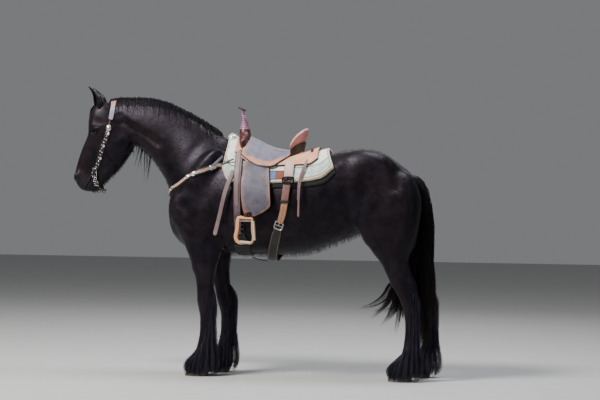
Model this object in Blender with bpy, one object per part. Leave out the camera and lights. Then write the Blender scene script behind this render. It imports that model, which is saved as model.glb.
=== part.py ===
"""Friesian horse standing in western tack, life size, in metres, +Z up, head towards -X.

The flesh is one smooth form, lofted from stations and parted with thin cuts into named nodes.
The long hair grows from those nodes, and the tack lies on them in layers.
"""

import math
from collections import namedtuple

import bmesh
import bpy
import numpy as np
from mathutils import Vector
from mathutils.bvhtree import BVHTree

# Places are measured from a point under the barrel; the whole horse is then moved by this much,
# so that the middle of its bounding box stands over the origin.
FRAME_SHIFT = 0.330
GAP = 0.0004
SEED = 5
VOXEL = 0.0105
FLESH_SHARE = 0.0205
NEAR, FAR = -1, 1

# How far each far leg stands behind its near one.
FORE_STRIDE = 0.088
HIND_STRIDE = 0.105
FORE_Y = 0.150
HIND_Y = 0.165

Station = namedtuple("Station", "front back half y wide front_power back_power")


def station(front, back, half, y=0.0, wide=0.5, front_power=2.0, back_power=2.0):
    """One ring of a loft: its two ends in the side view, its half width and its roundness."""
    return Station(front, back, half, y, wide, front_power, back_power)


# Top of the back and croup, line of the belly, and half width, from the chest to the buttocks.
TORSO = [
    station((-0.905, 1.235), (-0.900, 1.020), 0.080),
    station((-0.880, 1.360), (-0.875, 0.955), 0.150),
    station((-0.800, 1.470), (-0.800, 0.880), 0.200, wide=0.55),
    station((-0.680, 1.570), (-0.680, 0.850), 0.225, wide=0.52, front_power=1.8),
    station((-0.570, 1.635), (-0.570, 0.838), 0.240, wide=0.55, front_power=1.55),
    station((-0.460, 1.632), (-0.460, 0.835), 0.262, wide=0.56, front_power=1.5),
    station((-0.340, 1.580), (-0.340, 0.832), 0.290, wide=0.55, front_power=1.65),
    station((-0.200, 1.522), (-0.200, 0.830), 0.312, wide=0.52, front_power=1.9),
    station((-0.050, 1.497), (-0.050, 0.835), 0.325, wide=0.50, front_power=2.1),
    station((0.100, 1.505), (0.100, 0.862), 0.322, wide=0.48, front_power=2.2),
    station((0.230, 1.541), (0.230, 0.908), 0.305, wide=0.45, front_power=2.2),
    station((0.360, 1.570), (0.360, 0.958), 0.285, wide=0.42, front_power=2.1),
    station((0.470, 1.577), (0.460, 0.990), 0.275, wide=0.42),
    station((0.580, 1.543), (0.570, 1.000), 0.262, wide=0.42),
    station((0.680, 1.476), (0.670, 1.010), 0.230, wide=0.42),
    station((0.770, 1.398), (0.760, 1.040), 0.170, wide=0.45),
    station((0.830, 1.300), (0.825, 1.100), 0.090),
]

# Crest and underline of the neck, from inside the skull to inside the withers.
NECK = [
    station((-1.375, 1.880), (-1.235, 1.640), 0.070, wide=0.55),
    station((-1.330, 1.900), (-1.190, 1.590), 0.078, wide=0.58, front_power=1.8),
    station((-1.235, 1.908), (-1.125, 1.552), 0.083, wide=0.60, front_power=1.7),
    station((-1.120, 1.901), (-1.065, 1.503), 0.088, wide=0.60, front_power=1.6),
    station((-0.985, 1.880), (-1.008, 1.432), 0.095, wide=0.60, front_power=1.6),
    station((-0.855, 1.828), (-0.960, 1.363), 0.108, wide=0.60, front_power=1.6),
    station((-0.745, 1.775), (-0.925, 1.285), 0.130, wide=0.60, front_power=1.6),
    station((-0.630, 1.706), (-0.905, 1.185), 0.165, wide=0.60, front_power=1.6),
    station((-0.530, 1.648), (-0.870, 1.080), 0.195, wide=0.60, front_power=1.6),
    station((-0.440, 1.600), (-0.780, 0.980), 0.200, wide=0.60, front_power=1.6),
]

# Face line and jaw line of the head, from the poll to the lips.
HEAD = [
    station((-1.415, 1.898), (-1.330, 1.850), 0.048),
    station((-1.466, 1.862), (-1.262, 1.765), 0.082, wide=0.42, front_power=2.3),
    station((-1.498, 1.803), (-1.212, 1.690), 0.098, wide=0.36, front_power=2.6),
    station((-1.508, 1.738), (-1.180, 1.608), 0.104, wide=0.32, front_power=2.7),
    station((-1.508, 1.672), (-1.186, 1.544), 0.098, wide=0.33, front_power=2.6, back_power=1.9),
    station((-1.533, 1.608), (-1.216, 1.494), 0.084, wide=0.36, front_power=2.4, back_power=1.9),
    station((-1.561, 1.547), (-1.254, 1.440), 0.070, wide=0.40, front_power=2.2),
    station((-1.582, 1.486), (-1.300, 1.388), 0.060, wide=0.42, front_power=2.1),
    station((-1.600, 1.426), (-1.352, 1.340), 0.054, wide=0.45),
    station((-1.608, 1.376), (-1.398, 1.300), 0.054, wide=0.50, back_power=2.2),
    station((-1.600, 1.328), (-1.434, 1.272), 0.056, wide=0.50, front_power=2.3, back_power=2.3),
    station((-1.578, 1.287), (-1.462, 1.256), 0.050, wide=0.50, front_power=2.3, back_power=2.3),
    station((-1.555, 1.262), (-1.480, 1.250), 0.032),
]

# Front and back of the near fore leg, from inside the shoulder to inside the hoof.
FORE_LEG = [
    station((-0.850, 1.120), (-0.560, 1.130), 0.085),
    station((-0.822, 0.980), (-0.520, 0.980), 0.086),
    station((-0.772, 0.880), (-0.505, 0.875), 0.080, wide=0.55),
    station((-0.738, 0.800), (-0.530, 0.795), 0.074),
    station((-0.709, 0.720), (-0.550, 0.712), 0.066),
    station((-0.691, 0.640), (-0.561, 0.635), 0.056),
    station((-0.684, 0.575), (-0.562, 0.573), 0.050),
    station((-0.681, 0.510), (-0.556, 0.507), 0.056, front_power=2.6),
    station((-0.670, 0.455), (-0.562, 0.450), 0.050, front_power=2.4),
    station((-0.661, 0.395), (-0.577, 0.392), 0.038),
    station((-0.661, 0.310), (-0.579, 0.308), 0.035),
    station((-0.670, 0.240), (-0.558, 0.228), 0.044),
    station((-0.690, 0.170), (-0.588, 0.140), 0.040),
    station((-0.712, 0.112), (-0.585, 0.072), 0.052),
    station((-0.722, 0.060), (-0.608, 0.030), 0.050),
]

# Front and back of the near hind leg, from inside the haunch to inside the hoof.
HIND_LEG = [
    station((0.420, 1.260), (0.820, 1.270), 0.110),
    station((0.425, 1.130), (0.842, 1.160), 0.125),
    station((0.445, 1.020), (0.838, 1.050), 0.122),
    station((0.472, 0.930), (0.816, 0.945), 0.108),
    station((0.518, 0.860), (0.785, 0.868), 0.092),
    station((0.572, 0.795), (0.768, 0.802), 0.078),
    station((0.610, 0.722), (0.785, 0.735), 0.063),
    station((0.640, 0.655), (0.818, 0.675), 0.050),
    station((0.680, 0.592), (0.834, 0.622), 0.049, back_power=1.7),
    station((0.712, 0.530), (0.826, 0.545), 0.050, back_power=1.8),
    station((0.733, 0.460), (0.817, 0.460), 0.041),
    station((0.743, 0.380), (0.813, 0.380), 0.035),
    station((0.741, 0.300), (0.813, 0.300), 0.035),
    station((0.735, 0.240), (0.832, 0.224), 0.044),
    station((0.716, 0.172), (0.806, 0.142), 0.040),
    station((0.684, 0.112), (0.802, 0.074), 0.052),
    station((0.670, 0.060), (0.782, 0.030), 0.050),
]

# Muscles and bones that swell out of the lofts: middle, radii, and turn about Y in degrees.
# Each is made on both sides.
SWELLS = [
    ("shoulder blade", (-0.660, 0.165, 1.380), (0.075, 0.055, 0.230), 36),
    ("point of shoulder", (-0.808, 0.122, 1.140), (0.095, 0.098, 0.140), 0),
    ("breast", (-0.836, 0.070, 1.040), (0.068, 0.072, 0.120), -14),
    ("triceps", (-0.630, 0.165, 1.120), (0.145, 0.075, 0.120), -25),
    ("point of elbow", (-0.525, 0.165, 0.945), (0.055, 0.045, 0.070), 0),
    ("forearm", (-0.662, 0.160, 0.800), (0.060, 0.062, 0.125), 8),
    ("haunch", (0.480, 0.140, 1.440), (0.210, 0.120, 0.120), 8),
    ("point of hip", (0.275, 0.235, 1.420), (0.055, 0.035, 0.050), 0),
    ("thigh", (0.520, 0.190, 1.170), (0.130, 0.100, 0.210), 10),
    ("buttock", (0.735, 0.130, 1.200), (0.115, 0.120, 0.220), -6),
    ("stifle", (0.508, 0.185, 0.985), (0.068, 0.080, 0.085), 0),
    ("gaskin", (0.655, 0.185, 0.820), (0.075, 0.055, 0.130), -22),
    ("cheek", (-1.290, 0.050, 1.600), (0.105, 0.040, 0.100), 0),
    ("brow", (-1.440, 0.078, 1.708), (0.045, 0.034, 0.032), 20),
    ("nostril", (-1.578, 0.034, 1.362), (0.026, 0.026, 0.046), 15),
    ("jaw bar", (-1.345, 0.030, 1.420), (0.032, 0.030, 0.120), 42),
]
CHIN = ((-1.468, 0.0, 1.279), (0.042, 0.038, 0.030), 0)


def clear_scene():
    """Removes everything the file opens with."""
    for item in list(bpy.data.objects):
        bpy.data.objects.remove(item)


def material(name, colour, roughness, metallic=0.0):
    """A plain Principled finish."""
    made = bpy.data.materials.new(name)
    made.use_nodes = True
    shader = made.node_tree.nodes["Principled BSDF"]
    shader.inputs["Base Color"].default_value = (*colour, 1.0)
    shader.inputs["Roughness"].default_value = roughness
    shader.inputs["Metallic"].default_value = metallic
    made.diffuse_color = (*colour, 1.0)
    return made


def new_object(name, bm, finish=None):
    """Turns a bmesh into an object with outward faces, all of them triangles."""
    bmesh.ops.triangulate(bm, faces=bm.faces)
    bm.normal_update()
    bmesh.ops.recalc_face_normals(bm, faces=bm.faces)
    mesh = bpy.data.meshes.new(name)
    bm.to_mesh(mesh)
    bm.free()
    made = bpy.data.objects.new(name, mesh)
    bpy.context.scene.collection.objects.link(made)
    if finish is not None:
        made.data.materials.append(finish)
    return made


def smooth_through(keys, values, at):
    """Reads, at each place in at, a cubic curve through the values that never overshoots them."""
    slope = np.diff(values) / np.diff(keys)
    same_way = slope[:-1] * slope[1:] > 0
    total = np.where(same_way, slope[:-1] + slope[1:], 1.0)
    inner = np.where(same_way, 2 * slope[:-1] * slope[1:] / total, 0.0)
    tangent = np.concatenate([[slope[0]], inner, [slope[-1]]])
    i = np.clip(np.searchsorted(keys, at, side="right") - 1, 0, len(keys) - 2)
    span = keys[i + 1] - keys[i]
    t = (at - keys[i]) / span
    low = (1 + 2 * t) * (1 - t) ** 2 * values[i] + t * (1 - t) ** 2 * span * tangent[i]
    high = t * t * (3 - 2 * t) * values[i + 1] + t * t * (t - 1) * span * tangent[i + 1]
    return low + high


def read_stations(stations, rings):
    """The stations' numbers at evenly spaced rings, one row a ring."""
    rows = np.array([[*s.front, *s.back, s.half, s.y, s.wide, s.front_power, s.back_power] for s in stations])
    middle = (rows[:, 0:2] + rows[:, 2:4]) / 2
    keys = np.concatenate([[0], np.cumsum(np.linalg.norm(np.diff(middle, axis=0), axis=1) + 0.01)])
    at = np.linspace(0, keys[-1], rings)
    return np.stack([smooth_through(keys, rows[:, k], at) for k in range(rows.shape[1])], axis=1)


def ring_point(row, angle):
    """The point of a ring at an angle from its front end."""
    front, back = Vector((row[0], 0, row[1])), Vector((row[2], 0, row[3]))
    middle = front.lerp(back, row[6])
    c, s = math.cos(angle), math.sin(angle)
    end, power = (front, row[7]) if c > 0 else (back, row[8])
    point = middle + (end - middle) * abs(c) ** (2 / power)
    point.y = row[5] + row[4] * math.copysign(abs(s) ** (2 / power), s)
    return point


def add_loft(bm, stations, around=20, rings=24):
    """Adds a closed loft: a sphere whose rings are moved to the stations' rings."""
    rows = read_stations(stations, rings)
    made = bmesh.ops.create_uvsphere(bm, u_segments=around, v_segments=rings + 1, radius=1.0)
    for v in made["verts"]:
        ring = round(math.acos(max(-1.0, min(1.0, v.co.z))) / math.pi * (rings + 1))
        row = rows[min(max(ring - 1, 0), rings - 1)]
        if ring in (0, rings + 1):
            front, back = Vector((row[0], row[5], row[1])), Vector((row[2], row[5], row[3]))
            v.co = front.lerp(back, row[6])
        else:
            v.co = ring_point(row, math.atan2(v.co.y, v.co.x))
    return made["verts"]


def add_swell(bm, middle, radii, turn, side=FAR):
    """Adds an ellipsoid turned about the Y axis."""
    made = bmesh.ops.create_uvsphere(bm, u_segments=16, v_segments=12, radius=1.0)
    c, s = math.cos(math.radians(turn)), math.sin(math.radians(turn))
    for v in made["verts"]:
        x, y, z = (v.co[k] * radii[k] for k in range(3))
        v.co = (middle[0] + x * c + z * s, side * middle[1] + y, middle[2] - x * s + z * c)


def placed_leg(stations, side, y, stride):
    """A leg's stations on one side; the far leg's lower part stands a stride behind."""
    top, bottom = 1.0, 0.38
    placed = []
    for s in stations:
        share = min(1.0, max(0.0, (top - s.front[1]) / (top - bottom)))
        back = stride * share * share * (3 - 2 * share) if side == FAR else 0.0
        front_end, back_end = (s.front[0] + back, s.front[1]), (s.back[0] + back, s.back[1])
        placed.append(s._replace(front=front_end, back=back_end, y=side * y))
    return placed


def evaluated_copy(name, source):
    """A new object with the source's modifiers applied; the source is removed."""
    graph = bpy.context.evaluated_depsgraph_get()
    mesh = bpy.data.meshes.new_from_object(source.evaluated_get(graph))
    mesh.name = name
    bpy.data.objects.remove(source)
    made = bpy.data.objects.new(name, mesh)
    bpy.context.scene.collection.objects.link(made)
    return made


def build_flesh():
    """The whole body as one smooth closed form, without hoofs, ears and hair."""
    bm = bmesh.new()
    add_loft(bm, TORSO, around=40, rings=50)
    add_loft(bm, NECK, around=32, rings=30)
    add_loft(bm, HEAD, around=32, rings=36)
    for side in (NEAR, FAR):
        add_loft(bm, placed_leg(FORE_LEG, side, FORE_Y, FORE_STRIDE), around=24, rings=46)
        add_loft(bm, placed_leg(HIND_LEG, side, HIND_Y, HIND_STRIDE), around=24, rings=50)
        for _, middle, radii, turn in SWELLS:
            add_swell(bm, middle, radii, turn, side)
    add_swell(bm, *CHIN)
    rough = new_object("flesh_rough", bm)
    remesh = rough.modifiers.new("fuse", "REMESH")
    remesh.mode = "VOXEL"
    remesh.voxel_size = VOXEL
    smooth = rough.modifiers.new("soften", "SMOOTH")
    smooth.factor = 0.5
    smooth.iterations = 14
    return evaluated_copy("flesh", rough)


def thin_out(body, share):
    """Fewer triangles, with the trunk a little coarser than the rest."""
    group = body.vertex_groups.new(name="coarse")
    for v in body.data.vertices:
        trunk = v.co.x > -1.0 and v.co.z > 0.90
        group.add([v.index], 1.0 if trunk else 0.90, "REPLACE")
    thin = body.modifiers.new("thin", "DECIMATE")
    thin.ratio = share
    thin.vertex_group = "coarse"
    return evaluated_copy("flesh_thin", body)


# The cuts that part the flesh: each is a line in the side view, and the plane through it and Y.
THROAT_CUT = ((-1.290, 1.930), (-1.165, 1.550))
SHOULDER_CUT = ((-0.560, 1.680), (-0.935, 1.160))
THIGH_CUT = ((0.400, 0.940), (0.900, 1.060))
TAIL_CUT = ((0.812, 0.500), (0.812, 0.900))
ELBOW_Z = 0.815
FORE_CANNON_Z = 0.415
HIND_CANNON_Z = 0.430

# Eyes, ears, nostrils and mouth, on the far side; the near ones are their mirror images.
EYE_AT = (-1.436, 1.672)
EYE_RADIUS = 0.021
EYE_DEPTH = 0.0165
LID_RADII = (0.024, 0.017, 0.0055)
NOSTRIL = ((-1.586, 0.050, 1.346), (0.009, 0.014, 0.024), 20)
MOUTH_LINE = ((-1.528, 1.226), (-1.453, 1.372))
MOUTH_SLIT = 0.005
EAR = [
    station((-1.458, 1.846), (-1.385, 1.858), 0.028, 0.050),
    station((-1.470, 1.892), (-1.392, 1.900), 0.030, 0.058),
    station((-1.482, 1.928), (-1.410, 1.934), 0.026, 0.064),
    station((-1.492, 1.958), (-1.445, 1.960), 0.017, 0.067),
    station((-1.505, 1.986), (-1.494, 1.984), 0.006, 0.064),
]
EAR_WALL = 0.007

HOOF = [
    station((-0.757, 0.000), (-0.600, 0.000), 0.067, wide=0.55),
    station((-0.756, 0.006), (-0.599, 0.004), 0.067, wide=0.55),
    station((-0.728, 0.052), (-0.591, 0.030), 0.060, wide=0.55),
    station((-0.702, 0.096), (-0.584, 0.058), 0.051, wide=0.55),
]
HIND_HOOF_SHIFT = 1.392

# Locks: numbers, sizes and the clear space they keep from other nodes.
LOCK_CLEARANCE = 0.006
MANE_LENGTH = [(0, 0.3, 0.55, 0.8, 1.0), (0.40, 0.60, 0.52, 0.32, 0.14)]
MANE = {"count": 28, "width": 0.046, "thick": 0.015, "near_count": 9}
FORELOCK = {"count": 4, "width": 0.022, "thick": 0.008}
TAIL = {"count": 14, "width": 0.048, "thick": 0.026, "blown": 8}
FEATHER = {"count": 11, "width": 0.056, "thick": 0.014}
CREST_LINE = [(-1.385, 1.884), (-1.285, 1.901), (-1.120, 1.901), (-0.985, 1.880),
              (-0.855, 1.828), (-0.745, 1.775), (-0.630, 1.706), (-0.570, 1.668)]
DOCK = [
    station((0.735, 1.400), (0.735, 1.330), 0.034),
    station((0.800, 1.392), (0.770, 1.310), 0.038),
    station((0.868, 1.320), (0.812, 1.268), 0.036),
    station((0.895, 1.220), (0.842, 1.215), 0.030),
    station((0.902, 1.110), (0.858, 1.110), 0.020),
    station((0.903, 1.010), (0.880, 1.010), 0.008),
]


class Shape:
    """A surface to lay things on: nearest points and side views of it."""

    def __init__(self, *objects):
        bm = bmesh.new()
        for item in objects:
            bm.from_mesh(item.data)
        self.tree = BVHTree.FromBMesh(bm)
        bm.free()

    def lay(self, point, lift):
        """The surface point nearest a place, lifted off it, and the direction out of it."""
        at, normal, _, _ = self.tree.find_nearest(Vector(point))
        return at + normal * lift, normal

    def clear(self, point, lift):
        """The place itself, or moved out so that it lies at least lift off the surface."""
        at, normal, _, _ = self.tree.find_nearest(Vector(point))
        short = (Vector(point) - at).dot(normal) < lift
        return at + normal * lift if short else Vector(point)

    def side(self, x, z, side, missing=0.0):
        """How far the surface reaches out at a side-view place."""
        hit = self.tree.ray_cast(Vector((x, side * 2.0, z)), Vector((0, -side, 0)))[0]
        return missing if hit is None else abs(hit.y)

    def hang(self, x, z, top, side, lift):
        """Where a thing hung from a height lies against the side: it falls straight from the widest."""
        widest = max(self.side(x, top + (z - top) * k / 8, side) for k in range(9))
        return Vector((x, side * (widest + lift), z))

    def toward(self, axis, out):
        """The surface point seen from outside towards a point on a limb's axis."""
        hit = self.tree.ray_cast(axis + out * 0.3, -out, 0.3)[0]
        return axis + out * 0.03 if hit is None else hit

    def around(self, x, angle, lift, middle=1.20):
        """The surface point seen from the barrel's middle, at an angle from straight up."""
        ray = Vector((0, math.sin(angle), math.cos(angle)))
        start = Vector((x, 0, middle)) + ray * 2.0
        hit = self.tree.ray_cast(start, -ray)[0]
        return hit + ray * lift


def curve_points(points, count):
    """Evenly spaced points on a smooth curve through the given ones."""
    rows = np.array([tuple(p) for p in points])
    keys = np.concatenate([[0], np.cumsum(np.linalg.norm(np.diff(rows, axis=0), axis=1) + 1e-6)])
    at = np.linspace(0, keys[-1], count)
    return [Vector(p) for p in np.stack([smooth_through(keys, rows[:, k], at) for k in range(3)], axis=1)]


def tangents(points):
    """The direction of a path at each of its points."""
    last = len(points) - 1
    return [(points[min(i + 1, last)] - points[max(i - 1, 0)]).normalized() for i in range(last + 1)]


def lock(points, outward, width, thick, around=3, rings=6, root=0.75):
    """A flat lock of hair along a path: full near the root and drawn to a tip."""
    path = curve_points(points, rings + 2)
    along = tangents(path)
    bm = bmesh.new()
    made = bmesh.ops.create_uvsphere(bm, u_segments=around, v_segments=rings + 1, radius=1.0)
    for v in made["verts"]:
        ring = round(math.acos(max(-1.0, min(1.0, v.co.z))) / math.pi * (rings + 1))
        share = ring / (rings + 1)
        across = along[ring].cross(outward).normalized()
        out = across.cross(along[ring]).normalized()
        full = root + (1 - root) * min(1.0, share / 0.3) if share < 0.3 else (1.03 - share) ** 0.55 * 1.2
        if ring in (0, rings + 1):
            v.co = path[ring]
            continue
        angle = math.atan2(v.co.y, v.co.x) + math.pi / 2
        v.co = path[ring] + across * math.cos(angle) * width / 2 * min(1.0, full)
        v.co += out * math.sin(angle) * thick / 2 * min(1.0, full)
    return new_object("lock", bm)


def fuse(body, pieces):
    """Body and loose pieces as one closed mesh."""
    name, finish = body.name, body.data.materials[:]
    group = bpy.data.collections.new("pieces")
    bpy.context.scene.collection.children.link(group)
    for piece in pieces:
        bpy.context.scene.collection.objects.unlink(piece)
        group.objects.link(piece)
    step = body.modifiers.new("fuse", "BOOLEAN")
    step.operation = "UNION"
    step.solver = "MANIFOLD"
    step.operand_type = "COLLECTION"
    step.collection = group
    bpy.context.view_layer.update()
    made = evaluated_copy(name, body)
    for piece in list(group.objects):
        bpy.data.objects.remove(piece)
    bpy.data.collections.remove(group)
    made.name = name
    return made


def carve(body, *others, by=0.0006):
    """Body with a little more than each other object taken away."""
    for other in others:
        body = boolean(body, grown(other, by), "DIFFERENCE")
    return keep_largest(body)


def grow_hair(body, locks, *others):
    """Body with its locks fused on, after the locks are cut clear of other nodes."""
    hair = fuse(locks[0], locks[1:])
    for other in others:
        hair = boolean(hair, grown(other, 0.0009), "DIFFERENCE")
    return keep_largest(boolean(body, hair, "UNION"))


def loft_object(name, stations, around=16, rings=12, mirror=FAR):
    """A loft as an object of its own, mirrored to the near side if asked."""
    bm = bmesh.new()
    placed = [s._replace(y=s.y * mirror) for s in stations]
    add_loft(bm, placed, around, rings)
    return new_object(name, bm)


def ellipsoid(name, middle, radii, turn=0.0, side=FAR, segments=(14, 10)):
    """An ellipsoid turned about Y, mirrored to the near side if asked."""
    bm = bmesh.new()
    made = bmesh.ops.create_uvsphere(bm, u_segments=segments[0], v_segments=segments[1], radius=1.0)
    c, s = math.cos(math.radians(turn)), math.sin(math.radians(turn))
    for v in made["verts"]:
        x, y, z = (v.co[k] * radii[k] for k in range(3))
        v.co = (middle[0] + x * c + z * s, side * middle[1] + y, middle[2] - x * s + z * c)
    return new_object(name, bm)


def band(name, rows, closed=False):
    """A solid swept through rows of four corners."""
    bm = bmesh.new()
    rings = [[bm.verts.new(p) for p in row] for row in rows]
    count = len(rings)
    for i in range(count if closed else count - 1):
        a, b = rings[i], rings[(i + 1) % count]
        for k in range(4):
            bm.faces.new((a[k], a[(k + 1) % 4], b[(k + 1) % 4], b[k]))
    if not closed:
        bm.faces.new(rings[0])
        bm.faces.new(rings[-1])
    return new_object(name, bm)


def strap(name, path, outward, width, inner, outer):
    """A flat strap along a path, from inner below it to outer above it along each outward way."""
    along = tangents(path)
    rows = []
    for i, point in enumerate(path):
        across = along[i].cross(outward[i]).normalized() * width / 2
        out = outward[i].normalized()
        low, high = point - out * inner, point + out * outer
        rows.append((low - across, low + across, high + across, high - across))
    return band(name, rows)


def strap_on(name, shape, points, width, thick, count=16, sunk=0.006, lift=0.0):
    """A strap laid on a surface along the curve through the points."""
    laid = [shape.lay(p, lift) for p in curve_points(points, count)]
    return strap(name, [p for p, _ in laid], [n for _, n in laid], width, sunk, thick)


def blanket(name, shape, edges, lifts, grid=(9, 13), middle=1.20):
    """A layer over the back between two lifts; edges gives x and lowest height along its length."""
    across, down = grid
    layers = []
    for lift in lifts:
        rows = []
        for i in range(across):
            share = i / (across - 1)
            steps = [(k / (down - 1)) * 2 - 1 for k in range(down)]
            rows.append([blanket_point(shape, edges, share, step, lift, middle) for step in steps])
        layers.append(rows)
    bm = bmesh.new()
    verts = [[[bm.verts.new(p) for p in row] for row in rows] for rows in layers]
    for i in range(across - 1):
        for k in range(down - 1):
            for layer in verts:
                bm.faces.new((layer[i][k], layer[i + 1][k], layer[i + 1][k + 1], layer[i][k + 1]))
    low, high = verts
    rim = [(i, 0) for i in range(across)] + [(across - 1, k) for k in range(1, down)]
    rim += [(i, down - 1) for i in range(across - 2, -1, -1)] + [(0, k) for k in range(down - 2, 0, -1)]
    for (i, k), (m, n) in zip(rim, rim[1:] + rim[:1]):
        bm.faces.new((low[i][k], low[m][n], high[m][n], high[i][k]))
    return new_object(name, bm)


def blanket_point(shape, edges, share, step, lift, middle):
    """One point of a layer: share runs from front to back, step from one lower edge to the other."""
    keys = np.linspace(0, 1, len(edges))
    x_top, x_low, lowest = (
        float(smooth_through(keys, np.array([e[k] for e in edges], float), np.array([share]))[0])
        for k in range(3)
    )
    away = abs(step)
    x = x_top + (x_low - x_top) * away ** 2
    angle = 0.0
    for k in range(60):
        tried = k * 0.03
        if shape.around(x_low, tried, lift, middle).z < lowest:
            break
        angle = tried
    return shape.around(x, math.copysign(angle * away, step), lift, middle)


def half_space(line, kept):
    """A cut's plane, pointing away from a side-view point that is kept."""
    (ax, az), (bx, bz) = line
    normal = Vector((bz - az, 0, ax - bx)).normalized()
    point = Vector((ax, 0, az))
    inside = (Vector((kept[0], 0, kept[1])) - point).dot(normal) < 0
    return point, normal if inside else -normal


def region(planes, reach=4.0):
    """A closed convex block bounded by planes, each given as a point and the way out."""
    bm = bmesh.new()
    bmesh.ops.create_cube(bm, size=2 * reach)
    for point, outward in planes:
        outward = outward.normalized()
        bmesh.ops.bisect_plane(
            bm, geom=bm.verts[:] + bm.edges[:] + bm.faces[:],
            plane_co=point - outward * GAP / 2, plane_no=outward, clear_outer=True,
        )
        bmesh.ops.holes_fill(bm, edges=[e for e in bm.edges if e.is_boundary])
    return new_object("region", bm)


def boolean(body, other, operation):
    """Body joined with, cut by or kept inside another closed object, which is then removed."""
    name = body.name
    step = body.modifiers.new(operation.lower(), "BOOLEAN")
    step.operation = operation
    step.solver = "MANIFOLD"
    step.object = other
    made = evaluated_copy(name, body)
    bpy.data.objects.remove(other)
    made.name = name
    return made


def copy_of(source, name="copy"):
    """A loose copy of an object's mesh."""
    made = bpy.data.objects.new(name, source.data.copy())
    bpy.context.scene.collection.objects.link(made)
    return made


def grown(source, by):
    """A copy of an object swollen a little along its normals."""
    made = copy_of(source, "grown")
    bm = bmesh.new()
    bm.from_mesh(made.data)
    bm.normal_update()
    shift = [v.normal * by * min(2.5, v.calc_shell_factor()) for v in bm.verts]
    for v, move in zip(bm.verts, shift):
        v.co += move
    bm.to_mesh(made.data)
    bm.free()
    return made


def keep_largest(body):
    """Leaves only the largest closed surface of a mesh."""
    bm = bmesh.new()
    bm.from_mesh(body.data)
    left, shells = set(bm.faces), []
    while left:
        queue, shell = [left.pop()], []
        while queue:
            face = queue.pop()
            shell.append(face)
            near = {f for edge in face.edges for f in edge.link_faces} & left
            left -= near
            queue += near
        shells.append(shell)
    shells.sort(key=lambda shell: sum(f.calc_area() for f in shell))
    for shell in shells[:-1]:
        bmesh.ops.delete(bm, geom=shell, context="FACES")
    bm.to_mesh(body.data)
    bm.free()
    return body


def part_flesh(flesh):
    """Cuts the flesh into its named nodes."""
    down, up, right = Vector((0, 0, -1)), Vector((0, 0, 1)), Vector((1, 0, 0))
    zero = Vector((0, 0, 0))
    elbow, fore_cannon, hind_cannon = (Vector((0, 0, z)) for z in (ELBOW_Z, FORE_CANNON_Z, HIND_CANNON_Z))
    blocks = {
        "head": [half_space(THROAT_CUT, (-1.5, 1.5))],
        "neck": [half_space(THROAT_CUT, (-1.0, 1.7)), half_space(SHOULDER_CUT, (-1.0, 1.7))],
        "torso": [half_space(SHOULDER_CUT, (0, 1.2)), half_space(THIGH_CUT, (0, 1.2)), (elbow, down)],
    }
    for side, word in ((NEAR, "left"), (FAR, "right")):
        inner = (zero, Vector((0, -side, 0)))
        blocks[f"leg_fore_{word}"] = [(elbow, up), (fore_cannon, down), (zero, right), inner]
        blocks[f"cannon_fore_{word}"] = [(fore_cannon, up), (zero, right), inner]
        thigh = half_space(THIGH_CUT, (0.6, 0.5))
        blocks[f"leg_hind_{word}"] = [thigh, (hind_cannon, down), (zero, -right), inner]
        blocks[f"cannon_hind_{word}"] = [(hind_cannon, up), (zero, -right), inner]
    return {
        name: keep_largest(boolean(copy_of(flesh, name), region(planes), "INTERSECT"))
        for name, planes in blocks.items()
    }


def foot_shift(fore, side):
    """How far back a hoof stands from the near fore hoof."""
    stride = FORE_STRIDE if fore else HIND_STRIDE
    return (0.0 if fore else HIND_HOOF_SHIFT) + (stride if side == FAR else 0.0)


def hoof(name, fore, side):
    """One hoof, flat on the floor."""
    move, y = foot_shift(fore, side), side * (FORE_Y if fore else HIND_Y)
    placed = [
        s._replace(front=(s.front[0] + move, s.front[1]), back=(s.back[0] + move, s.back[1]), y=y)
        for s in HOOF
    ]
    return loft_object(name, placed, around=16, rings=5)


def add_features(nodes, shape):
    """Eyes, lids, ears, nostrils and mouth."""
    head = nodes["head"]
    pieces = []
    for side, word in ((NEAR, "left"), (FAR, "right")):
        x, z = EYE_AT
        out = shape.side(x, z, side)
        pieces.append(lid_ring(side, out))
        ball = (x, out - EYE_DEPTH, z), (EYE_RADIUS,) * 3
        nodes[f"eye_{word}"] = ellipsoid(f"eye_{word}", *ball, 0, side, (12, 8))
    head = fuse(head, pieces)
    for side, word in ((NEAR, "left"), (FAR, "right")):
        head = boolean(head, grown(nodes[f"eye_{word}"], 0.0004), "DIFFERENCE")
        head = boolean(head, ellipsoid("nostril", *NOSTRIL, side, (8, 6)), "DIFFERENCE")
    (ax, az), (bx, bz) = MOUTH_LINE
    ends = [Vector((ax, 0, az)), Vector((bx, 0, bz))]
    slit = strap("slit", ends, [Vector((0.87, 0, -0.5))] * 2, 0.4, MOUTH_SLIT / 2, MOUTH_SLIT / 2)
    head = keep_largest(boolean(head, slit, "DIFFERENCE"))
    nodes["head"] = head
    for side, word in ((NEAR, "left"), (FAR, "right")):
        ear = loft_object(f"ear_{word}", EAR, 10, 7, side)
        cup = [
            s._replace(
                front=(s.front[0] - 0.006, s.front[1] + 0.016), back=(s.back[0] - 0.012, s.back[1] + 0.014),
                half=max(s.half - EAR_WALL, 0.002), y=s.y + 0.016,
            )
            for s in EAR[:-1]
        ]
        ear = boolean(ear, loft_object("cup", cup, 8, 6, side), "DIFFERENCE")
        nodes[f"ear_{word}"] = carve(ear, head)


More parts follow.
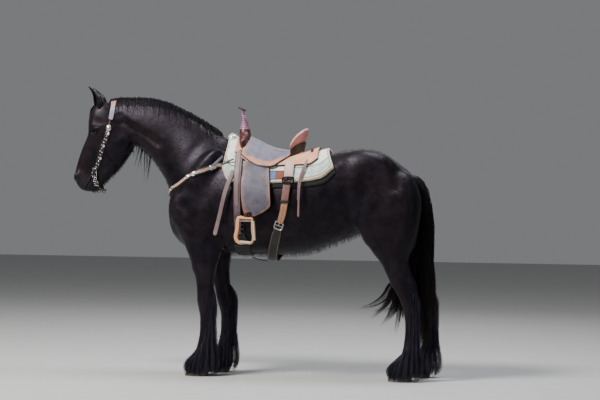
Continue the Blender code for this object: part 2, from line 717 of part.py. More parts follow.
def lid_ring(side, out):
    """The lids round one eye: an oval ring lying on the skin."""
    long, high, thick = LID_RADII
    x, z = EYE_AT
    rows = []
    for k in range(10):
        angle = 2 * math.pi * k / 10
        point = Vector((x + long * math.cos(angle), side * (out - 0.006 - 0.006 * abs(math.cos(angle))), 0))
        point.z = z + high * math.sin(angle) + 0.10 * long * math.cos(angle)
        outward = Vector((math.cos(angle), 0, math.sin(angle)))
        face = Vector((0, side, 0))
        rows.append((
            point - outward * thick - face * 0.010, point + outward * thick - face * 0.010,
            point + outward * thick * 0.4 + face * 0.006, point - outward * thick * 0.4 + face * 0.006,
        ))
    return band("lids", rows, closed=True)


def crest_point(share):
    """A place on the crest of the neck, from the poll to the withers."""
    rows = [(x, 0.0, z) for x, z in CREST_LINE]
    return curve_points(rows, 101)[round(share * 100)]


def mane_locks(shape, rng):
    """Locks that fall from the crest down the far side, with short wisps on the near side."""
    made = []
    count = MANE["count"]
    for k in range(count):
        share = 0.08 + 0.90 * (k + 0.4 * rng.uniform(-1, 1)) / (count - 1)
        share = min(max(share, 0.08), 0.98)
        top = crest_point(share)
        length = np.interp(share, *MANE_LENGTH) * rng.uniform(0.75, 1.1)
        drift, wave = rng.uniform(-0.05, 0.05), rng.uniform(0, 6.3)
        lift = LOCK_CLEARANCE + 0.004 + 0.012 * (k % 2)
        points = [top + Vector((0, -0.006, -0.026)), top + Vector((0, 0.024, 0.004))]
        last = 0.0
        for step in (0.15, 0.4, 0.7, 1.0):
            x = top.x + drift * step + 0.016 * step * math.sin(6 * step + wave)
            z = top.z - length * step
            last = max(last - 0.025, shape.side(x, z, FAR) + lift)
            points.append(Vector((x, last, z)))
        width = MANE["width"] * rng.uniform(0.75, 1.2)
        made.append(lock(points, Vector((0, 1, 0.2)), width, MANE["thick"], rings=5))
    for k in range(MANE["near_count"]):
        share = 0.08 + 0.88 * (k + 0.5 * rng.random()) / MANE["near_count"]
        top = crest_point(share)
        back, fall = rng.uniform(0.01, 0.05), rng.uniform(0.035, 0.075)
        points = [top + Vector((0, 0, -0.022)), top + Vector((0.004, -0.012, 0.006))]
        for step in (0.5, 1.0):
            x, z = top.x + back * step, top.z - fall * step
            points.append(Vector((x, -shape.side(x, z, NEAR, 0.02) - LOCK_CLEARANCE * step, z)))
        made.append(lock(points, Vector((0, -1, 0.4)), MANE["width"] * 0.6, MANE["thick"] * 0.6, rings=2))
    return made


def forelock_locks(shape, rng):
    """A short forelock that falls between the ears."""
    made = []
    for k in range(FORELOCK["count"]):
        y = 0.045 * (k / (FORELOCK["count"] - 1) - 0.5)
        points = [Vector((-1.400, y * 0.4, 1.866)), Vector((-1.420, y * 0.6, 1.904))]
        points.append(Vector((-1.458, y, 1.893)))
        low = rng.uniform(1.74, 1.79)
        for share in (0.35, 0.7, 1.0):
            z = 1.87 + (low - 1.87) * share
            points.append(shape.clear((-1.50, y * (1 + share) + 0.01 * share, z), LOCK_CLEARANCE))
        made.append(lock(points, Vector((-1, 0, 0.1)), FORELOCK["width"], FORELOCK["thick"], rings=4))
    return made


def tail_locks(rng):
    """Locks of the tail: some hang, some are blown forward between the hind legs."""
    made = []
    for k in range(TAIL["count"]):
        share = k / (TAIL["count"] - 1)
        turn = 2.4 * k
        y, out = 0.070 * math.sin(turn), 0.026 * math.cos(turn)
        root = Vector((0.840, y * 0.25, 1.315 - 0.24 * share))
        deep = rng.uniform(0.30, 0.56)
        points = [root, root + Vector((0.032, y * 0.25, -0.09)), Vector((0.880 + 0.3 * out, y * 0.6, 1.00))]
        points += [Vector((0.868 + out, y * 0.9, 0.85)), Vector((0.870 + out, y * 1.1, 0.68))]
        points.append(Vector((0.884 + out, y * 1.15, (deep + 0.60) / 2)))
        points.append(Vector((0.892 + out, y * 1.1 + rng.uniform(-0.02, 0.02), deep)))
        made.append(lock(points, Vector((1, 0, 0)), TAIL["width"], TAIL["thick"], rings=5))
    return made


def blown_locks():
    """The locks of the tail that the wind carries forward between the hind legs, on one core."""
    core = [Vector((0.880, 0, 1.02)), Vector((0.888, 0, 0.88)), Vector((0.865, 0, 0.76))]
    core += [Vector((0.79, 0, 0.67)), Vector((0.72, 0, 0.62))]
    made = [lock(core, Vector((0.8, 0, -0.6)), 0.085, 0.045, around=5, rings=5, root=0.3)]
    for y in (-0.045, 0.0, 0.045):
        points = [Vector((0.874, y * 0.4, 1.00)), Vector((0.836, y * 0.7, 0.93)), Vector((0.795, y, 0.85))]
        points += [Vector((0.784, y, 0.75)), Vector((0.775, y, 0.655))]
        made.append(lock(points, Vector((0.95, 0, 0.3)), 0.052, 0.030, rings=5))
    for k in range(TAIL["blown"]):
        share = k / (TAIL["blown"] - 1)
        y = 0.052 * (2 * ((0.618 * k + 0.2) % 1.0) - 1)
        tip = Vector((0.385 + 0.28 * share, y * 1.1, 0.46 - 0.15 * share + 0.02 * math.sin(5 * share)))
        points = [Vector((0.884, y * 0.4, 0.92 - 0.01 * k)), Vector((0.878, y * 0.8, 0.82))]
        points += [Vector((0.832, y, 0.71)), Vector((0.80, y, 0.675))]
        points += [tip.lerp(Vector((0.80, y, 0.665)), 0.5) + Vector((0, 0, 0.012)), tip]
        made.append(lock(points, Vector((0.8, 0, -0.6)), TAIL["width"], TAIL["thick"] * 0.7, rings=5))
    return made


def feather_locks(shape, fore, side, rng):
    """Locks round one fetlock that fall over the hoof to just above the floor."""
    move, y = foot_shift(fore, side), side * (FORE_Y if fore else HIND_Y)
    made = []
    count = FEATHER["count"]
    for k in range(count):
        turn = 2 * math.pi * (k + 0.3 * rng.random()) / count
        out = Vector((math.cos(turn), math.sin(turn), 0))
        behind = 0.5 + 0.5 * math.cos(turn)
        top = 0.145 + 0.215 * behind ** 1.5 * rng.uniform(0.9, 1.1)
        low = rng.uniform(0.012, 0.028)
        points = [Vector((leg_middle(top) + move, y, top + 0.01))]
        for share in (0.0, 0.25, 0.5, 0.75, 1.0):
            z = top + (low - top) * share
            axis = Vector((leg_middle(z) + move, y, z))
            skin = (shape.toward(axis, out) - axis).length
            full = max(feather_reach(z, out) - 0.008 - 0.005 * (k % 2), skin + 0.002)
            points.append(axis + out * (skin + (full - skin) * min(1.0, 0.25 + 3 * share)))
        made.append(lock(points, out, FEATHER["width"] * rng.uniform(0.85, 1.1), FEATHER["thick"], rings=3))
    return made


def leg_middle(z):
    """Where the middle of a near fore foot stands at a height."""
    return -0.668 + 0.18 * min(z, 0.30)


def feather_reach(z, out):
    """How far the feather's outside stands from the middle of a foot at a height."""
    side = np.interp(z, *FEATHER_SIDE)
    ahead, behind = leg_middle(z) - np.interp(z, *FEATHER_FRONT), np.interp(z, *FEATHER_BACK) - leg_middle(z)
    along = behind if out.x > 0 else ahead
    return 1.0 / math.sqrt((out.x / along) ** 2 + (out.y / side) ** 2)


# Outline of the feather of the near fore foot: heights, and where it reaches to.
FEATHER_FRONT = [(0.02, 0.06, 0.09, 0.115, 0.15, 0.19, 0.24, 0.42),
                 (-0.754, -0.764, -0.762, -0.742, -0.704, -0.682, -0.670, -0.664)]
FEATHER_BACK = [(0.015, 0.045, 0.08, 0.14, 0.20, 0.26, 0.33, 0.42),
                (-0.546, -0.528, -0.516, -0.516, -0.526, -0.541, -0.553, -0.560)]
FEATHER_SIDE = [(0.015, 0.05, 0.09, 0.15, 0.22, 0.30, 0.42),
                (0.078, 0.083, 0.080, 0.066, 0.053, 0.044, 0.042)]

# Tack. Layers lie at these lifts from the skin.
FELT_TOP = 0.012
PAD_TOP = 0.034
SKIRT_TOP = 0.046
JOCKEY_TOP = 0.056
# Each edge entry: x at the spine, x at the lower edge, height of the lower edge.
FELT_EDGE = [(-0.484, -0.502, 1.41), (-0.42, -0.45, 1.312), (-0.2, -0.2, 1.297), (0.0, 0.0, 1.300),
             (0.14, 0.18, 1.325), (0.215, 0.272, 1.40)]
PAD_EDGE = [(-0.492, -0.512, 1.43), (-0.43, -0.45, 1.335), (-0.2, -0.2, 1.318), (0.0, 0.0, 1.320),
            (0.14, 0.17, 1.345), (0.205, 0.264, 1.425)]
SKIRT_EDGE = [(-0.425, -0.430, 1.535), (-0.30, -0.32, 1.46), (-0.15, -0.15, 1.440), (0.0, 0.0, 1.445),
              (0.09, 0.09, 1.45), (0.140, 0.150, 1.49)]
JOCKEY_EDGE = [(-0.385, -0.385, 1.515), (-0.33, -0.33, 1.475), (-0.25, -0.25, 1.435), (-0.17, -0.17, 1.428),
               (-0.10, -0.10, 1.470), (-0.04, -0.04, 1.520)]
SEAT = [
    station((-0.345, 1.650), (-0.345, 1.520), 0.085, wide=0.5),
    station((-0.300, 1.628), (-0.300, 1.500), 0.110, wide=0.5),
    station((-0.220, 1.588), (-0.220, 1.470), 0.145, wide=0.5, front_power=2.6),
    station((-0.140, 1.560), (-0.140, 1.450), 0.165, wide=0.5, front_power=2.8),
    station((-0.060, 1.548), (-0.060, 1.450), 0.175, wide=0.5, front_power=2.8),
    station((0.010, 1.565), (0.010, 1.450), 0.165, wide=0.5, front_power=2.8),
    station((0.060, 1.590), (0.060, 1.470), 0.130, wide=0.5),
]
SWELL = [
    station((-0.418, 1.578), (-0.332, 1.522), 0.150, wide=0.5),
    station((-0.423, 1.610), (-0.336, 1.594), 0.162, wide=0.5),
    station((-0.428, 1.645), (-0.339, 1.638), 0.118, wide=0.5),
    station((-0.430, 1.676), (-0.346, 1.674), 0.056, wide=0.5),
    station((-0.428, 1.700), (-0.357, 1.700), 0.037, wide=0.5),
]
HORN = [
    station((-0.427, 1.698), (-0.358, 1.698), 0.036),
    station((-0.420, 1.738), (-0.370, 1.740), 0.027),
    station((-0.418, 1.775), (-0.383, 1.776), 0.020),
    station((-0.420, 1.812), (-0.397, 1.804), 0.018),
    station((-0.442, 1.842), (-0.390, 1.818), 0.031),
    station((-0.440, 1.854), (-0.388, 1.830), 0.030),
]
# Straps at the side: x, height, width and lift from the skin.
FENDER = [(-0.264, 1.480, 0.176, 0.060), (-0.264, 1.430, 0.178, 0.060), (-0.260, 1.330, 0.194, 0.060),
          (-0.251, 1.230, 0.200, 0.060), (-0.245, 1.165, 0.194, 0.060), (-0.262, 1.122, 0.140, 0.060),
          (-0.290, 1.088, 0.060, 0.060)]
LATIGO = [(-0.398, 1.545, 0.056, 0.050), (-0.390, 1.350, 0.055, 0.042), (-0.387, 1.200, 0.052, 0.018),
          (-0.385, 1.080, 0.050, 0.012), (-0.385, 0.970, 0.048, 0.012)]
LATIGO_TAIL = [(-0.425, 1.400, 0.034, 0.036), (-0.450, 1.270, 0.034, 0.036), (-0.505, 1.080, 0.034, 0.036),
               (-0.532, 0.985, 0.030, 0.036)]
BILLET = [(-0.040, 1.520, 0.064, 0.032), (-0.038, 1.370, 0.062, 0.032), (-0.047, 1.290, 0.058, 0.020),
          (-0.058, 1.200, 0.056, 0.010), (-0.088, 1.060, 0.054, 0.008)]
TIE = [(0.095, 1.530, 0.014, 0.036), (0.040, 1.320, 0.014, 0.036), (0.040, 1.090, 0.014, 0.036)]
STIRRUP = [(-0.357, 1.074), (-0.262, 1.074), (-0.256, 1.010), (-0.250, 0.945), (-0.268, 0.912),
           (-0.355, 0.922), (-0.374, 0.950), (-0.366, 1.010)]
STIRRUP_DEPTH = 0.050
STIRRUP_Y = 0.372
BREAST = [(-0.470, 0.22, 1.482), (-0.561, 0.20, 1.450), (-0.643, 0.20, 1.415), (-0.761, 0.17, 1.340),
          (-0.840, 0.13, 1.285), (-0.900, 0.07, 1.250), (-0.925, 0.0, 1.238)]
CROWN = [(-1.337, 0.11, 1.705), (-1.328, 0.09, 1.765), (-1.322, 0.075, 1.825), (-1.327, 0.038, 1.886),
         (-1.330, 0.0, 1.900)]
CHEEK = [(-1.340, 0.11, 1.680), (-1.358, 0.10, 1.626), (-1.386, 0.09, 1.563), (-1.407, 0.08, 1.493),
         (-1.430, 0.07, 1.425)]
BIT_AT = (-1.447, 1.392)


def mirrored(points):
    """Far-side points joined with their near-side images, near side first."""
    near = [(x, -y, z) for x, y, z in points]
    return near + [p for p in reversed(points) if abs(p[1]) > 1e-6]


def hanging_strap(name, shape, rows, side, thick, top=None, count=8, tight=False):
    """A strap down one side, from rows of x, height, width and lift; a tight one follows the side."""
    keys = np.array([r[1] for r in reversed(rows)])
    at = np.linspace(rows[0][1], rows[-1][1], count)
    xs, widths, lifts = (
        smooth_through(keys, np.array([r[k] for r in reversed(rows)]), at) for k in (0, 2, 3)
    )
    high = rows[0][1] if top is None else top
    corners = []
    for x, z, width, lift in zip(xs, at, widths, lifts):
        point = shape.hang(x, z, z + 0.001 if tight else high, side, lift)
        across, out = Vector((width / 2, 0, 0)), Vector((0, side * thick, 0))
        corners.append((point - across, point + across, point + across + out, point - across + out))
    return band(name, corners)


def girth(name, shape, x, width, top, thick, sag=0.0, lean=0.0, count=15):
    """A belt under the belly between two equal heights; lean slants it in the side view."""
    start = 0.6
    while shape.around(x, start, 0.0).z > top:
        start += 0.02
    path, outs = [], []
    for k in range(count):
        angle = start + (2 * math.pi - 2 * start) * k / (count - 1)
        drop = sag * max(0.0, -math.cos(angle)) ** 6
        height = shape.around(x, angle, drop).z
        path.append(shape.around(x + lean * (height - top), angle, drop))
        outs.append(Vector((0, math.sin(angle), math.cos(angle))))
    return strap(name, path, outs, width, 0.006 if sag == 0 else 0.002, thick)


def cantle(name):
    """The raised back of the seat: a curved plate that leans back."""
    rows = []
    for k in range(11):
        turn = math.radians(-82 + 16.4 * k)
        c, s = math.cos(turn), math.sin(turn)
        foot = Vector((-0.062 + 0.066 * c, 0.160 * s, 1.500))
        top = Vector((-0.072 + 0.120 * c ** 0.8, 0.168 * s, 1.536 + 0.170 * c ** 0.55))
        out = Vector((c, s * 0.8, -0.4)).normalized() * 0.013
        rows.append((foot - out, foot + out, top + out, top - out))
    return band(name, rows)


def stirrup(name, side):
    """A flat-bottomed stirrup whose opening faces out from the horse."""
    middle = Vector((-0.312, 0, 0.995))
    deep = Vector((0, side * STIRRUP_DEPTH / 2, 0))
    rows = []
    for x, z in STIRRUP:
        point = Vector((x, side * STIRRUP_Y, z))
        out = (Vector((x, 0, z)) - middle).normalized() * 0.007
        rows.append((point - out - deep, point + out - deep, point + out + deep, point - out + deep))
    return band(name, rows, closed=True)


def bit(name, shape):
    """Mouthpiece bar with a shank at each end."""
    x, z = BIT_AT
    out = max(shape.side(x, z, NEAR), 0.045) + 0.006
    bar = Vector((0, 1, 0))
    pieces = []
    bm = bmesh.new()
    size = {"radius1": 0.006, "radius2": 0.006, "depth": 2 * out + 0.012}
    made = bmesh.ops.create_cone(bm, segments=8, cap_ends=True, **size)
    for v in made["verts"]:
        v.co = Vector((x + v.co.x, v.co.z, z + v.co.y))
    body = new_object(name, bm)
    for side in (NEAR, FAR):
        y = side * (out + 0.003)
        drops = [(-0.006, 0.060), (0, 0.020), (0, -0.020), (0.010, -0.070), (0.032, -0.125), (0.040, -0.140)]
        path = [Vector((x + back, y, z + high)) for back, high in drops]
        pieces.append(strap("shank", path, [bar * side] * 6, 0.017, 0.004, 0.004))
    for piece in pieces:
        body = boolean(body, piece, "UNION")
    return body


class Pile:
    """Layers of tack: each is cut by the clean, uncut forms of what it lies on."""

    def __init__(self, nodes):
        self.nodes = nodes
        self.clean = {}

    def add(self, form, *below, by=0.0006):
        """Makes a node of a form, cut clear of the named ones, and keeps the uncut form."""
        name = form.name
        cutters = [self.clean.get(other) or self.nodes[other] for other in below]
        self.nodes[name] = carve(copy_of(form), *cutters, by=by)
        form.hide_render = True
        self.clean[name] = form

    def finish(self):
        """Removes the uncut forms."""
        for form in self.clean.values():
            bpy.data.objects.remove(form)


def add_saddle(pile, shape):
    """Felt, pad, skirt, seat, fork, horn and cantle."""
    deep = -0.020
    under = ["torso"]
    for name, edge, top, grid in (
        ("saddle_felt", FELT_EDGE, FELT_TOP, (7, 9)), ("saddle_pad", PAD_EDGE, PAD_TOP, (8, 11)),
        ("saddle_skirt", SKIRT_EDGE, SKIRT_TOP, (7, 9)),
    ):
        pile.add(blanket(name, shape, edge, (deep, top), grid), *under)
        under.append(name)
    seat = blanket("saddle_seat", shape, JOCKEY_EDGE, (deep, JOCKEY_TOP), grid=(7, 9))
    seat = boolean(seat, loft_object("seat", SEAT, 12, 6), "UNION")
    pile.add(seat, *under)
    pile.add(loft_object("saddle_swell", SWELL, 12, 6), *under, "saddle_seat", by=0.0014)
    pile.add(loft_object("saddle_horn", HORN, 10, 10), "saddle_swell")
    pile.add(cantle("saddle_cantle"), *under, "saddle_seat", by=0.0014)


def add_girths(pile, shape):
    """The two belts under the belly and the strap between them."""
    pile.add(girth("cinch_front", shape, -0.372, 0.110, 1.000, 0.014), "torso")
    pile.add(girth("cinch_rear", shape, -0.098, 0.070, 1.070, 0.012, sag=0.040, lean=0.33), "torso")
    low = shape.around(-0.25, math.pi, 0.03)
    path = [Vector((x, 0, low.z + z)) for x, z in ((-0.330, 0.012), (-0.27, -0.004), (-0.205, -0.012))]
    link = strap("cinch_link", path, [Vector((0, 0, -1))] * 3, 0.030, 0.004, 0.004)
    pile.add(link, "cinch_front", "cinch_rear", "torso")


def add_hanging(pile, shape, side, word):
    """The straps, fender and stirrup at one side."""
    layers = ("torso", "saddle_felt", "saddle_pad", "saddle_skirt")
    latigo = hanging_strap(f"latigo_{word}", shape, LATIGO, side, 0.008, tight=True)
    pile.add(latigo, *layers, "saddle_seat", "cinch_front")
    fender = hanging_strap(f"fender_{word}", shape, FENDER, side, 0.010, top=1.48)
    pile.add(fender, *layers, "saddle_seat", f"latigo_{word}")
    billet = hanging_strap(f"billet_{word}", shape, BILLET, side, 0.012, tight=True)
    pile.add(billet, *layers, "cinch_rear", f"fender_{word}")
    tie = hanging_strap(f"tie_string_{word}", shape, TIE, side, 0.010)
    pile.add(tie, *layers, f"billet_{word}")
    pile.add(stirrup(f"stirrup_{word}", side), f"fender_{word}")
    if side == NEAR:
        tail = hanging_strap("latigo_tail", shape, LATIGO_TAIL, NEAR, 0.008)
        pile.add(tail, *layers, "latigo_left")


def add_bridle(pile, shape):
    """Headstall, bosses, bit and curb strap."""
    nodes = pile.nodes
    bar = bit("bit", shape)
    nodes["head"] = keep_largest(boolean(nodes["head"], grown(bar, 0.0005), "DIFFERENCE"))
    nodes["bit"] = bar
    for side, word in ((NEAR, "left"), (FAR, "right")):
        disc = shape.lay((-1.338, side * 0.11, 1.694), 0.0)
        pile.add(rosette(f"rosette_{word}", *disc), "head", "neck")
        points = [(x, side * y, z) for x, y, z in CHEEK]
        cheek = strap_on(f"cheek_strap_{word}", shape, points, 0.022, 0.005, 9)
        pile.add(cheek, "head", "neck", f"rosette_{word}", "bit")
    crown = strap_on("crown_strap", shape, mirrored(CROWN), 0.036, 0.006, 13)
    pile.add(crown, "head", "neck", "ear_left", "ear_right", "rosette_left", "rosette_right")
    x, z = BIT_AT
    curb = []
    for y in (-0.058, -0.03, 0.0, 0.03, 0.058):
        curb.append(Vector((x + 0.036 + 0.030 * math.cos(y / 0.058 * 1.5), y, z - 0.128 + abs(y) * 0.1)))
    pile.add(strap("curb_strap", curb, [Vector((0.8, 0, -0.6))] * 5, 0.016, 0.003, 0.003), "bit", "head")


def add_tack(nodes, shape):
    """Saddle, pad, girths, breast collar and bridle."""
    pile = Pile(nodes)
    add_saddle(pile, shape)
    add_girths(pile, shape)
    for side, word in ((NEAR, "left"), (FAR, "right")):
        add_hanging(pile, shape, side, word)
    breast = strap_on("breast_collar", shape, mirrored(BREAST), 0.042, 0.008, 19)
    others = ("saddle_felt", "saddle_pad", "saddle_skirt", "latigo_left", "latigo_right", "latigo_tail")
    pile.add(breast, "torso", "neck", *others)
    add_bridle(pile, shape)
    pile.finish()


def rosette(name, at, normal):
    """A round metal boss lying on the skin."""
    bm = bmesh.new()
    made = bmesh.ops.create_cone(bm, segments=18, radius1=0.022, radius2=0.017, depth=0.020, cap_ends=True)
    turn = normal.to_track_quat("Z", "Y").to_matrix()
    for v in made["verts"]:
        v.co = at + turn @ (v.co + Vector((0, 0, 0.002)))
    return new_object(name, bm)


FINISHES = {
    "coat": ((0.012, 0.011, 0.014), 0.42, 0.0),
    "hair": ((0.010, 0.009, 0.011), 0.55, 0.0),
    "horn_black": ((0.030, 0.027, 0.026), 0.50, 0.0),
    "eye": ((0.020, 0.010, 0.006), 0.08, 0.0),
    "leather_tan": ((0.42, 0.17, 0.075), 0.55, 0.0),
    "leather_worn": ((0.17, 0.17, 0.24), 0.60, 0.0),
    "leather_dark": ((0.090, 0.022, 0.018), 0.45, 0.0),
    "leather_brown": ((0.16, 0.075, 0.055), 0.55, 0.0),
    "wool": ((0.72, 0.66, 0.58), 0.95, 0.0),
    "felt": ((0.020, 0.020, 0.022), 0.95, 0.0),
    "cord": ((0.050, 0.045, 0.045), 0.90, 0.0),
    "silver": ((0.72, 0.70, 0.66), 0.30, 1.0),
    "brass": ((0.62, 0.42, 0.20), 0.38, 1.0),
}
FINISH_OF = {
    "saddle_felt": "felt", "saddle_pad": "wool", "saddle_skirt": "leather_tan", "saddle_seat": "leather_worn",
    "saddle_swell": "leather_dark", "saddle_horn": "leather_dark", "saddle_cantle": "leather_dark",
    "cinch_front": "cord", "cinch_rear": "felt", "cinch_link": "leather_brown",
    "breast_collar": "leather_tan", "latigo": "leather_brown", "fender": "leather_worn",
    "billet": "leather_tan", "tie_string": "leather_brown",
    "stirrup": "brass", "cheek_strap": "leather_dark", "crown_strap": "leather_brown", "rosette": "silver",
    "bit": "silver", "curb_strap": "leather_brown", "eye": "eye", "hoof": "horn_black", "tail": "hair",
}


def finish_of(name):
    """The finish of a node, by the longest start of its name that is listed."""
    found = [key for key in FINISH_OF if name.startswith(key)]
    return FINISH_OF[max(found, key=len)] if found else "coat"


def main():
    """Builds the horse and its tack."""
    clear_scene()
    rng = np.random.default_rng(SEED)
    thin = thin_out(build_flesh(), FLESH_SHARE)
    shape = Shape(thin)
    nodes = part_flesh(thin)
    add_features(nodes, shape)
    for fore, row in ((True, "fore"), (False, "hind")):
        for side, word in ((NEAR, "left"), (FAR, "right")):
            foot = hoof(f"hoof_{row}_{word}", fore, side)
            cannon = carve(nodes[f"cannon_{row}_{word}"], foot)
            locks = feather_locks(Shape(cannon, foot), fore, side, rng)
            nodes[f"cannon_{row}_{word}"] = grow_hair(cannon, locks, foot)
            nodes[foot.name] = foot
    tail = carve(loft_object("tail", DOCK, 10, 8), nodes["torso"])
    legs = [nodes[f"{part}_hind_{word}"] for part in ("leg", "cannon") for word in ("left", "right")]
    tail = grow_hair(tail, tail_locks(rng) + blown_locks(), nodes["torso"], *legs)
    for name, kept in (("tail", (1.0, 1.0)), ("tail_blown", (0.6, 0.5))):
        block = region([half_space(TAIL_CUT, kept)])
        nodes[name] = keep_largest(boolean(copy_of(tail, name), block, "INTERSECT"))
    bpy.data.objects.remove(tail)
    add_tack(nodes, shape)
    near_neck = ["torso", "head", "crown_strap", "breast_collar", "rosette_right"]
    near_neck += ["cheek_strap_right", "saddle_pad", "saddle_felt"]
    others = [nodes[name] for name in near_neck]
    nodes["neck"] = grow_hair(nodes["neck"], mane_locks(shape, rng), *others)
    others = [nodes[name] for name in ("ear_left", "ear_right", "crown_strap")]
    nodes["head"] = grow_hair(nodes["head"], forelock_locks(shape, rng), *others)
    bpy.data.objects.remove(thin)
    materials = {name: material(name, *values) for name, values in FINISHES.items()}
    for name, piece in nodes.items():
        piece.name = name
        piece.data.materials.clear()
        piece.data.materials.append(materials[finish_of(name)])
        piece.location.x = FRAME_SHIFT


main()
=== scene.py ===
"""Looks of the friesian horse: one smooth skin, hair in strands, and its western tack."""

import logging
import math
from dataclasses import dataclass, field
from enum import Enum
from typing import Callable, Sequence

import bmesh
import bpy
import numpy as np
from mathutils import Matrix, Vector
from mathutils.bvhtree import BVHTree


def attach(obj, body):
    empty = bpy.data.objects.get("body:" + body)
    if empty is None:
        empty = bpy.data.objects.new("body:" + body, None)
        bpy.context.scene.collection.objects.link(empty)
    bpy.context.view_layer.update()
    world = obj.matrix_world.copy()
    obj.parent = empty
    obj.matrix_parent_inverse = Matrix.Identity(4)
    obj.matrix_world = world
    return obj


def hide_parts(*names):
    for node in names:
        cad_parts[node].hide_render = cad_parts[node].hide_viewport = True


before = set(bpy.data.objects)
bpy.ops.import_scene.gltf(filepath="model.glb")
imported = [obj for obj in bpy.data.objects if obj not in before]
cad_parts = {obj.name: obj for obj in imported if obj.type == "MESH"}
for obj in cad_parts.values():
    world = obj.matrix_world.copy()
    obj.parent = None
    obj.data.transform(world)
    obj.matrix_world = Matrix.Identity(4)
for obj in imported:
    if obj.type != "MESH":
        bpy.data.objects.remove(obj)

LOG = logging.getLogger("horse")
SEED = 11
# Pieces are measured from a point under the barrel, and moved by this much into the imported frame.
SHIFT = 0.330
FORE_STRIDE, HIND_STRIDE = 0.088, 0.105
FORE_Y, HIND_Y = 0.150, 0.165
HIND_HOOF_SHIFT = 1.392
EYE_AT = (-1.436, 1.672)
EYE_RADIUS = 0.021
EYE_DEPTH = 0.0165
BIT_AT = (-1.447, 1.392)


class Side(Enum):
    """The two sides of the horse, with the word that the nodes' names use."""

    NEAR = (-1, "left")
    FAR = (1, "right")

    @property
    def sign(self) -> int:
        """Which way along Y the side lies."""
        return self.value[0]

    @property
    def word(self) -> str:
        """The side's word in node names."""
        return self.value[1]



def smooth_through(keys: np.ndarray, values: np.ndarray, at: np.ndarray) -> np.ndarray:
    """Reads a cubic curve through values that never overshoots them.

    Args:
        keys: Rising places of the values.
        values: One number for each key.
        at: Places to read.

    Returns:
        The curve's numbers at those places.
    """
    slope = np.diff(values) / np.diff(keys)
    same_way = slope[:-1] * slope[1:] > 0
    total = np.where(same_way, slope[:-1] + slope[1:], 1.0)
    inner = np.where(same_way, 2 * slope[:-1] * slope[1:] / total, 0.0)
    tangent = np.concatenate([[slope[0]], inner, [slope[-1]]])
    i = np.clip(np.searchsorted(keys, at, side="right") - 1, 0, len(keys) - 2)
    span = keys[i + 1] - keys[i]
    t = (at - keys[i]) / span
    low = (1 + 2 * t) * (1 - t) ** 2 * values[i] + t * (1 - t) ** 2 * span * tangent[i]
    high = t * t * (3 - 2 * t) * values[i + 1] + t * t * (t - 1) * span * tangent[i + 1]
    return low + high


def even_curve(points: Sequence[Sequence[float]], count: int) -> np.ndarray:
    """Evenly spaced places on a smooth curve through points of any number of columns.

    Args:
        points: Rows whose first three columns are a place.
        count: How many places to return.

    Returns:
        An array of count rows.
    """
    rows = np.array([tuple(p) for p in points], float)
    steps = np.linalg.norm(np.diff(rows[:, :3], axis=0), axis=1) + 1e-6
    keys = np.concatenate([[0], np.cumsum(steps)])
    at = np.linspace(0, keys[-1], count)
    return np.stack([smooth_through(keys, rows[:, k], at) for k in range(rows.shape[1])], axis=1)


def ease(low: float, high: float, value: np.ndarray) -> np.ndarray:
    """A smooth step from 0 at low to 1 at high."""
    t = np.clip((value - low) / (high - low), 0, 1)
    return t * t * (3 - 2 * t)


def hill(value: np.ndarray, middle: float, reach: float) -> np.ndarray:
    """A soft hill of height 1 round a middle."""
    return np.exp(-(((value - middle) / reach) ** 2))


def line_distance(x: np.ndarray, z: np.ndarray, line: Sequence[tuple[float, float]]) -> np.ndarray:
    """Distance in the side view from many places to a broken line.

    Args:
        x: Places along the horse.
        z: Heights.
        line: Corners of the line.

    Returns:
        One distance for each place.
    """
    place = np.stack([x, z], axis=1)
    best = np.full(len(x), 9.0)
    if len(line) == 1:
        return np.linalg.norm(place - np.array(line[0]), axis=1)
    for a, b in zip(line, line[1:]):
        a, b = np.array(a), np.array(b)
        along = b - a
        t = np.clip((place - a) @ along / (along @ along), 0, 1)
        best = np.minimum(best, np.linalg.norm(place - a - t[:, None] * along, axis=1))
    return best



def rings(*rows: tuple[float, ...]) -> np.ndarray:
    """Rings of a loft: both ends in the side view, half width, then roundness.

    Args:
        rows: x and z of the front end, x and z of the back end, half width, and if wanted
            the place of the widest point, the front power, the back power and the y.

    Returns:
        One row of nine numbers for each ring.
    """
    plain = (0, 0, 0, 0, 0, 0.5, 2.0, 2.0, 0.0)
    return np.array([tuple(row) + plain[len(row):] for row in rows], float)


TORSO = rings(
    (-0.905, 1.235, -0.900, 1.020, 0.080),
    (-0.880, 1.360, -0.875, 0.955, 0.150),
    (-0.800, 1.470, -0.800, 0.880, 0.200, 0.55),
    (-0.680, 1.570, -0.680, 0.850, 0.225, 0.52, 1.8),
    (-0.570, 1.635, -0.570, 0.838, 0.240, 0.55, 1.55),
    (-0.460, 1.632, -0.460, 0.835, 0.262, 0.56, 1.5),
    (-0.340, 1.580, -0.340, 0.832, 0.290, 0.55, 1.65),
    (-0.200, 1.522, -0.200, 0.830, 0.312, 0.52, 1.9),
    (-0.050, 1.497, -0.050, 0.835, 0.325, 0.50, 2.1),
    (0.100, 1.505, 0.100, 0.862, 0.322, 0.48, 2.2),
    (0.230, 1.541, 0.230, 0.908, 0.305, 0.45, 2.2),
    (0.360, 1.570, 0.360, 0.958, 0.285, 0.42, 2.1),
    (0.470, 1.577, 0.460, 0.990, 0.275, 0.42),
    (0.580, 1.543, 0.570, 1.000, 0.262, 0.42),
    (0.680, 1.476, 0.670, 1.010, 0.230, 0.42),
    (0.770, 1.398, 0.760, 1.040, 0.170, 0.45),
    (0.830, 1.300, 0.825, 1.100, 0.090),
)
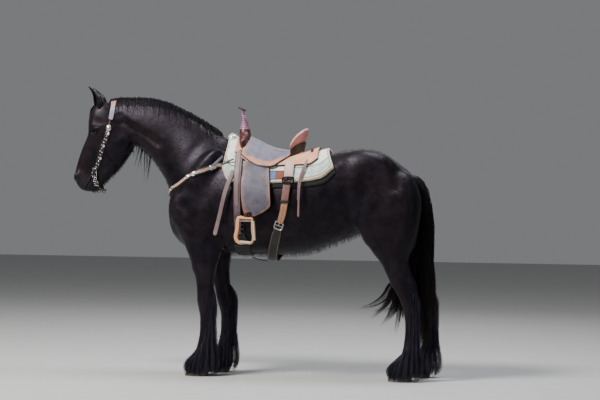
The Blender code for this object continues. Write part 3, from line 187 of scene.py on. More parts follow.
NECK = rings(
    (-1.375, 1.880, -1.235, 1.640, 0.070, 0.55),
    (-1.330, 1.900, -1.190, 1.590, 0.078, 0.58, 1.8),
    (-1.235, 1.908, -1.125, 1.552, 0.083, 0.60, 1.7),
    (-1.120, 1.901, -1.065, 1.503, 0.088, 0.60, 1.6),
    (-0.985, 1.880, -1.008, 1.432, 0.095, 0.60, 1.6),
    (-0.855, 1.828, -0.960, 1.363, 0.108, 0.60, 1.6),
    (-0.745, 1.775, -0.925, 1.285, 0.130, 0.60, 1.6),
    (-0.630, 1.706, -0.905, 1.185, 0.165, 0.60, 1.6),
    (-0.530, 1.648, -0.870, 1.080, 0.195, 0.60, 1.6),
    (-0.440, 1.600, -0.780, 0.980, 0.200, 0.60, 1.6),
)
HEAD = rings(
    (-1.415, 1.898, -1.330, 1.850, 0.048),
    (-1.466, 1.862, -1.262, 1.765, 0.082, 0.42, 2.3),
    (-1.498, 1.803, -1.212, 1.690, 0.098, 0.36, 2.6),
    (-1.508, 1.738, -1.180, 1.608, 0.104, 0.32, 2.7),
    (-1.508, 1.672, -1.186, 1.544, 0.098, 0.33, 2.6, 1.9),
    (-1.533, 1.608, -1.216, 1.494, 0.084, 0.36, 2.4, 1.9),
    (-1.561, 1.547, -1.254, 1.440, 0.070, 0.40, 2.2),
    (-1.582, 1.486, -1.300, 1.388, 0.060, 0.42, 2.1),
    (-1.600, 1.426, -1.352, 1.340, 0.054, 0.45),
    (-1.608, 1.376, -1.398, 1.300, 0.054, 0.50, 2.0, 2.2),
    (-1.600, 1.328, -1.434, 1.272, 0.056, 0.50, 2.3, 2.3),
    (-1.578, 1.287, -1.462, 1.256, 0.050, 0.50, 2.3, 2.3),
    (-1.555, 1.262, -1.480, 1.250, 0.032),
)
FORE_LEG = rings(
    (-0.850, 1.120, -0.560, 1.130, 0.085),
    (-0.822, 0.980, -0.520, 0.980, 0.086),
    (-0.772, 0.880, -0.505, 0.875, 0.080, 0.55),
    (-0.738, 0.800, -0.530, 0.795, 0.074),
    (-0.709, 0.720, -0.550, 0.712, 0.066),
    (-0.691, 0.640, -0.561, 0.635, 0.056),
    (-0.684, 0.575, -0.562, 0.573, 0.050),
    (-0.681, 0.510, -0.556, 0.507, 0.056, 0.5, 2.6),
    (-0.670, 0.455, -0.562, 0.450, 0.050, 0.5, 2.4),
    (-0.661, 0.395, -0.577, 0.392, 0.038),
    (-0.661, 0.310, -0.579, 0.308, 0.035),
    (-0.670, 0.240, -0.558, 0.228, 0.044),
    (-0.690, 0.170, -0.588, 0.140, 0.040),
    (-0.712, 0.112, -0.585, 0.072, 0.052),
    (-0.722, 0.060, -0.608, 0.030, 0.050),
)
HIND_LEG = rings(
    (0.420, 1.260, 0.820, 1.270, 0.110),
    (0.425, 1.130, 0.842, 1.160, 0.125),
    (0.445, 1.020, 0.838, 1.050, 0.122),
    (0.472, 0.930, 0.816, 0.945, 0.108),
    (0.518, 0.860, 0.785, 0.868, 0.092),
    (0.572, 0.795, 0.768, 0.802, 0.078),
    (0.610, 0.722, 0.785, 0.735, 0.063),
    (0.640, 0.655, 0.818, 0.675, 0.050),
    (0.680, 0.592, 0.834, 0.622, 0.049, 0.5, 2.0, 1.7),
    (0.712, 0.530, 0.826, 0.545, 0.050, 0.5, 2.0, 1.8),
    (0.733, 0.460, 0.817, 0.460, 0.041),
    (0.743, 0.380, 0.813, 0.380, 0.035),
    (0.741, 0.300, 0.813, 0.300, 0.035),
    (0.735, 0.240, 0.832, 0.224, 0.044),
    (0.716, 0.172, 0.806, 0.142, 0.040),
    (0.684, 0.112, 0.802, 0.074, 0.052),
    (0.670, 0.060, 0.782, 0.030, 0.050),
)
HOOF = rings(
    (-0.757, 0.0005, -0.600, 0.0005, 0.067, 0.55),
    (-0.756, 0.006, -0.599, 0.004, 0.067, 0.55),
    (-0.728, 0.052, -0.591, 0.030, 0.060, 0.55),
    (-0.702, 0.096, -0.584, 0.058, 0.051, 0.55),
)
DOCK = rings(
    (0.735, 1.400, 0.735, 1.330, 0.032),
    (0.800, 1.390, 0.770, 1.310, 0.036),
    (0.868, 1.318, 0.812, 1.268, 0.034),
    (0.893, 1.220, 0.842, 1.215, 0.028),
    (0.900, 1.110, 0.858, 1.110, 0.018),
    (0.901, 1.010, 0.880, 1.010, 0.006),
)


def ring_points(row: np.ndarray, angle: np.ndarray) -> np.ndarray:
    """Places on one ring at angles from its front end."""
    front, back = np.array([row[0], 0, row[1]]), np.array([row[2], 0, row[3]])
    middle = front + (back - front) * row[5]
    c, s = np.cos(angle), np.sin(angle)
    power = np.where(c > 0, row[6], row[7])
    end = np.where((c > 0)[:, None], front - middle, back - middle)
    made = middle + end * (np.abs(c) ** (2 / power))[:, None]
    made[:, 1] = row[8] + row[4] * np.sign(s) * np.abs(s) ** (2 / power)
    return made


def add_loft(bm: bmesh.types.BMesh, stations: np.ndarray, around: int, count: int) -> None:
    """Adds a closed loft: a sphere whose rings are moved onto the stations' rings.

    Args:
        bm: The mesh that it is added to.
        stations: Rows as rings() makes them.
        around: Points in each ring.
        count: Number of rings.
    """
    middle = (stations[:, 0:2] + stations[:, 2:4]) / 2
    keys = np.concatenate([[0], np.cumsum(np.linalg.norm(np.diff(middle, axis=0), axis=1) + 0.01)])
    at = np.linspace(0, keys[-1], count)
    rows = np.stack([smooth_through(keys, stations[:, k], at) for k in range(9)], axis=1)
    made = bmesh.ops.create_uvsphere(bm, u_segments=around, v_segments=count + 1, radius=1.0)["verts"]
    sphere = np.array([v.co[:] for v in made])
    ring = np.rint(np.arccos(np.clip(sphere[:, 2], -1, 1)) / math.pi * (count + 1)).astype(int)
    angle = np.arctan2(sphere[:, 1], sphere[:, 0])
    for k in range(count + 2):
        row = rows[min(max(k - 1, 0), count - 1)]
        chosen = np.nonzero(ring == k)[0]
        if k in (0, count + 1):
            ends = np.array([row[0], row[8], row[1]]), np.array([row[2], row[8], row[3]])
            places = np.tile(ends[0] + (ends[1] - ends[0]) * row[5], (len(chosen), 1))
        else:
            places = ring_points(row, angle[chosen])
        for i, place in zip(chosen, places):
            made[i].co = place


def add_swell(bm: bmesh.types.BMesh, middle: Sequence[float], radii: Sequence[float], turn: float,
        sign: int) -> None:
    """Adds an ellipsoid turned about Y, at middle mirrored to a side."""
    made = bmesh.ops.create_uvsphere(bm, u_segments=20, v_segments=14, radius=1.0)["verts"]
    place = Matrix.Translation((middle[0], sign * middle[1],
        middle[2])) @ Matrix.Rotation(math.radians(turn), 4, "Y")
    bmesh.ops.transform(bm, matrix=place @ Matrix.Diagonal((*radii, 1.0)), verts=made)


def leg_rows(stations: np.ndarray, side: Side, y: float, stride: float) -> np.ndarray:
    """A leg's rings on one side; the far leg's lower part stands a stride behind."""
    placed = stations.copy()
    placed[:, 8] = side.sign * y
    if side is Side.FAR:
        back = stride * ease(0.0, 0.62, 1.0 - placed[:, 1])
        placed[:, 0] += back
        placed[:, 2] += back
    return placed



class Bench:
    """Turns worked meshes into finished pieces that ride on the horse."""

    @staticmethod
    def finish(
        name: str,
        bm: bmesh.types.BMesh,
        finish: bpy.types.Material,
        replaces: Sequence[str] = (),
        slot: str = "",
        smooth: bool = True,
        crease: float = 60.0,
    ) -> bpy.types.Object:
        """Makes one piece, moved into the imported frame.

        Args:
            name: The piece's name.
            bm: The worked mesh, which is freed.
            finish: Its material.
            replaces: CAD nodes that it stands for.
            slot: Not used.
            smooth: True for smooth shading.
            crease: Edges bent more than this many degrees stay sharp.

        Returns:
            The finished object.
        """
        bmesh.ops.translate(bm, vec=(SHIFT, 0, 0), verts=bm.verts)
        for face in bm.faces:
            face.smooth = smooth
        if crease < 180.0:
            for edge in bm.edges:
                edge.smooth = edge.calc_face_angle(0.0) < math.radians(crease)
        mesh = bpy.data.meshes.new(name)
        bm.to_mesh(mesh)
        bm.free()
        return Bench.place(name, mesh, finish, replaces, slot)

    @staticmethod
    def place(
        name: str, mesh: bpy.types.Mesh, finish: bpy.types.Material, replaces: Sequence[str] = (),
        slot: str = ""
    ) -> bpy.types.Object:
        """Links a finished mesh as a piece that rides on the horse."""
        made = bpy.data.objects.new(name, mesh)
        bpy.context.scene.collection.objects.link(made)
        mesh.materials.clear()
        mesh.materials.append(finish)
        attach(made, "root")
        if replaces:
            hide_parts(*replaces)
        LOG.info("%s: %d faces", name, len(mesh.polygons))
        return made

    @staticmethod
    def join(name: str, parts: Sequence[bmesh.types.BMesh]) -> bmesh.types.BMesh:
        """Joins worked meshes into one, freeing them."""
        whole = bmesh.new()
        for part in parts:
            mesh = bpy.data.meshes.new(name)
            part.to_mesh(mesh)
            part.free()
            whole.from_mesh(mesh)
            bpy.data.meshes.remove(mesh)
        return whole


class Surface:
    """A surface to lay things on, in the measuring frame."""

    def __init__(self, *meshes: bmesh.types.BMesh) -> None:
        """Reads one or more worked meshes."""
        verts: list[Vector] = []
        faces: list[list[int]] = []
        for bm in meshes:
            bm.verts.index_update()
            start = len(verts)
            verts += [v.co.copy() for v in bm.verts]
            faces += [[start + v.index for v in f.verts] for f in bm.faces]
        self.tree = BVHTree.FromPolygons(verts, faces)
        self.places = np.array([v[:] for v in verts])
        self.triangles = np.array([(f[0], f[k], f[k + 1]) for f in faces for k in range(1, len(f) - 1)])

    def scatter(
        self, count: int, weight: Callable[[np.ndarray], np.ndarray], rng: np.random.Generator
    ) -> tuple[np.ndarray, np.ndarray]:
        """Random places on the surface.

        Args:
            count: How many.
            weight: Gives the density at some places.
            rng: Random draws.

        Returns:
            The places and the ways out of the surface.
        """
        corners = self.places[self.triangles]
        normal = np.cross(corners[:, 1] - corners[:, 0], corners[:, 2] - corners[:, 0])
        size = np.linalg.norm(normal, axis=1) + 1e-12
        share = size * weight(corners.mean(axis=1))
        chosen = rng.choice(len(size), count, p=share / share.sum())
        a, b = np.sqrt(rng.random((count, 1))), rng.random((count, 1))
        first, second, third = (corners[chosen, k] for k in range(3))
        return first * (1 - a) + second * a * (1 - b) + third * a * b, normal[chosen] / size[chosen, None]

    def lay(self, point: Sequence[float], lift: float) -> tuple[Vector, Vector]:
        """The surface place nearest a point, lifted off it, and the way out of it."""
        at, normal, _, _ = self.tree.find_nearest(Vector(point))
        return at + normal * lift, normal

    def clear(self, point: Sequence[float], lift: float) -> Vector:
        """The point itself, or moved out to lie at least lift off the surface."""
        place = Vector(point)
        at, normal, _, _ = self.tree.find_nearest(place)
        if (place - at).dot(normal) < lift:
            return at + normal * lift
        return place

    def side(self, x: float, z: float, sign: int, missing: float = 0.0) -> float:
        """How far the surface reaches out at a side-view place."""
        hit = self.tree.ray_cast(Vector((x, sign * 2.0, z)), Vector((0, -sign, 0)))[0]
        return missing if hit is None else abs(hit.y)

    def hang(self, x: float, z: float, top: float, sign: int, lift: float) -> Vector:
        """Where a thing hung from a height lies: it falls straight from the widest place."""
        widest = max(self.side(x, top + (z - top) * k / 8, sign) for k in range(9))
        return Vector((x, sign * (widest + lift), z))

    def around(self, x: float, angle: float, lift: float, middle: float = 1.20) -> Vector:
        """The surface place seen from the barrel's middle, at an angle from straight up."""
        ray = Vector((0, math.sin(angle), math.cos(angle)))
        hit = self.tree.ray_cast(Vector((x, 0, middle)) + ray * 2.0, -ray)[0]
        return hit + ray * lift


Value = object
RGB = tuple[float, float, float]


class Nodes:
    """Adds nodes to a tree and links them."""

    def __init__(self, tree: bpy.types.NodeTree) -> None:
        """Keeps the tree."""
        self.tree = tree

    def add(self, kind: str, settings: dict | None = None, **inputs: Value) -> bpy.types.Node:
        """Adds a node.

        Args:
            kind: The node's type without its ShaderNode prefix.
            settings: Properties of the node.
            inputs: Sockets by name, with _ for a blank, or by i and a number; each takes a
                socket to link or a constant.

        Returns:
            The node.
        """
        node = self.tree.nodes.new("ShaderNode" + kind)
        for key, value in (settings or {}).items():
            setattr(node, key, value)
        for key, value in inputs.items():
            socket = node.inputs[int(key[1:])] if key[0] == "i" and key[1:].isdigit() else node.inputs[key.replace("_", " ")]
            if isinstance(value, bpy.types.NodeSocket):
                self.tree.links.new(value, socket)
            else:
                socket.default_value = value
        return node

    def maths(self, operation: str, *values: Value) -> bpy.types.NodeSocket:
        """The result of a Math node."""
        inputs = {f"i{k}": value for k, value in enumerate(values)}
        return self.add("Math", {"operation": operation}, **inputs).outputs[0]

    def noise(self, vector: Value, scale: float, detail: float = 3.0,
            rough: float = 0.55) -> bpy.types.NodeSocket:
        """The height of a noise pattern."""
        return self.add("TexNoise", Vector=vector, Scale=scale, Detail=detail,
            Roughness=rough).outputs["Fac"]

    def stretch(self, vector: Value, scale: Sequence[float],
            turn: Sequence[float] = (0, 0, 0)) -> bpy.types.NodeSocket:
        """Coordinates scaled and turned."""
        return self.add("Mapping", Vector=vector, Scale=tuple(scale), Rotation=tuple(turn)).outputs[0]

    def ramp(self, value: Value, *stops: tuple[float, float]) -> bpy.types.NodeSocket:
        """A value passed through grey stops given as place and height."""
        node = self.add("ValToRGB", Fac=value)
        band = node.color_ramp
        while len(band.elements) < len(stops):
            band.elements.new(0.5)
        for element, (place, height) in zip(band.elements, stops):
            element.position = place
            element.color = (height, height, height, 1)
        return node.outputs[0]

    def band(self, value: Value, low: float, high: float) -> bpy.types.NodeSocket:
        """0 at low, 1 at high and flat beyond; high may be the smaller one."""
        return self.add("MapRange", {"interpolation_type": "SMOOTHSTEP"}, i0=value, i1=low,
            i2=high).outputs[0]

    def mix(self, share: Value, first: Value, second: Value, kind: str = "MIX") -> bpy.types.NodeSocket:
        """Two colours mixed; constants are given as three numbers."""
        node = self.tree.nodes.new("ShaderNodeMix")
        node.data_type, node.blend_type = "RGBA", kind
        for index, value in ((0, share), (6, first), (7, second)):
            if isinstance(value, bpy.types.NodeSocket):
                self.tree.links.new(value, node.inputs[index])
            else:
                node.inputs[index].default_value = value if index == 0 else (*value, 1)
        return node.outputs[2]

    def bump(self, height: Value, strength: float, distance: float = 0.002,
            normal: Value = None) -> bpy.types.NodeSocket:
        """A normal from a height."""
        node = self.add("Bump", Height=height, Strength=strength, Distance=distance)
        if normal is not None:
            self.tree.links.new(normal, node.inputs["Normal"])
        return node.outputs[0]


class Effects:
    """Shader node groups that several finishes share, each made once."""

    def __init__(self) -> None:
        """Starts with no groups."""
        self.made: dict[str, bpy.types.NodeTree] = {}

    def group(
        self, name: str, inputs: dict[str, float], outputs: Sequence[str],
        fill: Callable[[Nodes, dict, dict], None]
    ) -> bpy.types.NodeTree:
        """Makes or finds a group.

        Args:
            name: The group's name.
            inputs: Float inputs with their defaults; a Vector input comes first by itself.
            outputs: Names of the float outputs.
            fill: Called with the nodes and the input sockets; returns the output sockets by name.

        Returns:
            The node tree.
        """
        if name in self.made:
            return self.made[name]
        tree = bpy.data.node_groups.new(name, "ShaderNodeTree")
        tree.interface.new_socket("Vector", in_out="INPUT", socket_type="NodeSocketVector")
        for key, value in inputs.items():
            tree.interface.new_socket(key, in_out="INPUT",
                socket_type="NodeSocketFloat").default_value = value
        for key in outputs:
            tree.interface.new_socket(key, in_out="OUTPUT", socket_type="NodeSocketFloat")
        start, end = tree.nodes.new("NodeGroupInput"), tree.nodes.new("NodeGroupOutput")
        nodes = Nodes(tree)
        results = fill(nodes, {s.name: s for s in start.outputs})
        for key, value in results.items():
            tree.links.new(value, end.inputs[key])
        self.made[name] = tree
        return tree

    def use(self, nodes: Nodes, tree: bpy.types.NodeTree, vector: Value, **inputs: Value) -> bpy.types.Node:
        """Places a group in a material."""
        node = nodes.tree.nodes.new("ShaderNodeGroup")
        node.node_tree = tree
        nodes.tree.links.new(vector, node.inputs["Vector"])
        for key, value in inputs.items():
            if isinstance(value, bpy.types.NodeSocket):
                nodes.tree.links.new(value, node.inputs[key])
            else:
                node.inputs[key].default_value = value
        return node

    def grain(self, nodes: Nodes, vector: Value, scale: float) -> bpy.types.NodeSocket:
        """Pebbled leather grain as a height."""

        def fill(n: Nodes, given: dict) -> dict:
            """Joins the nodes of the group and gives its outputs."""
            cells = n.add("TexVoronoi", {"feature": "SMOOTH_F1"}, Vector=given["Vector"],
                Scale=given["Scale"], Smoothness=0.6)
            fine = n.add("TexNoise", Vector=given["Vector"], Scale=n.maths("MULTIPLY", given["Scale"], 2.5),
                Detail=3.0)
            return {"Height": n.maths("ADD", cells.outputs["Distance"],
                n.maths("MULTIPLY", fine.outputs["Fac"], 0.5))}

        tree = self.group("leather_grain", {"Scale": 400.0}, ("Height",), fill)
        return self.use(nodes, tree, vector, Scale=scale).outputs["Height"]

    def wear(self, nodes: Nodes, vector: Value, amount: float, scale: float = 14.0) -> bpy.types.NodeSocket:
        """Rubbed edges and scuffed patches as a mask."""

        def fill(n: Nodes, given: dict) -> dict:
            """Joins the nodes of the group and gives its outputs."""
            edge = n.ramp(n.add("NewGeometry").outputs["Pointiness"], (0.48, 0.0), (0.58, 1.0))
            patch = n.add("TexNoise", Vector=given["Vector"], Scale=given["Scale"], Detail=5.0,
                Roughness=0.65)
            rubbed = n.ramp(patch.outputs["Fac"], (0.40, 0.0), (0.68, 1.0))
            both = n.maths("ADD", n.maths("MULTIPLY", edge, 0.6), rubbed)
            result = n.maths("MULTIPLY", both, given["Amount"])
            return {"Mask": n.add("Clamp", Value=result).outputs[0]}

        tree = self.group("worn_places", {"Amount": 0.5, "Scale": 14.0}, ("Mask",), fill)
        return self.use(nodes, tree, vector, Amount=amount, Scale=scale).outputs["Mask"]

    def weave(self, nodes: Nodes, vector: Value, scale: float) -> bpy.types.NodeSocket:
        """Over and under threads as a height, on a flat map."""

        def fill(n: Nodes, given: dict) -> dict:
            """Joins the nodes of the group and gives its outputs."""
            parts = n.add("SeparateXYZ", Vector=given["Vector"]).outputs
            warp = n.maths("SINE", n.maths("MULTIPLY", parts[0], given["Scale"]))
            weft = n.maths("SINE", n.maths("MULTIPLY", parts[1], given["Scale"]))
            crossed = n.maths("MULTIPLY", warp, weft)
            thread = n.maths("MAXIMUM", n.maths("ABSOLUTE", warp), n.maths("ABSOLUTE", weft))
            return {"Height": n.maths("ADD", n.maths("MULTIPLY", crossed, 0.5), thread)}

        tree = self.group("cloth_weave", {"Scale": 2000.0}, ("Height",), fill)
        return self.use(nodes, tree, vector, Scale=scale).outputs["Height"]

    def fibres(self, nodes: Nodes, vector: Value, scale: float) -> bpy.types.NodeSocket:
        """Fine short fibres lying along the first axis, as a height."""

        def fill(n: Nodes, given: dict) -> dict:
            """Joins the nodes of the group and gives its outputs."""
            drawn = n.stretch(given["Vector"], (0.10, 1.0, 1.0))
            fine = n.add("TexNoise", Vector=drawn, Scale=given["Scale"], Detail=2.0, Roughness=0.6)
            broad = n.add("TexNoise", Vector=drawn, Scale=n.maths("MULTIPLY", given["Scale"], 0.22),
                Detail=2.0)
            height = n.maths("ADD", n.maths("MULTIPLY", fine.outputs["Fac"], 0.7), broad.outputs["Fac"])
            return {"Height": height}

        tree = self.group("lying_fibres", {"Scale": 600.0}, ("Height",), fill)
        return self.use(nodes, tree, vector, Scale=scale).outputs["Height"]

    def stitch(self, nodes: Nodes, lay: Value, distance: float) -> bpy.types.Node:
        """A stitched groove at a distance from the edge: masks of the groove and of the thread."""

        def fill(n: Nodes, given: dict) -> dict:
            """Joins the nodes of the group and gives its outputs."""
            x, y, edge = list(n.add("SeparateXYZ", Vector=given["Vector"]).outputs)[:3]
            away = n.maths("ABSOLUTE", n.maths("SUBTRACT", edge, given["Distance"]))
            dash = n.maths("SINE", n.maths("MULTIPLY", n.maths("ADD", x, y), 2 * math.pi / 0.0052))
            thread = n.maths("MULTIPLY", n.band(away, 0.0013, 0.0008), n.band(dash, -0.45, -0.15))
            return {"Groove": n.band(away, 0.0024, 0.0011), "Mask": thread}

        tree = self.group("stitch_line", {"Distance": 0.006}, ("Groove", "Mask"), fill)
        return self.use(nodes, tree, lay, Distance=distance)

    def stamp(self, nodes: Nodes, lay: Value, amount: float) -> bpy.types.NodeSocket:
        """Tooled leaves and scrolls as a height between 0 and 1."""

        def fill(n: Nodes, given: dict) -> dict:
            """Joins the nodes of the group and gives its outputs."""
            cells = n.add("TexVoronoi", {"feature": "DISTANCE_TO_EDGE"}, Vector=given["Vector"], Scale=95.0)
            leaf = n.band(cells.outputs["Distance"], 0.03, 0.20)
            drift = n.add("TexNoise", Vector=given["Vector"], Scale=70.0, Detail=2.0).outputs["Fac"]
            veins = n.maths("SINE", n.maths("MULTIPLY", drift, 60.0))
            cut = n.maths("MULTIPLY", n.band(veins, 0.80, 1.0), 0.45)
            return {"Height": n.maths("MULTIPLY", n.maths("SUBTRACT", leaf, cut), given["Amount"])}

        tree = self.group("tooled_leather", {"Amount": 1.0}, ("Height",), fill)
        return self.use(nodes, tree, lay, Amount=amount).outputs["Height"]


EFFECTS = Effects()


def blank(name: str) -> tuple[bpy.types.Material, Nodes, bpy.types.Node]:
    """A new material, its nodes and its shader."""
    made = bpy.data.materials.new(name)
    made.use_nodes = True
    return made, Nodes(made.node_tree), made.node_tree.nodes["Principled BSDF"]


def wire(nodes: Nodes, shader: bpy.types.Node, **inputs: Value) -> None:
    """Sets or links the shader's sockets by name, with _ for a blank."""
    for key, value in inputs.items():
        socket = shader.inputs[key.replace("_", " ")]
        if isinstance(value, bpy.types.NodeSocket):
            nodes.tree.links.new(value, socket)
        else:
            socket.default_value = (*value, 1) if isinstance(value, tuple) and len(value) == 3 else value


@dataclass(frozen=True)
class Coat:
    """Short glossy black coat: fibres that lie along the body, with brown in it and patches of painted
    purple-blue sheen.
    """

    name: str = "coat"
    base: RGB = (0.0022, 0.0019, 0.0026)
    brown: RGB = (0.0120, 0.0064, 0.0060)
    violet: RGB = (0.0120, 0.0100, 0.0165)
    muzzle: RGB = (0.0105, 0.0095, 0.0110)
    scale: float = 420.0
    bump: float = 0.32

    def build(self) -> bpy.types.Material:
        """Makes the material."""
        made, n, shader = blank(self.name)
        place = n.add("TexCoord").outputs["Object"]
        trunk = EFFECTS.fibres(n, n.stretch(place, (1, 1, 1), (0, math.radians(-22), 0)), self.scale)
        leg = EFFECTS.fibres(n, n.stretch(place, (1, 1, 1), (0, math.radians(90), 0)), self.scale)
        down = n.add("Attribute", {"attribute_name": "down"}).outputs["Fac"]
        soft = n.add("Attribute", {"attribute_name": "muzzle"}).outputs["Fac"]
        height = n.add("Mix", {"data_type": "FLOAT"}, i0=down, i2=trunk, i3=leg).outputs[0]
        pores = n.noise(place, 900.0, 2.0)
        height = n.add("Mix", {"data_type": "FLOAT"}, i0=soft, i2=height, i3=pores).outputs[0]
        cloud = n.ramp(n.noise(place, 5.5, 4.0), (0.42, 0.0), (0.70, 1.0))
        colour = n.mix(cloud, self.base, self.brown)
        # Painted sheen: purple-blue patches mixed into the base colour stand in for the coat's highlights.
        painted_sheen_mask = n.maths("MULTIPLY", n.ramp(n.noise(place, 11.0, 6.0), (0.46, 0.0), (0.66, 1.0)),
            n.noise(place, 130.0, 3.0))
        colour = n.mix(painted_sheen_mask, colour, self.violet)
        colour = n.mix(soft, colour, self.muzzle)
        rough = n.maths("ADD", 0.26, n.maths("MULTIPLY", n.noise(place, 24.0, 5.0), 0.34))
        rough = n.maths("ADD", rough, n.maths("MULTIPLY", soft, 0.12))
        folds = n.bump(n.noise(place, 30.0, 5.0), 0.22, 0.006)
        wire(n, shader, Base_Color=colour, Roughness=rough, Normal=n.bump(height, self.bump, 0.0012, folds))
        wire(n, shader, Specular_IOR_Level=0.18, Specular_Tint=(0.92, 0.80, 1.0))
        return made


@dataclass(frozen=True)
class Hair:
    """Long hair: each strand has its own shade, and its tips turn lighter; on the feather the lighter locks
    and tips are painted sheen.
    """

    name: str
    base: RGB = (0.0022, 0.0020, 0.0026)
    light: RGB = (0.0095, 0.0072, 0.0078)
    tip: RGB = (0.022, 0.014, 0.012)
    tip_from: float = 0.55
    rough: float = 0.40
    shine: float = 0.14
    locks: float = 55.0

    def build(self) -> bpy.types.Material:
        """Makes the material."""
        made, n, shader = blank(self.name)
        place = n.add("TexCoord").outputs["Object"]
        shade = n.add("Attribute", {"attribute_name": "shade"}).outputs["Fac"]
        along = n.add("Attribute", {"attribute_name": "along"}).outputs["Fac"]
        # light is the tone of lighter locks and tip the tone of the ends; the feather's light and tip
        # colours are painted sheen.
        lock = n.ramp(n.noise(n.stretch(place, (1, 1, 0.14)), self.locks, 3.0), (0.42, 0.0), (0.62, 1.0))
        colour = n.mix(n.maths("MULTIPLY", n.maths("ADD", shade, lock), 0.5), self.base, self.light)
        colour = n.mix(n.ramp(along, (self.tip_from, 0.0), (1.0, 0.85)), colour, self.tip)
        fine = n.noise(n.stretch(place, (1, 1, 0.12)), 1400.0, 2.0)
        rough = n.maths("ADD", self.rough + 0.12, n.maths("MULTIPLY", lock, -0.16))
        wire(n, shader, Base_Color=colour, Roughness=rough, Normal=n.bump(fine, 0.35, 0.0006))
        wire(n, shader, Specular_IOR_Level=self.shine, Specular_Tint=(0.82, 0.76, 1.0))
        return made


@dataclass(frozen=True)
class Eyeball:
    """Dark brown iris with a flat pupil, under a clear wet layer."""

    name: str = "eye"

    def build(self) -> bpy.types.Material:
        """Makes the material: the iris is read from the map laid on the ball."""
        made, n, shader = blank(self.name)
        flat = n.add("UVMap", {"uv_map": "gaze"}).outputs[0]
        parts = n.add("SeparateXYZ", Vector=flat).outputs
        wide = n.maths("MULTIPLY", parts[0], 0.55)
        pupil = n.maths("SQRT", n.maths("ADD", n.maths("POWER", wide, 2.0),
            n.maths("POWER", parts[1], 2.0)))
        whole = n.maths("SQRT", n.maths("ADD", n.maths("POWER", parts[0], 2.0),
            n.maths("POWER", parts[1], 2.0)))
        rays = n.noise(n.stretch(flat, (18, 18, 1)), 3.0, 5.0)
        iris = n.mix(rays, (0.010, 0.0045, 0.0025), (0.060, 0.024, 0.010))
        white = n.mix(rays, (0.030, 0.018, 0.014), (0.050, 0.034, 0.026))
        colour = n.mix(n.ramp(whole, (0.66, 0.0), (0.74, 1.0)), iris, white)
        colour = n.mix(n.ramp(pupil, (0.20, 0.0), (0.26, 1.0)), (0.001, 0.001, 0.0015), colour)
        wire(n, shader, Base_Color=colour, Roughness=0.09, Coat_Weight=1.0, Coat_Roughness=0.02,
            Specular_IOR_Level=0.6)
        return made


@dataclass(frozen=True)
class HoofHorn:
    """Dark hoof wall with growth rings, dusty at the ground."""

    name: str = "hoof"

    def build(self) -> bpy.types.Material:
        """Makes the material."""
        made, n, shader = blank(self.name)
        place = n.add("TexCoord").outputs["Object"]
        height = n.add("SeparateXYZ", Vector=place).outputs[2]
        warped = n.maths("ADD", height, n.maths("MULTIPLY", n.noise(place, 14.0), 0.006))
        growth = n.maths("SINE", n.maths("MULTIPLY", warped, 900.0))
        tubes = n.noise(n.stretch(place, (1, 1, 0.05)), 500.0, 2.0)
        dust = n.maths("MULTIPLY", n.ramp(height, (0.0, 1.0), (0.045, 0.0)),
            n.ramp(n.noise(place, 40.0, 4.0), (0.35, 0.0), (0.7, 1.0)))
        colour = n.mix(tubes, (0.018, 0.016, 0.016), (0.055, 0.048, 0.044))
        colour = n.mix(dust, colour, (0.16, 0.13, 0.10))
        relief = n.maths("ADD", n.maths("MULTIPLY", growth, 0.4), tubes)
        wire(n, shader, Base_Color=colour, Roughness=0.48, Normal=n.bump(relief, 0.30, 0.001))
        return made



@dataclass(frozen=True)
class Mark:
    """A ridge or groove on the skin, along a line of the side view.

    A lift above 0 is a ridge. facing 1 keeps it on faces that look sideways; 0 takes all.
    """

    line: tuple[tuple[float, float], ...]
    reach: float
    lift: float
    facing: float = 1.0


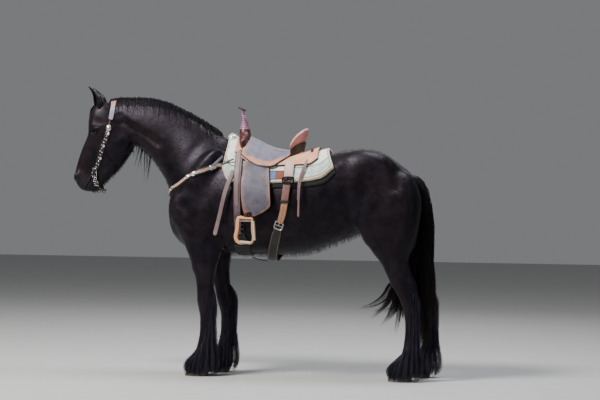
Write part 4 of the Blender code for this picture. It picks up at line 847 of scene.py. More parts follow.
MARKS = (
    # Head: facial crest, nasal groove, hollow over the eye, arch behind it, edge of the cheek.
    Mark(((-1.420, 1.618), (-1.462, 1.560), (-1.498, 1.500)), 0.010, 0.0036),
    Mark(((-1.410, 1.600), (-1.445, 1.545), (-1.480, 1.490)), 0.012, -0.0024),
    Mark(((-1.478, 1.690), (-1.512, 1.580), (-1.560, 1.440)), 0.010, -0.0018),
    Mark(((-1.418, 1.740),), 0.026, -0.0028),
    Mark(((-1.412, 1.702), (-1.370, 1.712), (-1.330, 1.708)), 0.016, 0.0024),
    Mark(((-1.372, 1.640), (-1.362, 1.560), (-1.330, 1.480), (-1.285, 1.440)), 0.013, -0.0036),
    Mark(((-1.400, 1.480), (-1.340, 1.400)), 0.012, -0.0024),
    Mark(((-1.500, 1.470), (-1.530, 1.400)), 0.016, -0.0024),
    # Throat latch, and the crease behind the jaw with the muscle over it.
    Mark(((-1.262, 1.785), (-1.196, 1.715), (-1.160, 1.630), (-1.168, 1.575)), 0.025, -0.0057),
    Mark(((-1.246, 1.738), (-1.188, 1.704), (-1.114, 1.669), (-1.039, 1.627), (-0.994, 1.592)), 0.030,
    -0.0110),
    Mark(((-1.230, 1.768), (-1.150, 1.722), (-1.060, 1.680), (-0.970, 1.620)), 0.030, 0.0026),
    Mark(((-1.170, 1.655), (-1.090, 1.610), (-1.010, 1.545)), 0.030, 0.0026),
    # Neck: under the crest, the long muscle, the windpipe's groove, the edge of the shoulder.
    Mark(((-1.270, 1.842), (-1.100, 1.832), (-0.920, 1.780), (-0.700, 1.670)), 0.027, -0.0023),
    Mark(((-1.120, 1.760), (-0.960, 1.690), (-0.800, 1.560)), 0.062, 0.0026),
    Mark(((-1.120, 1.590), (-1.040, 1.500), (-0.965, 1.390), (-0.905, 1.270)), 0.027, -0.0042),
    Mark(((-1.020, 1.560), (-0.930, 1.420), (-0.860, 1.290)), 0.045, 0.0036),
    Mark(((-0.660, 1.630), (-0.745, 1.520), (-0.800, 1.400), (-0.830, 1.300)), 0.033, -0.0042),
    # Shoulder and upper arm.
    Mark(((-0.590, 1.560), (-0.690, 1.400), (-0.790, 1.230)), 0.037, 0.0036),
    Mark(((-0.520, 1.500), (-0.575, 1.350), (-0.610, 1.230)), 0.045, -0.0052),
    Mark(((-0.800, 1.170), (-0.740, 1.110), (-0.680, 1.090)), 0.033, -0.0042),
    Mark(((-0.740, 1.210), (-0.640, 1.130), (-0.560, 1.020)), 0.050, 0.0047),
    Mark(((-0.520, 1.180), (-0.490, 1.060), (-0.470, 0.960)), 0.037, -0.0052),
    Mark(((-0.770, 1.020), (-0.680, 0.985), (-0.590, 0.950)), 0.027, -0.0036),
    # Fore leg: grooves of the forearm, the knee's bones, the tendons.
    Mark(((-0.690, 0.900), (-0.672, 0.740), (-0.648, 0.610)), 0.018, -0.0026),
    Mark(((-0.610, 0.880), (-0.606, 0.740), (-0.604, 0.620)), 0.015, -0.0021),
    Mark(((-0.652, 0.545), (-0.645, 0.490)), 0.020, 0.0018),
    Mark(((-0.612, 0.560), (-0.606, 0.500), (-0.608, 0.460)), 0.011, -0.0018),
    Mark(((-0.611, 0.440), (-0.612, 0.340), (-0.606, 0.260)), 0.010, -0.0022),
    Mark(((-0.622, 0.235),), 0.027, 0.0021),
    Mark(((-0.600, 0.205), (-0.640, 0.160)), 0.015, -0.0016),
    # Trunk: last ribs, hollow and fold of the flank, point of the hip.
    Mark(((0.170, 1.400), (0.215, 1.250), (0.150, 1.080)), 0.043, 0.0021),
    Mark(((0.255, 1.345),), 0.077, -0.0062),
    Mark(((0.290, 1.435),), 0.037, 0.0036),
    Mark(((0.430, 0.985), (0.350, 1.060), (0.305, 1.180)), 0.030, 0.0031),
    Mark(((0.400, 1.100), (0.355, 1.200), (0.335, 1.320)), 0.033, -0.0042),
    # Haunch and thigh.
    Mark(((0.400, 1.400), (0.440, 1.230), (0.480, 1.060)), 0.069, 0.0042),
    Mark(((0.640, 1.450), (0.690, 1.300), (0.700, 1.130), (0.672, 0.950)), 0.030, -0.0030),
    Mark(((0.740, 1.350), (0.778, 1.180), (0.762, 1.000)), 0.015, -0.0026),
    Mark(((0.560, 1.380), (0.590, 1.200), (0.585, 1.040)), 0.056, 0.0031),
    Mark(((0.540, 1.130), (0.530, 1.030), (0.560, 0.930)), 0.020, -0.0026),
    Mark(((0.490, 0.985),), 0.037, 0.0031),
    # Gaskin, hock and hind cannon.
    Mark(((0.590, 0.910), (0.640, 0.820), (0.680, 0.730)), 0.018, -0.0029),
    Mark(((0.722, 0.840), (0.735, 0.770), (0.765, 0.690)), 0.018, -0.0044),
    Mark(((0.700, 0.640), (0.722, 0.590)), 0.022, 0.0021),
    Mark(((0.765, 0.640), (0.770, 0.570)), 0.015, -0.0023),
    Mark(((0.782, 0.520), (0.786, 0.400), (0.784, 0.270)), 0.010, -0.0022),
    Mark(((0.775, 0.232),), 0.027, 0.0021),
)
SWELLS = (
    ((-0.660, 0.165, 1.380), (0.075, 0.055, 0.230), 36),
    ((-0.808, 0.122, 1.140), (0.095, 0.098, 0.140), 0),
    ((-0.836, 0.070, 1.040), (0.068, 0.072, 0.120), -14),
    ((-0.630, 0.165, 1.120), (0.145, 0.075, 0.120), -25),
    ((-0.525, 0.165, 0.945), (0.055, 0.045, 0.070), 0),
    ((-0.662, 0.160, 0.800), (0.060, 0.062, 0.125), 8),
    ((0.480, 0.140, 1.440), (0.210, 0.120, 0.120), 8),
    ((0.275, 0.235, 1.420), (0.055, 0.035, 0.050), 0),
    ((0.520, 0.190, 1.170), (0.130, 0.100, 0.210), 10),
    ((0.735, 0.130, 1.200), (0.115, 0.120, 0.220), -6),
    ((0.508, 0.185, 0.985), (0.068, 0.080, 0.085), 0),
    ((0.655, 0.185, 0.820), (0.075, 0.055, 0.130), -22),
    ((-1.290, 0.050, 1.600), (0.105, 0.040, 0.100), 0),
    ((-1.440, 0.078, 1.708), (0.045, 0.034, 0.032), 20),
    ((-1.578, 0.034, 1.362), (0.026, 0.026, 0.046), 15),
    ((-1.345, 0.030, 1.420), (0.032, 0.030, 0.120), 42),
)


@dataclass
class Body:
    """The skin: lofts fused by voxels, relaxed, refined at the head and then sculpted."""

    voxel: float = 0.0095
    trunk_relax: int = 44
    limb_relax: int = 12
    coat_depth: float = 0.0015
    nostril: tuple[float, float, float] = (-1.586, 0.050, 1.346)
    mouth: tuple[tuple[float, float], ...] = ((-1.532, 1.234), (-1.508, 1.278), (-1.478, 1.330),
        (-1.453, 1.372))
    bm: bmesh.types.BMesh = field(default_factory=bmesh.new)

    def build(self, finish: bpy.types.Material) -> Surface:
        """Makes the skin and returns it as a surface to lay things on."""
        self.fuse()
        self.relax()
        self.refine()
        self.sculpt()
        self.bm.normal_update()
        surface = Surface(self.bm)
        self.mark(self.bm)
        replaced = ["head", "neck", "torso"]
        for side in Side:
            replaced += [f"{part}_{row}_{side.word}" for part in ("leg", "cannon") for row in ("fore",
                "hind")]
        Bench.finish("skin", self.bm, finish, replaced, "coat")
        return surface

    def fuse(self) -> None:
        """Fuses all lofts into one closed skin."""
        rough = bmesh.new()
        add_loft(rough, TORSO, 44, 54)
        add_loft(rough, NECK, 36, 34)
        add_loft(rough, HEAD, 40, 44)
        for side in Side:
            add_loft(rough, leg_rows(FORE_LEG, side, FORE_Y, FORE_STRIDE), 28, 50)
            add_loft(rough, leg_rows(HIND_LEG, side, HIND_Y, HIND_STRIDE), 28, 54)
            for middle, radii, turn in SWELLS:
                add_swell(rough, middle, radii, turn, side.sign)
        add_swell(rough, (-1.468, 0.0, 1.279), (0.042, 0.038, 0.030), 0, 1)
        rough.normal_update()
        bmesh.ops.recalc_face_normals(rough, faces=rough.faces)
        mesh = bpy.data.meshes.new("rough")
        rough.to_mesh(mesh)
        rough.free()
        holder = bpy.data.objects.new("rough", mesh)
        bpy.context.scene.collection.objects.link(holder)
        step = holder.modifiers.new("fuse", "REMESH")
        step.mode, step.voxel_size = "VOXEL", self.voxel
        graph = bpy.context.evaluated_depsgraph_get()
        fused = bpy.data.meshes.new_from_object(holder.evaluated_get(graph))
        self.bm.from_mesh(fused)
        bpy.data.objects.remove(holder)
        for used in (mesh, fused):
            bpy.data.meshes.remove(used)

    def places(self) -> np.ndarray:
        """Every vertex's place as rows."""
        return np.array([v.co[:] for v in self.bm.verts])

    def move(self, places: np.ndarray) -> None:
        """Puts every vertex at its row."""
        for v, place in zip(self.bm.verts, places):
            v.co = place

    def relax(self) -> None:
        """Smooths the skin, the trunk more than the limbs and the head."""
        self.bm.verts.index_update()
        ends = np.array([[e.verts[0].index, e.verts[1].index] for e in self.bm.edges])
        places = self.places()
        count = np.bincount(ends.ravel(), minlength=len(places)).astype(float)
        trunk = ease(-1.20, -1.02, places[:, 0]) * ease(0.84, 1.00, places[:, 2])
        for step in range(self.trunk_relax):
            share = np.full(len(places), 0.55) if step < self.limb_relax else 0.55 * trunk
            total = np.stack(
                [
                    np.bincount(ends[:, 0], places[ends[:, 1], k], len(places))
                    + np.bincount(ends[:, 1], places[ends[:, 0], k], len(places))
                    for k in range(3)
                ],
                axis=1,
            )
            places += (total / count[:, None] - places) * share[:, None]
        self.move(places)

    def refine(self) -> None:
        """Makes the faces finer on the head, and finer still round eyes, nostrils and mouth."""
        def head(c: Vector) -> bool:
            """Whether a place is on the head."""
            return c.x < -1.17 and c.z > 1.2 and c.x + 0.35 * (c.z - 1.55) < -1.17

        def fine(c: Vector) -> bool:
            """Whether a place gets the first round of finer faces."""
            eye = (c.x - EYE_AT[0]) ** 2 + (c.z - EYE_AT[1]) ** 2 < 0.052 ** 2
            return eye or c.z < 1.40 and c.x < -1.43

        def finest(c: Vector) -> bool:
            """Whether a place gets the second round of finer faces."""
            eye = (c.x - EYE_AT[0]) ** 2 + (c.z - EYE_AT[1]) ** 2 < 0.036 ** 2
            near = abs(c.x - self.nostril[0]) < 0.024 and abs(c.z - self.nostril[2]) < 0.034
            lips = line_distance(np.array([c.x]), np.array([c.z]), self.mouth)[0] < 0.012
            return eye or near or lips

        for chosen in (head, fine, finest):
            faces = [f for f in self.bm.faces if chosen(f.calc_center_median())]
            edges = list({e for f in faces for e in f.edges})
            bmesh.ops.subdivide_edges(self.bm, edges=edges, cuts=1, use_grid_fill=True)
            verts = [v for v in self.bm.verts if chosen(v.co)]
            for _ in range(2):
                bmesh.ops.smooth_vert(self.bm, verts=verts, factor=0.5, use_axis_x=True, use_axis_y=True,
                    use_axis_z=True)
        bmesh.ops.triangulate(self.bm, faces=[f for f in self.bm.faces if len(f.verts) > 4])

    def rest(self, places: np.ndarray) -> np.ndarray:
        """Where each place would be if the far legs stood beside the near ones."""
        x = places[:, 0].copy()
        back = ease(0.0, 0.62, 1.0 - places[:, 2])
        far = places[:, 1] > 0
        x -= np.where(far, np.where(x < 0, FORE_STRIDE, HIND_STRIDE) * back, 0.0)
        return x

    def sculpt(self) -> None:
        """Moves the skin out and in: muscles, bones, tendons, lids, nostrils and lips."""
        self.bm.normal_update()
        places = self.places()
        out = np.array([v.normal[:] for v in self.bm.verts])
        x, z = self.rest(places), places[:, 2]
        outward = np.where(z < 0.90, np.abs(out[:, 1]), np.clip(out[:, 1] * np.sign(places[:, 1]), 0, 1))
        lift = np.full(len(places), -self.coat_depth)
        for mark in MARKS:
            weight = 1.0 if mark.facing == 0 else outward ** mark.facing
            lift += mark.lift * hill(line_distance(x, z, mark.line), 0.0, mark.reach) * weight
        croup = ease(0.30, 0.42, places[:, 0]) * ease(0.0, 0.1, 0.76 - places[:, 0]) * np.clip(out[:, 2], 0,
            1)
        lift -= 0.010 * croup * hill(places[:, 1], 0.0, 0.018)
        breast = ease(0.0, 0.08, -0.80 - places[:, 0]) * ease(0.92, 0.98, z) * ease(0.0, 0.1, 1.24 - z)
        lift -= 0.012 * breast * hill(places[:, 1], 0.0, 0.016) * np.clip(-out[:, 0], 0, 1)
        lift += self.eye_lift(places, out) + self.nostril_lift(places) + self.mouth_lift(places)
        self.move(places + out * lift[:, None])

    def eye_shape(self, places: np.ndarray) -> tuple[np.ndarray, np.ndarray]:
        """Distance from the eye in units of its opening, and height above its long axis."""
        dx, dz = places[:, 0] - EYE_AT[0], places[:, 2] - EYE_AT[1]
        c, s = math.cos(0.30), math.sin(0.30)
        along, up = dx * c + dz * s, -dx * s + dz * c
        high = np.where(up > 0, 0.0125, 0.0110)
        return np.sqrt((along / 0.0205) ** 2 + (up / high) ** 2), up

    def eye_lift(self, places: np.ndarray, out: np.ndarray) -> np.ndarray:
        """Socket, two lids and the folds round them."""
        away, up = self.eye_shape(places)
        upper = ease(-0.004, 0.006, up)
        lift = -0.014 * (1 - ease(0.80, 1.02, away))
        lift += (0.0042 + 0.0022 * upper) * hill(away, 1.20, 0.20)
        lift -= (0.0022 + 0.0018 * upper) * hill(away, 1.62, 0.14)
        lift += 0.0022 * hill(away, 1.95, 0.22) * (0.4 + 0.6 * upper)
        lift -= 0.0012 * hill(away, 2.35, 0.15)
        return lift * (np.abs(places[:, 1]) > 0.04) * (away < 3.2)

    def nostril_lift(self, places: np.ndarray) -> np.ndarray:
        """A deep comma-shaped opening with a raised wing."""
        dx, dz = places[:, 0] - self.nostril[0], places[:, 2] - self.nostril[2]
        c, s = math.cos(0.42), math.sin(0.42)
        along, across = -dx * s + dz * c, dx * c + dz * s
        across = across - 6.0 * along ** 2
        away = np.sqrt((along / 0.0200) ** 2 + (across / 0.0090) ** 2)
        lift = -0.016 * (1 - ease(0.55, 1.05, away)) + 0.0042 * hill(away, 1.35, 0.32)
        lift -= 0.0016 * hill(away, 2.3, 0.35)
        return lift * (np.abs(places[:, 1]) > 0.018)

    def mouth_lift(self, places: np.ndarray) -> np.ndarray:
        """The line between the lips, and the lips' fullness beside it."""
        away = line_distance(places[:, 0], places[:, 2], self.mouth)
        lift = -0.0065 * hill(away, 0.0, 0.0028) + 0.0022 * hill(away, 0.0095, 0.0050)
        chin = line_distance(places[:, 0], places[:, 2], ((-1.438, 1.322), (-1.460, 1.290)))
        return lift - 0.0030 * hill(chin, 0.0, 0.008)

    def mark(self, bm: bmesh.types.BMesh) -> None:
        """Writes where the coat lies downwards, and where the bare soft skin of the muzzle is."""
        down = bm.verts.layers.float.new("down")
        muzzle = bm.verts.layers.float.new("muzzle")
        places = np.array([v.co[:] for v in bm.verts])
        legs = ease(0.0, 0.15, 1.02 - places[:, 2]) * np.where(np.abs(places[:, 0] + 0.1) > 0.28, 1.0, 0.0)
        head = ease(0.0, 0.08, -1.22 - places[:, 0] - 0.35 * (places[:, 2] - 1.55))
        soft = ease(0.0, 0.05, 1.385 - places[:, 2]) * (places[:, 0] < -1.40)
        away, _ = self.eye_shape(places)
        soft = np.maximum(soft, (1 - ease(1.3, 1.8, away)) * (places[:, 0] < -1.3))
        for v, a, b in zip(bm.verts, np.maximum(legs, head), soft):
            v[down] = float(a)
            v[muzzle] = float(b)


@dataclass
class Eye:
    """One eyeball with a bulged cornea, set under the lids."""

    side: Side
    gaze: tuple[float, float] = (0.30, 0.05)

    def build(self, skin_side: float, finish: bpy.types.Material) -> None:
        """Makes the ball and the flat map that its iris is painted by."""
        bm = bmesh.new()
        bmesh.ops.create_uvsphere(bm, u_segments=48, v_segments=32, radius=EYE_RADIUS)
        middle = Vector((EYE_AT[0], self.side.sign * (skin_side - EYE_DEPTH), EYE_AT[1]))
        look = Vector((-self.gaze[0], self.side.sign, self.gaze[1])).normalized()
        long = Vector((math.cos(0.30), 0, math.sin(0.30)))
        long = (long - look * long.dot(look)).normalized()
        high = look.cross(long) * self.side.sign
        layer = bm.loops.layers.uv.new("gaze")
        for v in bm.verts:
            bulge = max(0.0, v.co.normalized().dot(look) - 0.80) / 0.20
            v.co *= 1.0 + 0.06 * bulge * bulge * (3 - 2 * bulge)
        for face in bm.faces:
            for loop in face.loops:
                at = loop.vert.co / EYE_RADIUS
                behind = 1.0 if at.dot(look) > 0 else 3.0
                loop[layer].uv = (at.dot(long) * behind, at.dot(high) * behind)
        bmesh.ops.translate(bm, vec=middle, verts=bm.verts)
        Bench.finish(f"eyeball_{self.side.word}", bm, finish, [f"eye_{self.side.word}"], "eye")


@dataclass
class Ear:
    """One pricked ear: a rolled leaf with a wall, open to the front and outside."""

    side: Side
    foot: tuple[float, float, float] = (-1.418, 0.054, 1.838)
    tip: tuple[float, float, float] = (-1.500, 0.064, 1.986)
    wall: float = 0.0045

    def build(self, finish: bpy.types.Material) -> Surface:
        """Makes the ear and returns it as a surface."""
        bm = bmesh.new()
        bmesh.ops.create_grid(bm, x_segments=28, y_segments=30, size=1.0)
        foot, tip = Vector(self.foot), Vector(self.tip)
        axis = (tip - foot).normalized()
        back = Vector((0.80, -0.60, 0.0))
        back = (back - axis * back.dot(axis)).normalized()
        across = axis.cross(back).normalized()
        keys = np.array([0.0, 0.15, 0.42, 0.64, 0.84, 0.95, 1.0])
        width = np.array([0.022, 0.030, 0.030, 0.0175, 0.0085, 0.0040, 0.0008])
        turn = np.array([150, 138, 112, 96, 84, 78, 70.0])
        for v in bm.verts:
            u, t = v.co.x, (v.co.y + 1) / 2
            half = float(np.interp(t, keys, width))
            angle = math.radians(float(np.interp(t, keys, turn))) * u
            centre = foot.lerp(tip,
                t) + across * 0.010 * math.sin(math.pi * t) * 0.6 + back * 0.012 * math.sin(math.pi * t)
            v.co = centre + back * half * math.cos(angle) * 1.10 + across * half * math.sin(angle)
            v.co.y *= self.side.sign
        bm.normal_update()
        if self.side is Side.FAR:
            bmesh.ops.reverse_faces(bm, faces=bm.faces)
        bmesh.ops.solidify(bm, geom=bm.faces[:], thickness=self.wall)
        bm.normal_update()
        bmesh.ops.recalc_face_normals(bm, faces=bm.faces)
        for name in ("down", "muzzle"):
            layer = bm.verts.layers.float.new(name)
            for v in bm.verts:
                v[layer] = 1.0 if name == "down" else 0.0
        surface = Surface(bm)
        Bench.finish(f"ear_leaf_{self.side.word}", bm, finish, [f"ear_{self.side.word}"], "coat")
        return surface


@dataclass
class Hoof:
    """One hoof wall with its heels, flat on the floor."""

    fore: bool
    side: Side

    @property
    def row(self) -> str:
        """The word for its pair."""
        return "fore" if self.fore else "hind"

    @property
    def shift(self) -> float:
        """How far behind the near fore hoof it stands."""
        stride = FORE_STRIDE if self.fore else HIND_STRIDE
        return (0.0 if self.fore else HIND_HOOF_SHIFT) + (stride if self.side is Side.FAR else 0.0)

    @property
    def y(self) -> float:
        """Its place across the horse."""
        return self.side.sign * (FORE_Y if self.fore else HIND_Y)

    def build(self, finish: bpy.types.Material) -> None:
        """Makes the hoof."""
        rows = HOOF.copy()
        rows[:, [0, 2]] += self.shift
        rows[:, 8] = self.y
        bm = bmesh.new()
        add_loft(bm, rows, 40, 16)
        bm.normal_update()
        bmesh.ops.recalc_face_normals(bm, faces=bm.faces)
        for v in bm.verts:
            v.co.z = max(v.co.z, 0.0004)
        name = f"hoof_{self.row}_{self.side.word}"
        Bench.finish(f"{name}_wall", bm, finish, [name], "horn_black")



def bake_place(points: np.ndarray) -> np.ndarray:
    """Where each place lies on a flat unwrap of the skin: a tile for each part of the body.

    Args:
        points: Places in the measuring frame, one a row.

    Returns:
        Map places in 0..1, one a row.
    """
    x, y, z = points[:, 0], points[:, 1], points[:, 2]
    made = np.zeros((len(points), 2))

    def tile(chosen: np.ndarray, left: float, low: float, wide: float, high: float, turn: np.ndarray,
            along: np.ndarray) -> None:
        """Lays one part of the map out for the chosen corners."""
        made[chosen, 0] = left + wide * (0.02 + 0.94 * np.clip(turn[chosen] / (2 * math.pi) + 0.5, 0, 1))
        made[chosen, 1] = low + high * (0.02 + 0.94 * np.clip(along[chosen], 0, 1))

    legs = z < 0.85
    head = (x + 0.33 * (z - 1.55) < -1.19) & ~legs
    neck = (x + 0.45 * (z - 1.2) < -0.62) & (x < -0.56) & ~head & ~legs & (z > 1.25)
    torso = ~(legs | head | neck)
    tile(torso, 0.0, 0.0, 0.5, 1.0, np.arctan2(y, z - 1.2), (x + 1.0) / 2.0)
    tile(neck, 0.5, 0.0, 0.25, 0.5, np.arctan2(y, z - 1.62 + 0.5 * np.clip(x + 1.0, 0, 1)),
        (x + 1.35) / 0.85)
    tile(head, 0.75, 0.0, 0.25, 0.5, np.arctan2(y, -(x + 1.36 + 0.25 * (1.75 - z))), (z - 1.22) / 0.80)
    for k, (fore, near) in enumerate(((1, 1), (1, 0), (0, 1), (0, 0))):
        chosen = legs & ((x < 0) == bool(fore)) & ((y < 0) == bool(near))
        middle = (-0.62 if fore else 0.74) + (0 if near else 0.09)
        side = -1 if near else 1
        tile(chosen, 0.5 + 0.125 * k, 0.5, 0.125, 0.5, np.arctan2(y - side * 0.16, x - middle), z / 0.85)
    return made


@dataclass
class Strands:
    """Many closed strands made at once from guide paths."""

    name: str
    finish: bpy.types.Material
    sides: int = 3

    def resample(self, paths: np.ndarray, count: int) -> np.ndarray:
        """Reads every path at evenly spaced steps of a smooth curve through its points."""
        knots = paths.shape[1]
        at = np.linspace(0, knots - 1, count)
        i = np.clip(at.astype(int), 0, knots - 2)
        t = (at - i)[None, :, None]
        p0, p1 = paths[:, np.maximum(i - 1, 0)], paths[:, i]
        p2, p3 = paths[:, i + 1], paths[:, np.minimum(i + 2, knots - 1)]
        return 0.5 * (
            2 * p1 + (p2 - p0) * t + (2 * p0 - 5 * p1 + 4 * p2 - p3) * t * t + (3 * p1 - p0 - 3 * p2 + p3)
            * t ** 3
        )

    def build(
        self,
        paths: np.ndarray,
        outward: np.ndarray,
        width: np.ndarray,
        thick: np.ndarray,
        count: int,
        rng: np.random.Generator,
        replaces: Sequence[str] = (),
        slot: str = "hair",
        floor: float = 0.0015,
    ) -> bpy.types.Object:
        """Makes one piece of all the strands.

        Args:
            paths: Guide points, strand by strand.
            outward: The way each strand's flat face looks.
            width: Each strand's width.
            thick: Each strand's thickness.
            count: Rings along a strand.
            rng: For the strands' shades.
            replaces: CAD nodes that the piece stands for.
            slot: Not used.
            floor: Lowest height of any point.

        Returns:
            The piece.
        """
        curve = self.resample(paths, count + 1)
        total = len(curve)
        along = np.gradient(curve, axis=1)
        along /= np.linalg.norm(along, axis=2, keepdims=True) + 1e-9
        out = np.broadcast_to(outward[:, None, :], along.shape)
        across = np.cross(along, out)
        across /= np.linalg.norm(across, axis=2, keepdims=True) + 1e-9
        out = np.cross(across, along)
        share = np.linspace(0, 1, count + 1)
        taper = np.clip(0.55 + 1.8 * share, 0, 1) * np.clip(1.06 - share, 0, 1) ** 0.6
        w = width[:, None, None] * taper[None, :, None] / 2
        h = thick[:, None, None] * taper[None, :, None]
        body = slice(0, count)
        rows = np.stack([curve - across * w, curve + out * h, curve + across * w], axis=2)[:, body]
        points = np.concatenate([rows.reshape(total, count * 3, 3), curve[:, -1:]], axis=1)
        points[:, :, 2] = np.maximum(points[:, :, 2], floor)
        each = count * 3 + 1
        faces = [(0, 2, 1)]
        for r in range(count - 1):
            for k in range(3):
                a, b = r * 3 + k, r * 3 + (k + 1) % 3
                faces += [(a, b, b + 3), (a, b + 3, a + 3)]
        last = (count - 1) * 3
        faces += [(last + k, last + (k + 1) % 3, each - 1) for k in range(3)]
        pattern = np.array(faces)
        corner = points[0][pattern]
        if np.einsum("ij,ij->i", corner[:, 0], np.cross(corner[:, 1], corner[:, 2])).sum() < 0:
            pattern = pattern[:, ::-1]
        index = (pattern[None] + (np.arange(total) * each)[:, None, None]).reshape(-1)
        roots = bake_place(curve[:, 0])
        points[:, :, 0] += SHIFT
        mesh = bpy.data.meshes.new(self.name)
        mesh.vertices.add(total * each)
        mesh.vertices.foreach_set("co", points.reshape(-1).astype(np.float32))
        mesh.loops.add(len(index))
        mesh.loops.foreach_set("vertex_index", index.astype(np.int32))
        mesh.polygons.add(len(index) // 3)
        mesh.polygons.foreach_set("loop_start", np.arange(0, len(index), 3, dtype=np.int32))
        mesh.polygons.foreach_set("use_smooth", np.ones(len(index) // 3, bool))
        mesh.update(calc_edges=True)
        flat = np.zeros((total, each, 2))
        flat[:, :-1, 0] = np.tile([0.0, 0.5, 1.0], count)
        flat[:, :-1, 1] = np.repeat(share[:-1], 3)
        flat[:, -1] = (0.5, 1.0)
        flat = roots[:, None] + flat * 0.003
        uv = mesh.uv_layers.new(name="OFBake")
        uv.data.foreach_set("uv", flat.reshape(-1, 2)[index].reshape(-1).astype(np.float32))
        values = {"along": np.tile(np.append(np.repeat(share[:-1], 3), 1.0), total),
            "shade": np.repeat(rng.random(total), each)}
        for key, value in values.items():
            mesh.attributes.new(key, "FLOAT", "POINT").data.foreach_set("value", value.astype(np.float32))
        mesh.validate()
        return Bench.place(self.name, mesh, self.finish, replaces, slot)


def spread_strands(
    guides: np.ndarray,
    outward: np.ndarray,
    each: int,
    spread: float,
    depth: float,
    gather: float,
    rng: np.random.Generator,
    wave: float = 0.0,
    loose: float = 0.10,
    short: float = 0.72,
) -> tuple[np.ndarray, np.ndarray]:
    """Turns clump guides into strands that draw together towards their tips.

    Args:
        guides: Clump paths.
        outward: One outward way for each clump.
        each: Strands in a clump.
        spread: Half the clump's width.
        depth: How far the strands lie over one another outwards.
        gather: Share of the spread that is left at the tip.
        rng: Random draws.
        wave: Size of the strands' own waves.
        loose: Share of strands that stray.
        short: Least share of the guide that a strand follows.

    Returns:
        The strands' paths and their outward ways.
    """
    clumps, knots, _ = guides.shape
    share = np.linspace(0, 1, knots)
    along = np.gradient(guides, axis=1)
    along /= np.linalg.norm(along, axis=2, keepdims=True) + 1e-9
    out = np.broadcast_to(outward[:, None, :], along.shape)
    across = np.cross(along, out)
    across /= np.linalg.norm(across, axis=2, keepdims=True) + 1e-9
    paths, ways = [], []
    for _ in range(each):
        stray = rng.random(clumps) < loose
        place = rng.uniform(-1, 1, clumps) * np.where(stray, 1.6, 1.0)
        deep = rng.random(clumps) * depth
        draw = np.where(stray, 1.3, gather)[:, None]
        width = spread * place[:, None] * (1 + (draw - 1) * share[None] ** 1.2)
        phase, pitch = rng.uniform(0, 6.28, (clumps, 1)), rng.uniform(7, 13, (clumps, 1))
        width = width + wave * share[None] * np.sin(pitch * share[None] + phase)
        lift = deep[:, None] * np.sin(math.pi * np.clip(share, 0, 0.75))[None]
        path = guides + across * width[..., None] + outward[:, None, :] * lift[..., None]
        at = rng.uniform(short, 1.0, (clumps, 1)) * np.arange(knots)[None]
        low = np.minimum(at.astype(int), knots - 2)
        part = (at - low)[..., None]
        row = np.arange(clumps)[:, None]
        paths.append(path[row, low] * (1 - part) + path[row, low + 1] * part)
        ways.append(outward + rng.uniform(-0.35, 0.35, (clumps, 3)))
    return np.concatenate(paths), np.concatenate(ways)


def underside(x: np.ndarray | float) -> np.ndarray | float:
    """Height of the neck's lower line at a place along the horse."""
    return np.interp(x, NECK[:, 2], NECK[:, 3])


CREST = ((-1.385, 0, 1.884), (-1.285, 0, 1.901), (-1.120, 0, 1.901), (-0.985, 0, 1.880), (-0.855, 0, 1.828),
         (-0.745, 0, 1.775), (-0.630, 0, 1.706), (-0.570, 0, 1.668))


